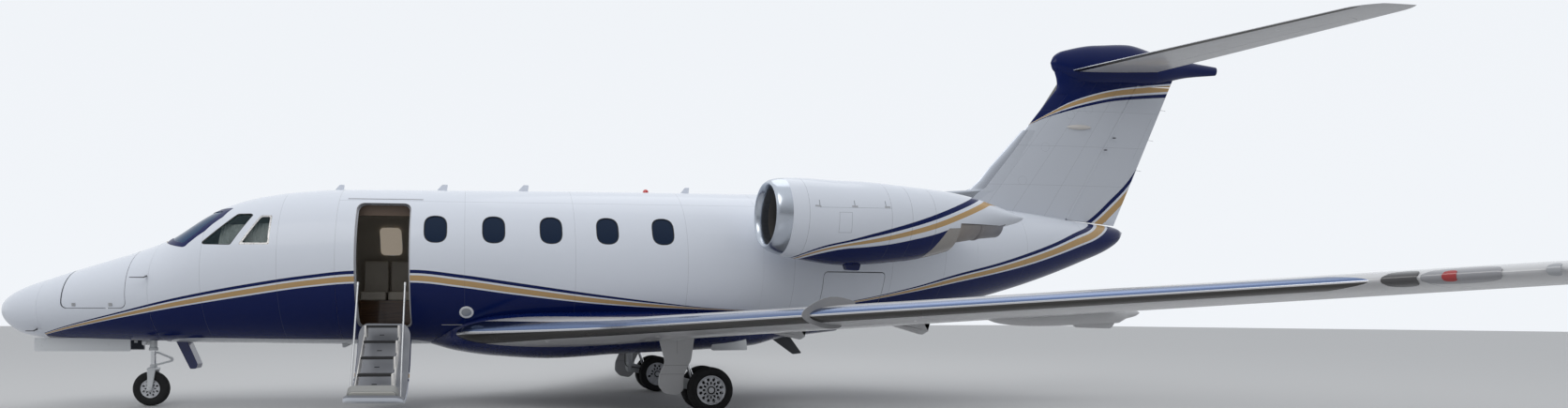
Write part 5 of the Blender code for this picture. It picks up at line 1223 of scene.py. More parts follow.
class JET_OT_cabin(Piecework, bpy.types.Operator):
    """Make the floor, bulkheads, seats, bench and instrument panel"""
    bl_idname = "jet.cabin"
    bl_label = "Cabin"

    def build(self, sizes, paints):
        top = sizes.floor_top
        inside = hull_solid(2.1, 9.6, HULL_WALL + 0.001)
        carpet = carpet_finish("carpet", (0.10, 0.085, 0.07))
        lining = plain("bulkhead lining", paints.lining, 0.6)
        wood = wood_finish("veneer")
        leather = leather_finish("seat leather", paints.leather)
        pale = leather_finish("bench leather", tuple(1.2 * c for c in paints.leather))
        floor = kept(box((at(2.20), -0.95, top - 0.05), (at(9.42), 0.95, top), 0.0), inside)
        piece("floor_carpet", floor, "root", carpet, ("cabin_floor",))

        walls = box((at(4.06), -1.1, top), (at(4.10), 1.1, 2.9), 0.0)
        opening = rounded(0.56, 2.55 - top, 0.08, 6, (0.0, (2.55 + top) / 2 + 0.001))
        walls = carved(walls, plate(opening, "X", at(4.0), at(4.2)))
        walls += box((at(9.40), -1.1, 0.6), (at(9.45), 1.1, 3.0), 0.0)
        walls = kept(walls, inside)
        piece("bulkheads", walls, "root", lining)
        self.bench(sizes, inside, wood, pale)
        self.flight_deck(sizes, inside, leather)

        frames, rails = Shape(), Shape()
        for side, hand in SIDES:
            y = side * 0.52
            rails += box((at(5.45), y - 0.16, top), (at(8.25), y - 0.13, top + 0.018), 0.003)
            rails += box((at(5.45), y + 0.13, top), (at(8.25), y + 0.16, top + 0.018), 0.003)
            for k, (s, facing) in enumerate(((5.75, 1), (7.00, -1), (7.95, -1))):
                self.seat(f"seat_{hand}_{k}", s, facing, y, 0.25, top, leather)
                frames += box((at(s) - 0.19, y - 0.17, top + 0.018), (at(s) + 0.19, y + 0.17, top + 0.27),
                              0.02)
        dark = plain("seat frame", (0.06, 0.055, 0.05), 0.5)
        piece("seat_frames", frames, "root", dark, ("cabin_seats",))
        piece("seat_rails", rails, "root", brushed("seat rail", (0.4, 0.4, 0.42)))
        return True

    def seat(self, name, s, facing, y, half, top, leather):
        """Cushion, leaning back, headrest and armrests, each padded."""
        sign = -facing
        parts = {
            "base": ((-0.28, -half + 0.04, 0.29), (0.20, half - 0.04, 0.46), 0.0),
            "back": ((0.15, -half + 0.03, 0.42), (0.29, half - 0.03, 0.90), 0.16),
            "head": ((0.245, -half + 0.08, 0.87), (0.345, half - 0.08, 1.05), 0.14),
            "arm_a": ((-0.20, -half, 0.44), (0.18, -half + 0.065, 0.60), 0.0),
            "arm_b": ((-0.20, half - 0.065, 0.44), (0.18, half, 0.60), 0.0),
        }
        for label, (low, high, lean) in parts.items():
            u0, u1 = sorted((sign * low[0], sign * high[0]))
            mesh = cushion((u0, low[1], low[2]), (u1, high[1], high[2]), lean * sign)
            mesh.transform(Matrix.Translation((at(s), y, top)))
            padded_piece(f"{name}_{label}", mesh, leather)

    def bench(self, sizes, inside, wood, leather):
        """Cabinet across from the door with a padded bench and two back cushions above it."""
        top = sizes.floor_top
        base = ((0.31, top), (0.72, top), (0.80, 1.30), (0.80, 1.36), (0.31, 1.36))
        base = kept(plate(base, "X", at(4.30), at(5.05), 0.004), inside)
        piece("bench_cabinet", base, "root", wood, ("entry_bench",))
        for k, (low, high) in enumerate(((4.32, 4.66), (4.69, 5.03))):
            for label, size in (("seat", ((0.31, 1.36), (0.72, 1.48))),
                                ("back", ((0.66, 1.47), (0.80, 1.92)))):
                (y0, z0), (y1, z1) = size
                padded_piece(f"bench_{label}_{k}", cushion((at(low), y0, z0), (at(high), y1, z1)), leather)

    def flight_deck(self, sizes, inside, leather):
        """Instrument panel with dark screens, its glare shield, a pedestal and two crew seats."""
        top = sizes.floor_top
        black = plain("panel black", (0.02, 0.02, 0.022), 0.5)
        body = ((2.30, top), (2.62, top), (2.62, 1.84), (2.30, 1.88))
        panel = plate(side_view(body), "Y", -0.60, 0.60, 0.006)
        hood = ((2.30, 1.88), (2.66, 1.86), (2.72, 1.95), (2.70, 1.985), (2.40, 1.975))
        panel += plate(side_view(hood, 0.02), "Y", -0.60, 0.60, 0.006)
        panel += box((at(2.60), -0.13, top), (at(3.05), 0.13, top + 0.42), 0.02)
        piece("panel_body", kept(panel, inside), "root", black, ("instrument_panel",))
        screens = Shape()
        for y in (-0.38, -0.10, 0.18, 0.44):
            screens += box((at(2.617), y - 0.115, 1.52), (at(2.625), y + 0.115, 1.80), 0.003)
        piece("panel_screens", screens, "root", screens_finish("screens"))
        shells = Shape()
        for k, y in enumerate((-0.36, 0.36)):
            self.seat(f"crew_seat_{k}", 3.28, -1, y, 0.215, top, leather)
            shells += box((at(3.14), y - 0.15, top), (at(3.42), y + 0.15, top + 0.28), 0.02)
        piece("crew_seat_frames", shells, "root", black, ("crew_seats",))


# Wings

WING_ROOT_Z, WING_DIHEDRAL, HALF_SPAN = 0.945, math.tan(math.radians(3.0)), 8.155
SWEEP, KINK_Y, KINK_S = 0.52, 2.20, 7.26  # slope of the leading edge, and where its glove begins
# Hinged surfaces: name, inner and outer end. The last number is the gap round their noses.
WING_SURFACES, SURFACE_GAP = (("flap", 1.12, 5.20), ("aileron", 5.75, 7.70)), 0.010


def wing_lead(y):
    """Leading edge: a swept line outboard and a glove that runs forward inboard."""
    y = np.asarray(y, float)
    share = np.clip((KINK_Y - y) / 1.20, 0.0, 1.15)
    glove = (KINK_S - SWEEP * 1.20) - 5.97
    return KINK_S + SWEEP * (y - KINK_Y) - glove * share ** 1.5


def wing_trail(y):
    """Trailing edge: one straight line, swept less than the leading edge."""
    return KINK_S - SWEEP * KINK_Y + 2.66 + (SWEEP - 0.216) * np.asarray(y, float)


def wing_middle(y):
    """Height of the section's middle: it rises with the dihedral."""
    return WING_ROOT_Z + WING_DIHEDRAL * (np.asarray(y, float) - 1.0)


def wing_depth(y):
    """Thickness of the section, from 12.5 to 10.5 % of its chord."""
    return (0.125 - 0.020 * (y - 1.0) / (HALF_SPAN - 1.0)) * (wing_trail(y) - wing_lead(y))


def foil_height(c):
    """Half thickness of the section as a share of its depth: a root, then four powers of the chord share."""
    c = np.clip(c, 0.0, 1.0)
    height = 1.4845 * np.sqrt(c) - 0.63 * c - 1.758 * c ** 2 + 1.4215 * c ** 3 - 0.5075 * c ** 4
    return np.maximum(height, 0.02)


def block_grid(*parts):
    """Three arrays as one grid of points: each is stretched to the shape that they share."""
    return np.stack(np.broadcast_arrays(*parts), -1)


def foil(count=36, lower=0.92):
    """Section from the tail over the top to the nose and back below, closer together at the nose."""
    c = 0.5 * (1 - np.cos(np.linspace(0, np.pi, count + 1)))
    above = np.stack((c[::-1], foil_height(c[::-1])), -1)
    below = np.stack((c[1:], -lower * foil_height(c[1:])), -1)
    return np.concatenate((above, below))


def wing_shape(side, count=36):
    """The whole wing of one side, with a rounded tip."""
    y = np.concatenate((np.linspace(0.5, 2.2, 18), np.linspace(2.35, 7.98, 30), (8.03, 8.07, 8.10, 8.125,
                                                                                 8.145, 8.155)))
    out = np.clip((y - 7.98) / (HALF_SPAN - 7.98), 0.0, 1.0)
    squeeze = 1 - 0.28 * (1 - np.sqrt(1 - out ** 2 * 0.96)) / 0.8
    section = foil(count)
    lead, trail = wing_lead(y), wing_trail(y)
    middle, chord = (lead + trail) / 2, (trail - lead) * squeeze
    depth = wing_depth(y) * squeeze * np.where(out > 0, np.sqrt(np.clip(1 - out ** 2 * 0.9, 0.1, 1)), 1.0)
    xs = at(middle[:, None] - chord[:, None] / 2 + chord[:, None] * section[None, :, 0])
    zs = wing_middle(y)[:, None] + depth[:, None] * section[None, :, 1]
    return loft(block_grid(xs, side * y[:, None], zs))


def wing_hinge(y, side):
    """Hinge point behind the section's thickest part, and the radius of the surface's nose there."""
    lead, trail = wing_lead(y), wing_trail(y)
    line = KINK_S - SWEEP * (KINK_Y - y)
    s = line + 0.74 * (trail - line)
    half = wing_depth(y) * foil_height((s - lead) / (trail - lead))
    return np.array((at(s), side * y, wing_middle(y) + half * 0.04)), float(half) * 0.95


def hinged_block(inner, outer, reach, low, high):
    """All that lies behind a hinge line: its inner end straight aft, its outer end square to the hinge."""
    run = (outer - inner)[:2] / np.linalg.norm((outer - inner)[:2])
    side = math.copysign(1, outer[1])
    square = (outer[0] + reach * abs(run[1]), outer[1] - reach * side * run[0])
    return plate((inner[:2], outer[:2], square, (inner[0] + reach, inner[1])), "Z", low, high)


def parted(whole, taken, cleared):
    """A surface with its round nose, and the rest: each pair is a block behind the hinge and a bar on it."""
    surface = carved(kept(whole, taken[0]), taken[1], "UNION")
    return surface, carved(carved(whole, cleared[0]), cleared[1])


def split_off(whole, ends, reach, low, high, clear):
    """A hinged surface and what is left when it is cut out with a clear gap round its nose."""
    made = []
    for grow, shift in ((0.0, 0.0), (clear, clear)):
        (inner, r_in), (outer, r_out) = ends(-shift), ends(shift, True)
        unit = (outer - inner) / np.linalg.norm(outer - inner)
        block = hinged_block(inner, outer, reach, low, high)
        nose = rod(inner + unit * 0.001, outer - unit * 0.001, r_in + grow, 48, 0.0, r_out + grow, 30)
        made.append((block, nose))
    return parted(whole, *made)


def chord_rule(points):
    """Share of the wing's chord, from its leading edge."""
    y = np.abs(points[:, 1])
    lead, trail = wing_lead(y), wing_trail(y)
    return (station(points[:, 0]) - lead) / (trail - lead)


def wing_edge_rule(points):
    """Above 0 on the bare leading edge, from outside the glove to the landing lamp."""
    y = np.abs(points[:, 1])
    width = (np.clip(1.5 - y, 0.0, 0.5) * 0.03 + 0.062) * np.clip((WING_LAMP_Y - y) * 30, 0.0, 1.0)
    return width - chord_rule(points) - 0.01 * (y > WING_LAMP_Y)


def wing_under(points):
    """Share of the wing's depth below the middle of its section."""
    y = np.abs(points[:, 1])
    return (wing_middle(y) - points[:, 2]) / wing_depth(y)


WING_MARKS = {"chord": chord_rule, "edge": wing_edge_rule, "under": wing_under}


class JET_OT_wings(Piecework, bpy.types.Operator):
    """Make the wings with their flaps, ailerons, fences, fairings and lamps"""
    bl_idname = "jet.wings"
    bl_label = "Wings"

    def build(self, sizes, paints):
        enamel = wing_paint(paints)
        grey = plain("fairing enamel", paints.wing, 0.32)
        dark = plain("wing joint", (0.05, 0.05, 0.055), 0.6)
        for side, hand in SIDES:
            wing = wing_shape(side)
            surfaces = {}
            for label, low, high in WING_SURFACES:
                def ends(shift, outer=False, low=low, high=high):
                    return wing_hinge((high if outer else low) + shift, side)
                surfaces[label], wing = split_off(wing, ends, 2.0, 0.3, 2.2, SURFACE_GAP)
            piece(f"wing_skin_{hand}", wing, "root", enamel, (f"wing_{hand}",), 28,
                  marks=WING_MARKS)
            for label, shape in surfaces.items():
                piece(f"{label}_skin_{hand}", shape, f"{label}_{hand}", enamel,
                      (f"{label}_{hand}",), 28, marks=WING_MARKS)
            self.add_ons(side, hand, grey, dark)
        return True

    def add_ons(self, side, hand, grey, dark):
        """Fence, pod, flap track fairings, static wicks, tip lamp and landing lamp."""
        piece(f"wing_fence_{hand}", self.fence(side), "root", plain("fence enamel", (0.26, 0.26, 0.27), 0.3))
        pods = self.pod(side, 5.475, ((9.50, 1.115, 0.0), (9.62, 1.112, 0.030), (9.95, 1.125, 0.058),
                                     (10.40, 1.148, 0.066), (10.56, 1.152, 0.062), (10.60, 1.152, 0.040),
                                     (10.70, 1.154, 0.018), (10.73, 1.155, 0.002)))
        keel = side_view(((10.16, 1.10), (10.22, 1.048), (10.50, 1.040), (10.54, 1.10)), 0.02)
        pods += cheek(keel, side * 5.467, side * 5.483, 0.003)
        piece(f"wing_pod_{hand}", pods, "root", grey)
        tracks = Shape()
        for y in (2.40, 4.00):
            hinge, _ = wing_hinge(y, side)
            tail, low = at(float(wing_trail(y))), float(wing_middle(y))
            outline = ((hinge[0] + 0.03, low - 0.02), (hinge[0] + 0.05, low - 0.045),
                       (tail - 0.11, low - 0.135), (tail - 0.05, low - 0.10), (tail - 0.09, low - 0.035),
                       (tail - 0.03, low - 0.005))
            tracks += cheek(softened(outline, 0.012), side * (y - 0.032), side * (y + 0.032), 0.010)
        piece(f"flap_tracks_{hand}", tracks, f"flap_{hand}", grey)
        colour = (0.35, 0.008, 0.008) if side < 0 else (0.008, 0.22, 0.05)
        lamp = lamp_finish(f"tip lamp {hand}", colour)
        glow = lamp_finish(f"lamp glass {hand}", (0.35, 0.36, 0.38))
        cover = glass_finish(f"lamp cover {hand}", (0.050, 0.048, 0.050), 0.92)
        pale = glass_finish(f"pale lamp cover {hand}", (0.30, 0.30, 0.32), 0.90)
        self.leading_lamp(f"lamp_cover_{hand}", side, 7.60, 7.705, cover, 0.0012)
        self.leading_lamp(f"pale_lamp_cover_{hand}", side, 7.715, 7.930, pale, 0.0012)
        self.leading_lamp(f"tip_lamp_{hand}", side, 7.775, 7.815, lamp, 0.0030, 0.018)
        self.leading_lamp(f"strobe_{hand}", side, 8.04, 8.075, glow, 0.0030, 0.025)
        wicks = Shape()
        for y in (6.2, 6.9, 7.5, 7.95):
            tail = np.array((at(float(wing_trail(y))) - 0.005, side * y, float(wing_middle(y))))
            wicks += rod(tail, tail + np.array((0.09, 0, 0.0)), 0.0022, 8)
        piece(f"wing_wicks_{hand}", wicks, "root", dark)

    def leading_lamp(self, name, side, low, high, finish, lift, reach=0.055):
        """A cover round the leading edge: its reach along the chord is an ellipse along the span."""
        t = np.linspace(-1.0, 1.0, 17)[:, None]
        y = (low + high) / 2 + (high - low) / 2 * t
        angle = np.linspace(-1.0, 1.0, 17)[None, :]
        c = reach * angle ** 2 * np.sqrt(np.clip(1 - t ** 2, 0.02, 1.0))
        half = foil_height(c) * wing_depth(y)
        z = wing_middle(y) + np.where(angle >= 0, 1.0, -0.92) * half * np.where(c < 1e-6, 0.0, 1.0)
        x = at(wing_lead(y) + c * (wing_trail(y) - wing_lead(y)))
        grid = block_grid(x - lift, side * y, z + lift * np.sign(angle))
        grid = grid if side > 0 else grid[::-1]
        piece(name, sheet(grid, 0.004), "root", finish)

    def fence(self, side):
        """A plate round the wing's nose: its height over the section grows from below to above."""
        y = 4.66
        lead, middle = float(wing_lead(y)), float(wing_middle(y))
        chord, depth = float(wing_trail(y)) - lead, float(wing_depth(y))
        around = np.linspace(-1.0, 1.0, 41)
        c = np.where(around > 0, 0.235, 0.165) * around ** 2
        skin = np.stack((at(lead + chord * c), middle + np.sign(around) * depth * foil_height(c)), -1)
        outward = skin - (at(lead + chord * 0.12), middle)
        outward /= np.linalg.norm(outward, axis=1, keepdims=True)
        height = (0.030 + 0.0275 * (around + 1)) * np.sqrt(np.maximum(0.0, 1 - around ** 6)) + 0.002
        outline = np.concatenate((skin - outward * 0.02, (skin + outward * height[:, None])[::-1]))
        return cheek(outline, side * (y - 0.004), side * (y + 0.004), 0.001)

    def pod(self, side, y, rows):
        """A slender pod: ovals along a curve of heights and radii."""
        rows = np.array(rows)
        s = spread(rows[0, 0], rows[-1, 0], 0.03)
        z, r = columns(rows, s)
        a = turn(24)[None, :]
        across, up = r[:, None] * np.cos(a), 1.15 * r[:, None] * np.sin(a)
        return loft(block_grid(at(s)[:, None], side * y + across, z[:, None] + up))


# Belly fairing, tail

FAIRING = np.array((
    (5.30, 0.30, 1.00, 0.780),
    (5.60, 0.62, 1.16, 0.700),
    (6.10, 0.88, 1.24, 0.630),
    (6.80, 1.00, 1.26, 0.592),
    (7.75, 1.04, 1.26, 0.648),
    (8.80, 1.02, 1.26, 0.695),
    (9.50, 0.90, 1.24, 0.745),
    (9.85, 0.76, 1.20, 0.828),
    (10.30, 0.54, 1.14, 0.883),
    (10.80, 0.32, 1.06, 0.938),
))
STAB_Z, STAB_TIP, STAB_SPAN = 4.715, 2.62, 2.8  # its height, where its tips begin, and its half span
ELEVATOR_SHARE = 0.68                           # of the chord, where the elevators' hinge stands
BULLET = np.array((
    (14.20, 4.840, 0.000, 0.000),
    (14.26, 4.840, 0.110, 0.060),
    (14.45, 4.820, 0.215, 0.115),
    (14.90, 4.830, 0.285, 0.165),
    (15.35, 4.850, 0.290, 0.180),
    (15.90, 4.800, 0.215, 0.150),
    (16.40, 4.810, 0.115, 0.085),
    (16.86, 4.805, 0.062, 0.035),
))
COWL = np.array((
    (9.30, 2.350, 0.385, 0.385),
    (9.33, 2.348, 0.410, 0.410),
    (9.45, 2.335, 0.450, 0.445),
    (9.75, 2.305, 0.485, 0.472),
    (10.28, 2.262, 0.505, 0.482),
    (11.00, 2.262, 0.455, 0.448),
    (11.55, 2.290, 0.370, 0.375),
    (12.00, 2.350, 0.205, 0.310),
    (12.45, 2.330, 0.055, 0.225),
))
# Upper edge of the cowl's thin line, and upper edge of its navy underside
COWL_LINE = ((9.30, 1.700), (9.90, 1.960), (10.15, 2.016), (10.35, 2.069), (10.65, 2.150), (10.98, 2.247),
             (11.21, 2.325), (11.59, 2.471), (12.00, 2.650))
COWL_NAVY = ((9.30, 1.690), (9.90, 1.880), (10.15, 1.925), (10.35, 1.940), (10.65, 1.975), (10.98, 2.040),
             (11.21, 2.095), (11.59, 2.230), (12.00, 2.400))
# Upper edge of the fin's top navy area, and the lower edge of the thin line under it
FIN_HIGH = ((13.60, 3.800), (13.76, 3.882), (14.11, 4.076), (14.47, 4.262), (14.82, 4.383), (15.18, 4.470),
            (15.54, 4.526), (15.91, 4.572), (16.30, 4.620))
FIN_LOW = ((13.60, 3.799), (13.76, 3.879), (14.11, 4.032), (14.47, 4.141), (14.82, 4.229), (15.18, 4.302),
           (15.54, 4.344), (16.03, 4.388), (16.30, 4.410))


class JET_OT_belly(Piecework, bpy.types.Operator):
    """Make the wing root fairing with its gear doors, scoop and blade"""
    bl_idname = "jet.belly"
    bl_label = "Belly fairing"

    def build(self, sizes, paints):
        s = np.concatenate((spread(5.30, 5.60, 0.03), spread(5.63, 10.3, 0.06), spread(10.33, 10.8, 0.04)))
        wide, top, bottom = columns(FAIRING, s[:, None])
        outline = oval(2.0, 2.0, 3.2, 3.2, 96)
        y = wide * outline[None, :, 0]
        z = (top + bottom) / 2 + (top - bottom) / 2 * outline[None, :, 1]
        body = loft(block_grid(at(s)[:, None], y, z))
        body = carved(body, hull_solid(4.6, 11.6, -TOUCH))
        finish = Finish("belly enamel", paints.navy, 0.28, coat_weight=0.2)
        s, y, z = finish.place()
        seams = seam_lines(s, (6.40, 7.30, 8.10, 9.35, 10.05), 0.0018)
        seams = (seams + seam_lines(abs(y), (0.62, 0.03), 0.0016)).clamped()
        colour = finish.mix(seams * 0.5, paints.navy, (0.10, 0.10, 0.11))
        finish.set(base_color=colour, roughness=finish.noise(6.0) * 0.15 + 0.2)
        piece("belly_skin", body, "root", finish.material, ("belly_fairing",), 28)
        grey = plain("gear door enamel", paints.gear, 0.35)
        doors = Shape()
        for side, _ in SIDES:
            door = side_view(((8.86, 0.708), (8.84, 0.740), (8.90, 0.880), (9.30, 0.880), (9.32, 0.712)),
                             0.02)
            doors += cheek(door, side * 0.893, side * 0.909, 0.003)
        piece("inner_gear_doors", doors, "root", grey)
        dark = plain("blade enamel", (0.05, 0.055, 0.065), 0.35)
        blade = side_view(((9.88, 0.905), (10.20, 0.925), (10.417, 0.629), (10.29, 0.614)), 0.02)
        piece("belly_blade", plate(blade, "Y", -0.007, 0.007, 0.003), "root", dark)
        scoop = side_view(((4.13, 0.80), (4.14, 0.735), (4.17, 0.735), (4.30, 0.80)), 0.012)
        piece("belly_scoop", plate(scoop, "Y", -0.028, 0.028, 0.004), "root", grey)
        return True


def fin_line(foot, top, z):
    """Station on a straight line from the fin's foot to its top."""
    return foot + (top - foot) * (z - 2.40) / (4.66 - 2.40)


def fin_lead(z):
    return fin_line(12.60, 14.46, z)


def fin_trail(z):
    return fin_line(15.165, 16.165, z)


def fin_shape():
    """The fin with its rudder: foil sections stacked upwards."""
    z = spread(2.25, 4.76, 0.06)[:, None]
    section = foil(30)
    lead, chord = fin_lead(z), fin_trail(z) - fin_lead(z)
    depth = 0.11 * chord / 2
    x = at(lead + chord * section[None, :, 0])
    return loft(block_grid(x, depth * section[None, :, 1], z))


RUDDER_FOOT, RUDDER_TOP = (14.43, 2.56), (15.56, 4.53)  # ends of the rudder's hinge: station and height


def rudder_hinge(z):
    """Hinge point at a height, on a line that leans aft, and the radius of the rudder's nose there."""
    (s0, z0), (s1, z1) = RUDDER_FOOT, RUDDER_TOP
    s = s0 + (s1 - s0) * ((z - z0) / (z1 - z0))
    chord = fin_trail(z) - fin_lead(z)
    radius = 0.11 * chord / 2 * foil_height((s - fin_lead(z)) / chord) * 0.96
    return np.array((at(s), 0.0, z)), float(radius)


def fin_band(points):
    """The larger of the two sets of bands: the hull's, and the one along the fin's top counted upwards."""
    s, z = station(points[:, 0]), points[:, 2]
    low, high = edge(FIN_LOW, s), edge(FIN_HIGH, s)
    upper = (z - low) / np.maximum(high - low, 0.002)
    aft = np.clip((s - RUDDER_FOOT[0] - (z - RUDDER_FOOT[1]) * 0.574) * 40, 0.0, 1.0)
    lower = np.where(z < 3.6, band_rule(points), -1.0)
    return np.maximum(np.where(z > 3.7, upper, -1.0), np.where(aft > 0.5, np.minimum(lower, 0.95), lower))


def fin_chord(points):
    """Share of the fin's chord, from its leading edge."""
    z = points[:, 2]
    return (station(points[:, 0]) - fin_lead(z)) / (fin_trail(z) - fin_lead(z))


def fin_edge(points):
    """Above 0 on the bare leading edge, from a little above the fin's foot to the navy area."""
    z = points[:, 2]
    return np.clip((z - 2.9) * 10, 0.0, 1.0) * np.clip((3.9 - z) * 10, 0.0, 1.0) * 0.028 - fin_chord(points)


FIN_MARKS = {"band": fin_band, "chord": fin_chord, "edge": fin_edge}


def bullet_shape(grow=0.0, step=0.04):
    """Ellipses along the bullet, closer together at its nose."""
    s = np.concatenate((14.20 + 0.25 * spread(0.0, 1.0, 0.08) ** 2, spread(14.49, 16.86, step)))
    middle, high, wide = columns(BULLET, s[:, None])
    a = turn(56, 0.5)[None, :]
    across, up = (wide + grow) * np.cos(a), (high + grow) * np.sin(a)
    return loft(block_grid(at(s)[:, None], across, middle + up))


def stab_lead(y):
    return 14.42 + 0.560 * np.abs(y)


def stab_trail(y):
    return 15.72 + 0.353 * np.abs(y)


def stab_shape(low, high):
    """The stabiliser from one distance from the middle to another, rounded at the tips."""
    y = spread(max(low, -STAB_TIP), min(high, STAB_TIP), 0.14)
    tips = np.array((2.66, 2.70, 2.735, 2.765, 2.785, 2.80))
    if low < -STAB_TIP:
        y = np.concatenate((-tips[::-1], y))
    if high > STAB_TIP:
        y = np.concatenate((y, tips))
    out = np.clip((np.abs(y) - STAB_TIP) / 0.18, 0.0, 1.0)
    squeeze = 1 - 0.38 * out ** 2.2
    section = foil(26)
    lead, trail = stab_lead(y), stab_trail(y)
    middle = (lead + trail) / 2 + (1 - squeeze) * 0.12
    chord = (trail - lead) * squeeze
    depth = 0.05 * (trail - lead) * squeeze * np.sqrt(1 - 0.88 * out ** 2)
    x = at(middle[:, None] - chord[:, None] / 2 + chord[:, None] * section[None, :, 0])
    z = STAB_Z + depth[:, None] * section[None, :, 1]
    return loft(block_grid(x, y[:, None], z))


def stab_hinge(y, side):
    """Hinge point at 68 % of the chord, and the radius of the elevator's nose there."""
    chord = float(stab_trail(y) - stab_lead(y))
    half = 0.05 * chord * float(foil_height(ELEVATOR_SHARE))
    x = at(float(stab_lead(y)) + ELEVATOR_SHARE * chord)
    return np.array((x, side * y, STAB_Z + half * 0.04)), half * 0.94


def stab_chord(points):
    y = points[:, 1]
    return (station(points[:, 0]) - stab_lead(y)) / (stab_trail(y) - stab_lead(y))


def stab_edge(points):
    return 0.075 - stab_chord(points)


def stab_under(points):
    return (STAB_Z - points[:, 2]) / 0.12


STAB_MARKS = {"chord": stab_chord, "edge": stab_edge, "under": stab_under}


class JET_OT_tail(Piecework, bpy.types.Operator):
    """Make the fin, rudder, tail bullet, stabiliser and elevators"""
    bl_idname = "jet.tail"
    bl_label = "Tail"

    def build(self, sizes, paints):
        enamel = fin_paint(paints)
        whole = fin_shape()
        made = []
        for low, high, grow in ((RUDDER_FOOT[1], RUDDER_TOP[1], 0.0), (2.31, 4.542, sizes.clear)):
            (foot, r_foot), (top, r_top) = rudder_hinge(low), rudder_hinge(high)
            region = ((foot[0], foot[2]), (foot[0] + 1.5, foot[2] - 1.5 * 0.11), (top[0] + 1.5, top[2]),
                      (top[0], top[2]))
            bar = rod(foot, top, r_foot + grow, 40, 0.0, r_top + grow, 50)
            made.append((plate(region, "Y", -0.4, 0.4), bar))
        rudder, fin = parted(whole, *made)
        fin = carved(fin, hull_solid(11.9, 15.27, -TOUCH))
        fin = carved(fin, bullet_shape(TOUCH))
        piece("fin_skin", fin, "root", enamel, ("fin",), 28, marks=FIN_MARKS)
        piece("rudder_skin", rudder, "rudder", enamel, ("rudder",), 28, marks=FIN_MARKS)
        self.rudder_parts()

        navy = plain("navy enamel", paints.navy, 0.2, **GLOSS)
        slot = carved(bullet_shape(), self.slot())
        piece("bullet_skin", slot, "root", navy, ("bullet_fairing",), 40)
        piece("fin_fillet", self.fillet(), "root", navy, smooth=40)
        piece("fin_foot", self.foot(), "root", enamel, smooth=40, marks=FIN_MARKS)
        grey = wing_paint(paints)
        stab = stab_shape(-STAB_SPAN, STAB_SPAN)
        for side, hand in SIDES:
            def ends(shift, outer=False):
                return stab_hinge((2.38 if outer else 0.50) + shift, side)
            half = stab_shape(*sorted((0.0, side * STAB_SPAN)))
            surface, _ = split_off(half, ends, 1.2, 4.4, 5.0, sizes.clear)
            _, stab = split_off(stab, ends, 1.2, 4.4, 5.0, sizes.clear)
            piece(f"elevator_skin_{hand}", surface, f"elevator_{hand}", grey,
                  (f"elevator_{hand}",), 28, marks=STAB_MARKS)
        piece("stabiliser_skin", stab, "root", grey, ("stabiliser",), 28,
              marks=STAB_MARKS)
        lamp = lamp_finish("tail lamp", (0.75, 0.75, 0.72))
        glass = turned(((0.0, 0.0), (0.0, 0.030), (-0.02, 0.033), (-0.03, 0.0)), (at(16.86), 0, 4.805), "X",
                       24)
        piece("tail_lamp", glass, "root", lamp)
        return True

    def fillet(self):
        """Sections that fill the corner between the fin's edge and the bullet: wider as they rise."""
        z = spread(4.38, 4.84, 0.02)[:, None]
        lead = along((4.38, 4.46, 4.52, 4.60, 4.72, 4.84), (14.240, 14.292, 14.306, 14.300, 14.270, 14.228),
                     z)
        wide = along((4.38, 4.60, 4.84), (0.085, 0.130, 0.200), z)
        section = foil(20)
        x = at(lead + (14.98 - lead) * section[None, :, 0])
        return loft(block_grid(x, wide * section[None, :, 1], z))

    def foot(self):
        """Sections ahead of the fin's leading edge: a slim ridge that bends up into the edge."""
        z = np.array((2.72, 2.78, 2.84, 2.88, 2.91, 2.93, 2.945, 2.957, 2.975, 3.00, 3.10, 3.30, 3.55,
                      3.84))[:, None]
        lead = along((2.72, 2.78, 2.84, 2.88, 2.91, 2.93, 2.945, 2.957, 3.00, 3.30, 3.84),
                     (11.45, 11.62, 11.86, 12.06, 12.26, 12.46, 12.68, 12.87, 12.965, 13.245, 13.745), z)
        section = foil(20)
        x = at(lead + (14.05 - lead) * section[None, :, 0])
        return loft(block_grid(x, 0.105 * section[None, :, 1], z))

    def slot(self):
        """The stabiliser's middle, grown by the touching gap."""
        middle = stab_shape(-0.6, 0.6)
        made = Shape(middle.points + np.sign(middle.points - (0, 0, STAB_Z)) * (0, 0, TOUCH))
        made.faces = middle.faces
        return made

    def blister(self, s, z, y, half, radius):
        """A bar along the aircraft whose circles shrink to its ends as an ellipse does."""
        t = spread(-half, half, half / 8)
        path = np.stack((at(s + t), np.full(len(t), y), z + 0 * t), -1)
        return tube(path, radius * np.sqrt(np.clip(1 - (t / half) ** 2, 0.01, 1.0)), 18)

    def rudder_parts(self):
        """Hinge fairings on both sides, a trim tab's edge and static wicks."""
        metal = plain("hinge notch", (0.05, 0.055, 0.065), 0.5)
        parts, bases = Shape(), Shape()
        for side, _ in SIDES:
            for s, z in ((15.16, 3.755), (15.02, 3.576)):
                parts += self.blister(s, z, side * 0.066, 0.030, 0.009)
            bases += self.blister(14.61, 3.90, side * 0.052, 0.190, 0.036)
        piece("rudder_fairings", parts, "rudder", metal)
        beige = plain("aerial base enamel", (0.66, 0.63, 0.60), 0.35)
        piece("fin_aerial_bases", bases, "root", beige)
        wicks = Shape()
        for z in (3.3, 3.75, 4.2):
            tail = np.array((at(float(fin_trail(z))) - 0.004, 0.0, z))
            wicks += rod(tail, tail + np.array((0.085, 0.0, -0.01)), 0.0022, 8)
        piece("rudder_wicks", wicks, "rudder", plain("wick", (0.05, 0.05, 0.05), 0.6))


# Engines

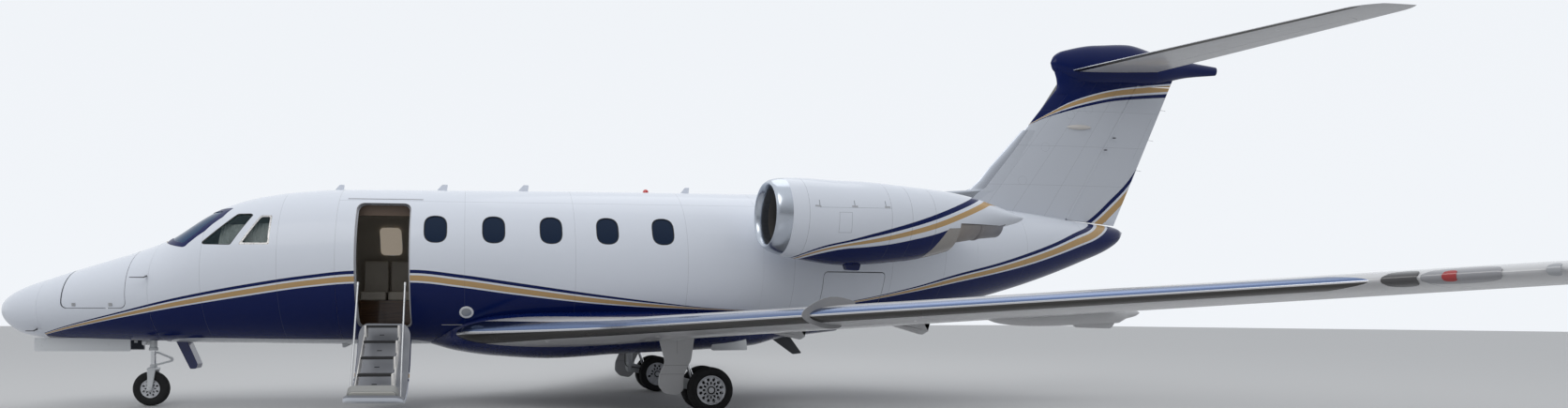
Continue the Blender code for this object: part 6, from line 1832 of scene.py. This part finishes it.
def cowl_points(s, side, inset, angle):
    """Ellipses across a cowl, drawn in by the inset."""
    middle, high, wide = columns(COWL, s[:, None])
    a = angle[None, :]
    y = side * ENGINE_Y + (wide - inset) * np.cos(a)
    return block_grid(at(s)[:, None], y, middle + (high - inset) * np.sin(a))


def cowl_solid(side, grow):
    s = spread(9.30, 12.45, 0.06)
    return loft(cowl_points(s, side, -grow, turn(64, 0.5)))


def cowl_rule(points):
    """Share of the way down from the cowl's thin line to its navy underside."""
    s, z = station(points[:, 0]), points[:, 2]
    top, navy = edge(COWL_LINE, s), edge(COWL_NAVY, s)
    return np.minimum((top - z) / (top - navy), np.clip((COWL_BAND_END - s) * 60, 0.0, 3.0) + 0.95)


def bare_rule(points):
    """Above 0 on the bare skirt, behind a slanted line on the cowl's underside."""
    s, z = station(points[:, 0]), points[:, 2]
    return np.minimum(s - 11.40 + (2.172 - z) * 0.6, (2.172 + (s - 11.40) * 0.063 - z) * 2)


class JET_OT_engines(Piecework, bpy.types.Operator):
    """Make the cowls, fans, exhausts and pylons"""
    bl_idname = "jet.engines"
    bl_label = "Engines"

    def build(self, sizes, paints):
        enamel = cowl_paint(paints)
        plain_enamel = plain("pylon enamel", paints.white, 0.22, coat_weight=0.5, coat_roughness=0.05)
        steel = heated("exhaust metal")
        duct = plain("duct lining", (0.13, 0.125, 0.12), 0.45, 0.2)
        titanium = brushed("fan blade", (0.22, 0.21, 0.20), 0.3)
        spinner = plain("spinner", (0.10, 0.10, 0.11), 0.3)
        for side, hand in SIDES:
            self.cowl(side, hand, enamel, duct)
            self.core(side, hand, sizes, steel)
            self.fan(side, hand, sizes, titanium, spinner)
            y = np.array((0.60, 0.95, 1.30))[:, None]
            (front, chord), (height, depth), section = (9.95, 2.25), (2.30, 0.085), foil(26)
            x = at(front + chord * section[None, :, 0])
            pylon = loft(block_grid(x, side * y, height + depth * section[None, :, 1]))
            pylon = carved(pylon, hull_solid(9.3, 12.9, -TOUCH))
            pylon = carved(pylon, cowl_solid(side, TOUCH))
            piece(f"pylon_skin_{hand}", pylon, "root", plain_enamel, (f"pylon_{hand}",), 28)
            self.details(side, hand, paints)
        return True

    def cowl(self, side, hand, enamel, duct):
        """Outer skin and duct as one wall, round at the lip and open behind."""
        a = turn(80, 0.5)
        lip = 9.30 + 0.15 * spread(0.0, 1.0, 0.08) ** 2
        rows = np.concatenate((lip, spread(9.48, 12.45, 0.05)))
        body = loft(cowl_points(rows, side, 0.0, a))
        inner = np.array(((9.285, 0.420, 2.350), (9.30, 0.376, 2.350), (9.33, 0.350, 2.349),
                          (9.38, 0.336, 2.345), (9.47, 0.335, 2.335), (9.74, 0.368, 2.28),
                          (11.30, 0.368, 2.28), (11.56, 0.300, 2.28), (12.02, 0.205, 2.28),
                          (12.26, 0.182, 2.28)))
        marks = np.concatenate((spread(9.285, 9.33, 0.006), spread(9.345, 9.74, 0.02),
                                spread(9.80, 12.26, 0.08)))
        radius, height = columns(inner, marks[:, None])
        y = side * ENGINE_Y + radius * np.cos(a)[None, :]
        hollow = block_grid(at(marks)[:, None], y, height + radius * np.sin(a)[None, :])
        body = carved(body, loft(hollow))
        cut = box((at(11.56), side * ENGINE_Y - 0.7, 1.4), (at(12.8), side * ENGINE_Y + 0.7, 2.235), 0.0)
        body = carved(body, cut)
        made = piece(f"cowl_skin_{hand}", body, "root", enamel, (f"nacelle_{hand}",), 40,
                     marks={"band": cowl_rule, "bare": bare_rule})
        made.data.materials.append(duct)
        self.line_duct(made.data, side)

    def line_duct(self, mesh, side):
        """The duct behind the polished lip gets the second material."""
        middle = vectors(mesh.polygons, "center")
        s = station(middle[:, 0])
        centre, high, wide = columns(COWL, s)
        share = ((middle[:, 1] - side * ENGINE_Y) / wide) ** 2 + ((middle[:, 2] - centre) / high) ** 2
        mesh.polygons.foreach_set("material_index", ((share < 0.93) & (s > 9.46)).astype(np.int32))

    def core(self, side, hand, sizes, steel):
        """Engine casing, exhaust pipe with a ring joint, and the plug inside it."""
        centre = (0.0, side * sizes.engine_y, sizes.engine_z)
        profile = [(9.9303, 0.0), (9.9303, 0.05), (10.06, 0.06), (10.06, 0.325), (10.30, 0.325),
                   (10.30, 0.3677), (10.46, 0.3677), (10.46, 0.325), (11.31, 0.325), (11.36, 0.255),
                   (11.60, 0.255), (11.80, 0.222), (11.93, 0.200), (11.94, 0.206), (11.965, 0.206),
                   (11.975, 0.194), (12.04, 0.184), (12.24, 0.166), (12.24, 0.160), (12.04, 0.174),
                   (11.60, 0.235), (11.42, 0.235), (11.42, 0.09), (11.75, 0.04), (11.86, 0.0)]
        body = turned(side_view(profile), centre, "X", 72, closed=False)
        piece(f"engine_core_skin_{hand}", body, "root", steel, (f"engine_core_{hand}",), 30)

    def fan(self, side, hand, sizes, titanium, spinner):
        """Twisted blades: each section turns further from the axis as it nears the tip."""
        centre = np.array((at(9.86), side * sizes.engine_y, sizes.engine_z))
        hub = ((0.07, 0.0), (0.07, 0.115), (-0.02, 0.115), (-0.06, 0.100), (-0.10, 0.076), (-0.14, 0.044),
               (-0.160, 0.018), (-0.165, 0.0))
        piece(f"fan_hub_{hand}", turned(hub, centre, "X", 56, closed=False), f"fan_{hand}", spinner,
              (f"fan_{hand}",), 35)
        foot, tip = 0.105, 0.357
        r = np.linspace(foot, tip, 9)[:, None]
        along_chord = np.array((-1.0, -0.5, 0.0, 0.5, 1.0, 0.5, 0.0, -0.5))[None, :]
        thick = np.array((0.0, 0.7, 1.0, 0.7, 0.0, -0.7, -1.0, -0.7))[None, :]
        share = (r - foot) / 0.252
        twist, chord = 0.45 + 0.62 * share, 0.034 + 0.016 * share
        half = 0.0032 - 0.0018 * share
        ahead = along_chord * chord * np.cos(twist) - thick * half * np.sin(twist)
        across = along_chord * chord * np.sin(twist) + thick * half * np.cos(twist)
        blades = Shape()
        for angle in turn(sizes.fan_blades):
            y = r * np.cos(angle) - across * np.sin(angle)
            z = r * np.sin(angle) + across * np.cos(angle)
            blades += loft(block_grid(ahead, y, z) + centre)
        piece(f"fan_blades_{hand}", blades, f"fan_{hand}", titanium)

    def details(self, side, hand, paints):
        """Air scoop below, access door and latches on the outboard side."""
        metal = plain("cowl latch", (0.42, 0.43, 0.46), 0.35)
        outline = side_view(((10.27, 1.79), (10.30, 1.70), (10.46, 1.69), (10.49, 1.79)), 0.02)
        scoop = cheek(outline, side * 1.56, side * 1.64, 0.006)
        navy = plain("scoop enamel", paints.navy, 0.2)
        piece(f"cowl_scoop_{hand}", scoop, "root", navy)
        parts = Shape()
        for s in (9.76, 10.20, 10.60):
            middle, high, _ = columns(COWL, s)
            angle = math.asin((2.40 - float(middle)) / float(high))
            angle = angle if side > 0 else np.pi - angle
            grid = cowl_points(np.linspace(s - 0.035, s + 0.035, 4), side, -0.0012,
                               np.linspace(angle - 0.02, angle + 0.02, 3))
            parts += sheet(grid, side * 0.004)
        piece(f"cowl_latches_{hand}", parts, "root", metal)


# Landing gear

# Legs' stations, the main legs' distance from the middle, and the axles' stations and heights
MAIN_LEG_S, MAIN_TRACK, MAIN_AXLE = 8.23, 1.421, (8.63, 0.270)
NOSE_LEG_S, NOSE_AXLE = 1.775, (1.751, 0.220)
# Tyres: radius, rim's radius and width
MAIN_TYRE, NOSE_TYRE = (0.270, 0.172, 0.146), (0.220, 0.118, 0.112)


def gear_finishes(place, gear):
    """Enamel, chrome, alloy and rubber of one gear."""
    return (plain(f"{place}gear enamel", gear, 0.35, coat_weight=0.3),
            plain(f"{place}oleo chrome", (0.75, 0.76, 0.78), 0.12, 1.0),
            plain(f"{place}wheel alloy", (0.62, 0.63, 0.66), 0.34, 0.35),
            plain(f"{place}tyre rubber", (0.009, 0.009, 0.010), 0.8, grain=260.0, size=0.0006))


def tyre(centre, radius, rim, width, grooves=4):
    """A tyre turned about Y: round shoulders, bulging walls and grooves round the tread."""
    half, wall = width / 2, radius - rim
    side = [(-half * 0.76, rim), (-half * 0.86, rim + 0.10 * wall), (-half * 0.97, rim + 0.30 * wall),
            (-half, rim + 0.48 * wall), (-half * 0.985, rim + 0.62 * wall),
            (-half * 0.92, rim + 0.78 * wall), (-half * 0.80, rim + 0.90 * wall),
            (-half * 0.64, rim + 0.965 * wall), (-half * 0.52, rim + 0.985 * wall)]
    tread = []
    for k in range(grooves):
        a = half * (-0.42 + 0.84 * k / (grooves - 1))
        top = radius - 0.004 * (a / half) ** 2
        tread += [(a - 0.0045, top), (a - 0.0035, top - 0.006), (a + 0.0035, top - 0.006), (a + 0.0045, top)]
    profile = side + tread + [(-a, r) for a, r in side[::-1]]
    return turned(profile, centre, "Y", 96)


def rim_shape(centre, radius, width, outward, bolts=12):
    """A wheel half turned about Y, with paired slots near its edge, hub cap and bolts."""
    half = width / 2
    profile = [(half, radius * 1.0), (half, radius * 0.95), (half * 0.90, radius * 0.92),
               (half * 0.84, radius * 0.88), (half * 0.88, radius * 0.70), (half * 0.92, radius * 0.46),
               (half * 0.94, radius * 0.30), (half * 0.98, radius * 0.26), (half * 1.00, radius * 0.10),
               (half * 1.00, 0.0), (-half * 0.9, 0.0), (-half * 0.9, radius * 0.24),
               (half * 0.55, radius * 0.28), (half * 0.55, radius * 0.86), (-half * 0.9, radius * 0.90),
               (-half, radius)]
    profile = [(outward * a, r) for a, r in profile]
    body = turned(profile, centre, "Y", 80, closed=False)
    slots = Shape()
    for k in range(bolts):
        for phase, near, far, wide in ((0.0, 0.37, 0.61, 0.080), (0.5, 0.60, 0.88, 0.105)):
            angle = 2 * np.pi * (k + phase) / bolts
            along_slot, across = turn(16), np.array((-np.sin(angle), np.cos(angle)))
            out = np.array((np.cos(angle), np.sin(angle)))
            oval_slot = ((near + far) / 2 + (far - near) / 2 * np.cos(along_slot))[:, None] * out
            oval_slot = (oval_slot + wide * np.sin(along_slot)[:, None] * across) * radius
            near_face, far_face = (centre[1] + outward * half * share for share in (0.3, 1.2))
            slots += cheek(oval_slot + (centre[0], centre[2]), near_face, far_face)
    body = carved(body, slots)
    studs = Shape()
    for angle in turn(bolts, 0.5):
        where = np.array((np.cos(angle), 0.0, np.sin(angle))) * radius * 0.36 + np.asarray(centre, float)
        studs += rod(where + (0, outward * half * 0.86, 0), where + (0, outward * half, 0), radius * 0.035,
                     6)
    return body, studs


class JET_OT_main_gear(Piecework, bpy.types.Operator):
    """Make the main legs with trailing arms, fairings, wheels and tyres"""
    bl_idname = "jet.main_gear"
    bl_label = "Main gear"

    def build(self, sizes, paints):
        paint, chrome, alloy, black = gear_finishes("", paints.gear)
        wing = self.panel_paint(paints)
        steel = brushed("gear bolt", (0.35, 0.35, 0.36))
        soot = plain("brake steel", (0.012, 0.012, 0.013), 0.7)
        for side, hand in SIDES:
            x, y = at(MAIN_LEG_S), side * MAIN_TRACK
            axle = np.array((at(MAIN_AXLE[0]), y, MAIN_AXLE[1]))
            top = float(wing_middle(MAIN_TRACK)) - 0.06
            leg = rod((x, y, 0.345), (x, y, top), 0.058, 40, 0.006)
            for z, r, tall in ((0.40, 0.066, 0.05), (0.62, 0.064, 0.03), (0.80, 0.066, 0.04)):
                leg += rod((x, y, z), (x, y, z + tall), r, 40, 0.006)
            outline = [(x - 0.06, 0.375), (x - 0.03, 0.290), (x + 0.08, 0.285),
                       (axle[0] + 0.01, axle[2] - 0.05), (axle[0] + 0.05, axle[2]),
                       (axle[0] + 0.01, axle[2] + 0.05), (x + 0.10, 0.415), (x, 0.425)]
            leg += plate(softened(outline, 0.03), "Y", y - 0.043, y + 0.043, 0.010)
            leg += rod((x - 0.005, y - 0.075, 0.352), (x - 0.005, y + 0.075, 0.352), 0.034, 28, 0.004)
            leg += rod((x + 0.245, y - 0.060, 0.352), (x + 0.245, y + 0.060, 0.352), 0.026, 24, 0.004)
            leg += rod((x + 0.07, y, top - 0.07), (x + 0.158, y, 0.60), 0.036, 30, 0.006)
            leg += rod((x + 0.06, y - 0.05, top - 0.07), (x + 0.06, y + 0.05, top - 0.07), 0.028, 24, 0.004)
            leg += rod((x - 0.02, y, 0.86), (x - 0.02, y - side * 0.36, 0.875), 0.026, 24, 0.004)
            piece(f"main_leg_skin_{hand}", leg, "root", paint, (f"main_gear_leg_{hand}",))
            shaft = rod((x + 0.158, y, 0.60), (x + 0.245, y, 0.352), 0.025, 30, 0.002)
            piece(f"main_oleo_{hand}", shaft, "root", chrome)
            lines = self.brake_lines(x, y, side)
            piece(f"main_brake_lines_{hand}", lines, "root", plain(f"brake line {hand}", (0.05, 0.05, 0.05),
                                                                   0.5))

            plate_outline = ((8.02, 0.905), (8.46, 0.905), (8.42, 0.62), (8.33, 0.45), (8.33, 0.27),
                             (8.25, 0.20), (8.10, 0.225), (8.02, 0.31), (8.03, 0.45), (8.10, 0.60))
            outer = y + side * 0.085
            fairing = cheek(side_view(plate_outline, 0.035), outer, outer + side * 0.017, 0.004)
            for z in (0.42, 0.72):
                low, high = sorted((y + side * 0.060, outer + side * 0.004))
                fairing += box((x - 0.028, low, z), (x + 0.028, high, z + 0.04), 0.006)
            piece(f"leg_fairing_skin_{hand}", fairing, "root", wing, (f"leg_fairing_{hand}",))

            rims, bolts, brakes = Shape(), Shape(), Shape()
            for way in (-1, 1):
                centre = axle + np.array((0.0, way * 0.155, 0.0))
                brakes += rod(centre - (0, way * 0.055, 0), centre + (0, way * 0.026, 0), 0.136, 48, 0.004)
                body, studs = rim_shape(centre, 0.172, 0.128, way)
                rims += body
                bolts += studs
                rims += rod(centre - (0, way * 0.058, 0), centre - (0, way * 0.075, 0), 0.10, 40, 0.004)
                ring = ((0.0615, 0.034), (0.0655, 0.034), (0.0655, 0.049), (0.0615, 0.049))
                brakes += turned([(way * a, r) for a, r in ring], centre, "Y", 48)
            rims += rod(axle - (0, 0.10, 0), axle + (0, 0.10, 0), 0.0255, 30)
            piece(f"main_rim_skin_{hand}", rims, f"main_wheels_{hand}", alloy,
                  (f"main_rims_{hand}",), 30)
            piece(f"main_rim_bolts_{hand}", bolts, f"main_wheels_{hand}", steel)
            piece(f"main_brakes_{hand}", brakes, f"main_wheels_{hand}", soot)
            for place, offset in (("inner", -side * 0.155), ("outer", side * 0.155)):
                shape = tyre(axle + np.array((0, offset, 0)), *MAIN_TYRE)
                piece(f"main_tyre_skin_{place}_{hand}", shape, f"main_wheels_{hand}", black,
                      (f"main_tyre_{place}_{hand}",), 40)
        return True

    def panel_paint(self, paints):
        """Wing enamel with the joints of the fairing's panels."""
        finish = Finish("leg fairing enamel", paints.wing, 0.3, coat_weight=0.2)
        s, _, z = finish.place()
        seams = seam_lines(z, (0.455, 0.560), 0.0025) + seam_lines(s, (8.247,), 0.002) * z.above(0.70)
        colour = finish.mix(seams.clamped() * 0.6, paints.wing, (0.10, 0.10, 0.11))
        return finish.set(base_color=colour, roughness=finish.noise(8.0) * 0.1 + 0.27).material

    def brake_lines(self, x, y, side):
        """Two pipes clipped down the front of the leg and along the arm."""
        made = Shape()
        for gap in (0.0, 0.018):
            path = np.array(((x - 0.063, y - side * (0.012 + gap), 0.84),
                             (x - 0.065, y - side * (0.012 + gap), 0.62),
                             (x - 0.066, y - side * (0.014 + gap), 0.45),
                             (x - 0.045, y - side * (0.035 + gap), 0.385),
                             (x + 0.06, y - side * (0.048 + gap * 0.4), 0.365), (x + 0.30, y - side * 0.049,
                                                                                 0.330)))
            fine = np.linspace(0, len(path) - 1, 40)
            made += tube(np.stack([along(range(len(path)), path[:, j], fine) for j in range(3)], -1), 0.0055,
                         10)
        return made


class JET_OT_nose_gear(Piecework, bpy.types.Operator):
    """Make the nose leg, fork, wheel, well and gear doors"""
    bl_idname = "jet.nose_gear"
    bl_label = "Nose gear"

    def build(self, sizes, paints):
        paint, chrome, alloy, black = gear_finishes("nose ", paints.gear)
        steel = brushed("nose gear steel", (0.50, 0.50, 0.51))
        x, axle = at(NOSE_LEG_S), np.array((at(NOSE_AXLE[0]), 0.0, NOSE_AXLE[1]))
        leg = rod((x, 0, 0.705), (x, 0, 1.05), 0.046, 40, 0.006)
        leg += rod((x, 0, 0.705), (x, 0, 0.745), 0.056, 40, 0.006)
        leg += rod((x, 0, 0.85), (x, 0, 0.89), 0.053, 40, 0.006)
        leg += rod((x - 0.03, 0, 0.865), (at(1.26), 0, 1.050), 0.020, 24, 0.003)
        leg += rod((x, -0.170, 1.03), (x, 0.170, 1.03), 0.028, 28, 0.003)
        leg += box((x - 0.045, -0.075, 0.90), (x + 0.045, 0.075, 0.96), 0.012)
        piece("nose_leg_skin", leg, "root", paint, ("nose_gear_leg",))
        lamps = Shape()
        for side, _ in SIDES:
            lamps += turned(((0.0, 0.0), (0.0, 0.038), (0.015, 0.044), (0.05, 0.036), (0.06, 0.0)),
                            (x - 0.11, side * 0.055, 0.815), "X", 32, closed=False)
        piece("nose_taxi_lamps", lamps, "root", lamp_finish("taxi lamp", (0.70, 0.72, 0.75)))

        fork = rod((x, 0, 0.487), (x, 0, 0.6995), 0.034, 40, 0.0)
        piece("nose_oleo", fork, "nose_steer", chrome)
        crown = box((x - 0.05, -0.088, 0.448), (x + 0.05, 0.088, 0.492), 0.014)
        crown += rod((x, 0, 0.485), (x, 0, 0.530), 0.043, 36, 0.004)
        blade = ((x - 0.05, 0.475), (x + 0.05, 0.475), (x + 0.030, 0.34), (axle[0] + 0.030, axle[2] - 0.015),
                 (axle[0] + 0.012, axle[2] - 0.036), (axle[0] - 0.018, axle[2] - 0.034),
                 (axle[0] - 0.032, axle[2] - 0.008), (x - 0.048, 0.34))
        for side, _ in SIDES:
            crown += cheek(softened(blade, 0.02), side * 0.063, side * 0.085, 0.005)
            crown += rod(axle + (0, side * 0.083, 0), axle + (0, side * 0.094, 0), 0.030, 6, 0.002)
        crown += rod(axle - (0, 0.100, 0), axle + (0, 0.100, 0), 0.0178, 30, 0.002)
        for z0, z1, far in ((0.665, 0.690, 0.600), (0.515, 0.540, 0.575)):
            link = ((x + 0.02, z0), (x + 0.02, z1), (x + 0.060, z1), (x + 0.235, far + 0.012),
                    (x + 0.235, far - 0.012), (x + 0.060, z0))
            crown += plate(softened(link, 0.008, 3), "Y", -0.020, 0.020, 0.004)
        crown += rod((x + 0.225, -0.030, 0.588), (x + 0.225, 0.030, 0.588), 0.013, 18, 0.002)
        piece("nose_fork_skin", crown, "nose_steer", paint, ("nose_fork",))

        rims, bolts = Shape(), Shape()
        for way in (-1, 1):
            body, studs = rim_shape(axle + np.array((0, way * 0.003, 0)), 0.118, 0.094, way, 8)
            rims += body
            bolts += studs
        piece("nose_rim_skin", rims, "nose_wheel", alloy, ("nose_rim",), 30)
        piece("nose_rim_bolts", bolts, "nose_wheel", steel)
        web = rod(axle - (0, 0.022, 0), axle + (0, 0.022, 0), 0.096, 40, 0.003)
        piece("nose_rim_web", web, "nose_wheel", plain("rim shadow", (0.012, 0.012, 0.013), 0.7))
        piece("nose_tyre_skin", tyre(axle, *NOSE_TYRE, 3), "nose_wheel", black, ("nose_tyre",), 40)

        well = box((at(0.67), -0.195, 0.90), (at(1.98), 0.195, 1.12), 0.0)
        well = carved(well, box((at(0.69), -0.173, 0.5), (at(1.96), 0.173, 1.103), 0.0))
        piece("nose_well_skin", well, "root", plain("well enamel", (0.42, 0.44, 0.45), 0.5),
              ("nose_wheel_well",))
        pale = plain("nose door enamel", paints.gear, 0.3, coat_weight=0.3)
        inky = plain("nose door liner", (0.010, 0.016, 0.030), 0.5)
        over = hull_solid(0.3, 3.0, -TOUCH)
        for side, hand in SIDES:
            door = side_view(((0.46, 0.712), (1.585, 0.705), (1.585, 0.871), (0.46, 0.878)), 0.02)
            door = carved(cheek(door, side * 0.215, side * 0.231, 0.003), over)
            low, high = sorted((side * 0.196, side * 0.217))
            for s in (0.62, 1.05, 1.48):
                door += box((at(s) - 0.02, low, 0.80), (at(s) + 0.02, high, 0.83), 0.003)
            liner = side_view(((0.48, 0.722), (1.575, 0.715), (1.575, 0.850), (0.48, 0.856)))
            liner = cheek(liner, side * 0.2128, side * 0.2149)
            piece(f"nose_gear_door_liner_{hand}", liner, "root", inky)
            low, high = sorted((side * 0.214, side * 0.246))
            for front, rear in ((1.35, 1.48), (1.62, 1.86)):
                door += box((at(front), low, 0.862), (at(rear), high, 0.918), 0.010)
            piece(f"nose_gear_door_skin_{hand}", door, "root", pale,
                  (f"nose_gear_door_{hand}",))
        blade = ((2.075, 0.842), (2.215, 0.836), (2.345, 0.535), (2.330, 0.475), (2.255, 0.470))
        aft = carved(plate(side_view(blade, 0.02), "Y", -0.10, 0.10, 0.004), over)
        navy = plain("aft door enamel", paints.navy, 0.18, coat_weight=0.5)
        piece("nose_aft_door_skin", aft, "root", navy, ("nose_gear_aft_door",))
        return True


# Small parts

class JET_OT_small_parts(Piecework, bpy.types.Operator):
    """Make the aerials, beacons, probes, service light and door frame"""
    bl_idname = "jet.small_parts"
    bl_label = "Small parts"

    def build(self, sizes, paints):
        white = plain("aerial enamel", paints.white, 0.3)
        dark = plain("probe metal", (0.10, 0.10, 0.11), 0.35, 0.5)
        silver = plain("frame enamel", (0.50, 0.51, 0.54), 0.35)
        blades = Shape()
        for s, long, tall in ((4.02, 0.13, 0.085), (5.34, 0.15, 0.090), (6.42, 0.15, 0.095),
                              (8.66, 0.13, 0.090)):
            base = float(columns(HULL, s)[0])
            outline = ((s, base - 0.01), (s + long, base - 0.01), (s + long * 1.10, base + tall),
                       (s + long * 0.62, base + tall))
            blades += plate(side_view(outline, 0.012), "Y", -0.006, 0.006, 0.003)
            blades += plate(rounded(long * 1.25, 0.05, 0.02, 6, (at(s + long * 0.5), 0.0)), "Z",
                            base - 0.012, base + 0.005, 0.002)
        piece("aerials", blades, "root", white)
        self.beacon("top_beacon", 8.19)
        self.port_lamp()
        self.vane(dark)
        self.door_frame(sizes, silver)
        return True

    def beacon(self, name, s):
        base = float(columns(HULL, s)[0])
        dome = turned(((-0.005, 0.0), (-0.005, 0.05), (0.006, 0.05), (0.010, 0.040), (0.030, 0.038),
                       (0.046, 0.028), (0.055, 0.012), (0.057, 0.0)), (at(s), 0.0, base), "Z", 32,
                      closed=False)
        piece(name, dome, "root", lamp_finish("beacon glass", (0.55, 0.02, 0.02)))

    def port_lamp(self):
        """Round lamp low on the port side: a white ring with a clear middle."""
        s, z = 5.76, 1.191
        centre = hull_side(s, z, -1)
        _, outward = hull_field(centre[None, :])
        turn_to = Vector(outward[0]).to_track_quat("X", "Z").to_matrix().to_4x4()
        place = Matrix.Translation(Vector(centre)) @ turn_to
        ring = turned(((-0.01, 0.062), (-0.01, 0.088), (0.004, 0.088), (0.008, 0.080), (0.006, 0.062)),
                      (0, 0, 0), "X", 48)
        lens = turned(((-0.008, 0.0), (-0.008, 0.0615), (0.002, 0.0615), (0.006, 0.040), (0.008, 0.0)),
                      (0, 0, 0), "X", 48, closed=False)
        white = plain("lamp ring", (0.82, 0.83, 0.85), 0.3)
        piece("side_lamp_ring", ring.moved(place), "root", white)
        piece("side_lamp_lens", lens.moved(place), "root", lamp_finish("side lamp", (0.35, 0.37, 0.40)))

    def vane(self, dark):
        """Pitot masts and an angle vane on the nose."""
        made = Shape()
        for side, _ in SIDES:
            for s, z, long in ((1.98, 1.62, 0.16), (0.56, 0.985, 0.09)):
                foot = hull_side(s, z, side)
                out = np.array((0.0, side * 0.085, -0.02))
                made += rod(foot - out * 0.1, foot + out, 0.010, 16, 0.002, 0.007)
                made += rod(foot + out + (0.012, 0, 0), foot + out - (long, 0, 0), 0.0065, 16, 0.002, 0.005)
        piece("probes", made, "root", dark)

    def door_frame(self, sizes, silver):
        """A bright frame just inside the doorway, with a stop all round that the shut door meets."""
        around, within = door_prism(sizes, 0.0006), door_prism(sizes, -0.0052, near=0.28)
        ring = kept(door_shell(0.012, HULL_WALL - 0.010), around, within)
        stop = kept(door_shell(0.055, 0.012), around, door_prism(sizes, -0.019, near=0.28))
        piece("door_frame", ring + stop, "root", silver)
        gutter = tube(hull_side(spread(4.30, 5.22, 0.04), 2.605, -1, -0.002), 0.006, 12)
        piece("door_gutter", gutter, "root", silver)
        head = box((at(4.42), -0.572, 2.40), (at(5.09), -0.560, 2.538), 0.003)
        tan = leather_finish("header leather", (0.16, 0.11, 0.08))
        piece("door_header", head, "root", tan)
        window = side_prism(rounded(0.30, 0.37, 0.06, 6, (4.679, 2.205)), 1)
        shade = kept(hull_shell(4.45, 4.91, 0.090, 0.004), window)
        cloth = Finish("window shade", (0.72, 0.64, 0.54), 0.9)
        cloth.set(roughness=cloth.noise(40.0) * 0.1 + 0.8, emission_color=(0.72, 0.62, 0.50),
                  emission_strength=0.30)
        piece("entry_window_shade", shade, "root", cloth.material)


class JET_OT_studio(bpy.types.Operator):
    """Make the floor, the lights and the camera"""
    bl_idname = "jet.studio"
    bl_label = "Studio"
    bl_options = {"REGISTER", "UNDO"}

    def execute(self, context):
        scene = context.scene
        mesh = bpy.data.meshes.new("floor")
        mesh.from_pydata([(-90, -60, 0), (90, -60, 0), (90, 120, 0), (-90, 120, 0)], [], [(0, 1, 2, 3)])
        floor = bpy.data.objects.new("studio_floor", mesh)
        mesh.materials.append(plain("studio floor", (0.50, 0.50, 0.50), 0.85))
        scene.collection.objects.link(floor)

        world = bpy.data.worlds.new("studio")
        scene.world = world
        world.use_nodes = True
        self.sky(world.node_tree)
        self.light(scene, "key", (-10.0, -13.0, 16.0), (-1.0, 0.0, 1.6), 12.0, 700.0, (1.0, 0.98, 0.95))
        self.light(scene, "top", (3.0, 4.0, 15.0), (1.0, 0.0, 1.0), 12.0, 300.0, (1.0, 1.0, 1.0))

        data = bpy.data.cameras.new("photo camera")
        data.sensor_width, data.lens = 36.0, 18.58
        data.shift_x, data.shift_y = 0.1367, 0.0731
        data.clip_start, data.clip_end = 0.1, 400.0
        camera = bpy.data.objects.new("photo camera", data)
        scene.collection.objects.link(camera)
        camera.location = (-2.558, -10.914, 1.112)
        camera.rotation_euler = (math.radians(90.0), 0.0, math.radians(-6.63))
        scene.camera = camera
        scene.view_settings.view_transform = "Standard"
        return {"FINISHED"}

    def sky(self, tree):
        """Pale all round, and dimmer low down on the near side, which is what the port side mirrors."""
        where = tree.nodes.new("ShaderNodeTexCoord")
        split = tree.nodes.new("ShaderNodeSeparateXYZ")
        tree.links.new(where.outputs["Generated"], split.inputs[0])
        _, y, z = (Expr(tree, socket) for socket in split.outputs)
        high = ((z - 0.05) / 0.80).clamped()
        near = ((0.25 - y) / 1.1).clamped()
        level = high * 0.92 + (1.0 - high) * (0.95 - near * 0.68)
        feed(tree, tree.nodes["Background"].inputs["Color"], (0.93, 0.96, 1.0))
        feed(tree, tree.nodes["Background"].inputs["Strength"], level)

    def light(self, scene, name, place, aim, size, power, colour):
        data = bpy.data.lights.new(name, "AREA")
        data.shape, data.size, data.energy, data.color = "DISK", size, power, colour
        made = bpy.data.objects.new(name, data)
        scene.collection.objects.link(made)
        made.location = place
        made.rotation_euler = (Vector(aim) - Vector(place)).to_track_quat("-Z", "Y").to_euler()


STEPS = (JET_OT_hull, JET_OT_windows, JET_OT_doors, JET_OT_cabin, JET_OT_wings, JET_OT_belly, JET_OT_tail,
         JET_OT_engines, JET_OT_main_gear, JET_OT_nose_gear, JET_OT_small_parts, JET_OT_studio)


class JET_PT_panel(bpy.types.Panel):
    """Buttons for every group of pieces, with their sizes and colours"""
    bl_idname = "JET_PT_panel"
    bl_label = "Business jet"
    bl_space_type = "VIEW_3D"
    bl_region_type = "UI"
    bl_category = "Jet"

    def draw(self, context):
        for step in STEPS:
            self.layout.operator(step.bl_idname)
        for group in (context.scene.jet_sizes, context.scene.jet_paints):
            column = self.layout.column()
            for label in group.bl_rna.properties.keys():
                if label not in ("rna_type", "name"):
                    column.prop(group, label)


CLASSES = (JetPaints, JetSizes, *STEPS, JET_PT_panel)


def register():
    for kind in CLASSES:
        bpy.utils.register_class(kind)
    bpy.types.Scene.jet_sizes = PointerProperty(type=JetSizes)
    bpy.types.Scene.jet_paints = PointerProperty(type=JetPaints)


def unregister():
    del bpy.types.Scene.jet_paints
    del bpy.types.Scene.jet_sizes
    for kind in reversed(CLASSES):
        bpy.utils.unregister_class(kind)


def main():
    """Run every step in order."""
    register()
    for step in STEPS:
        group, label = step.bl_idname.split(".")
        getattr(getattr(bpy.ops, group), label)()


if __name__ == "__main__":
    main()
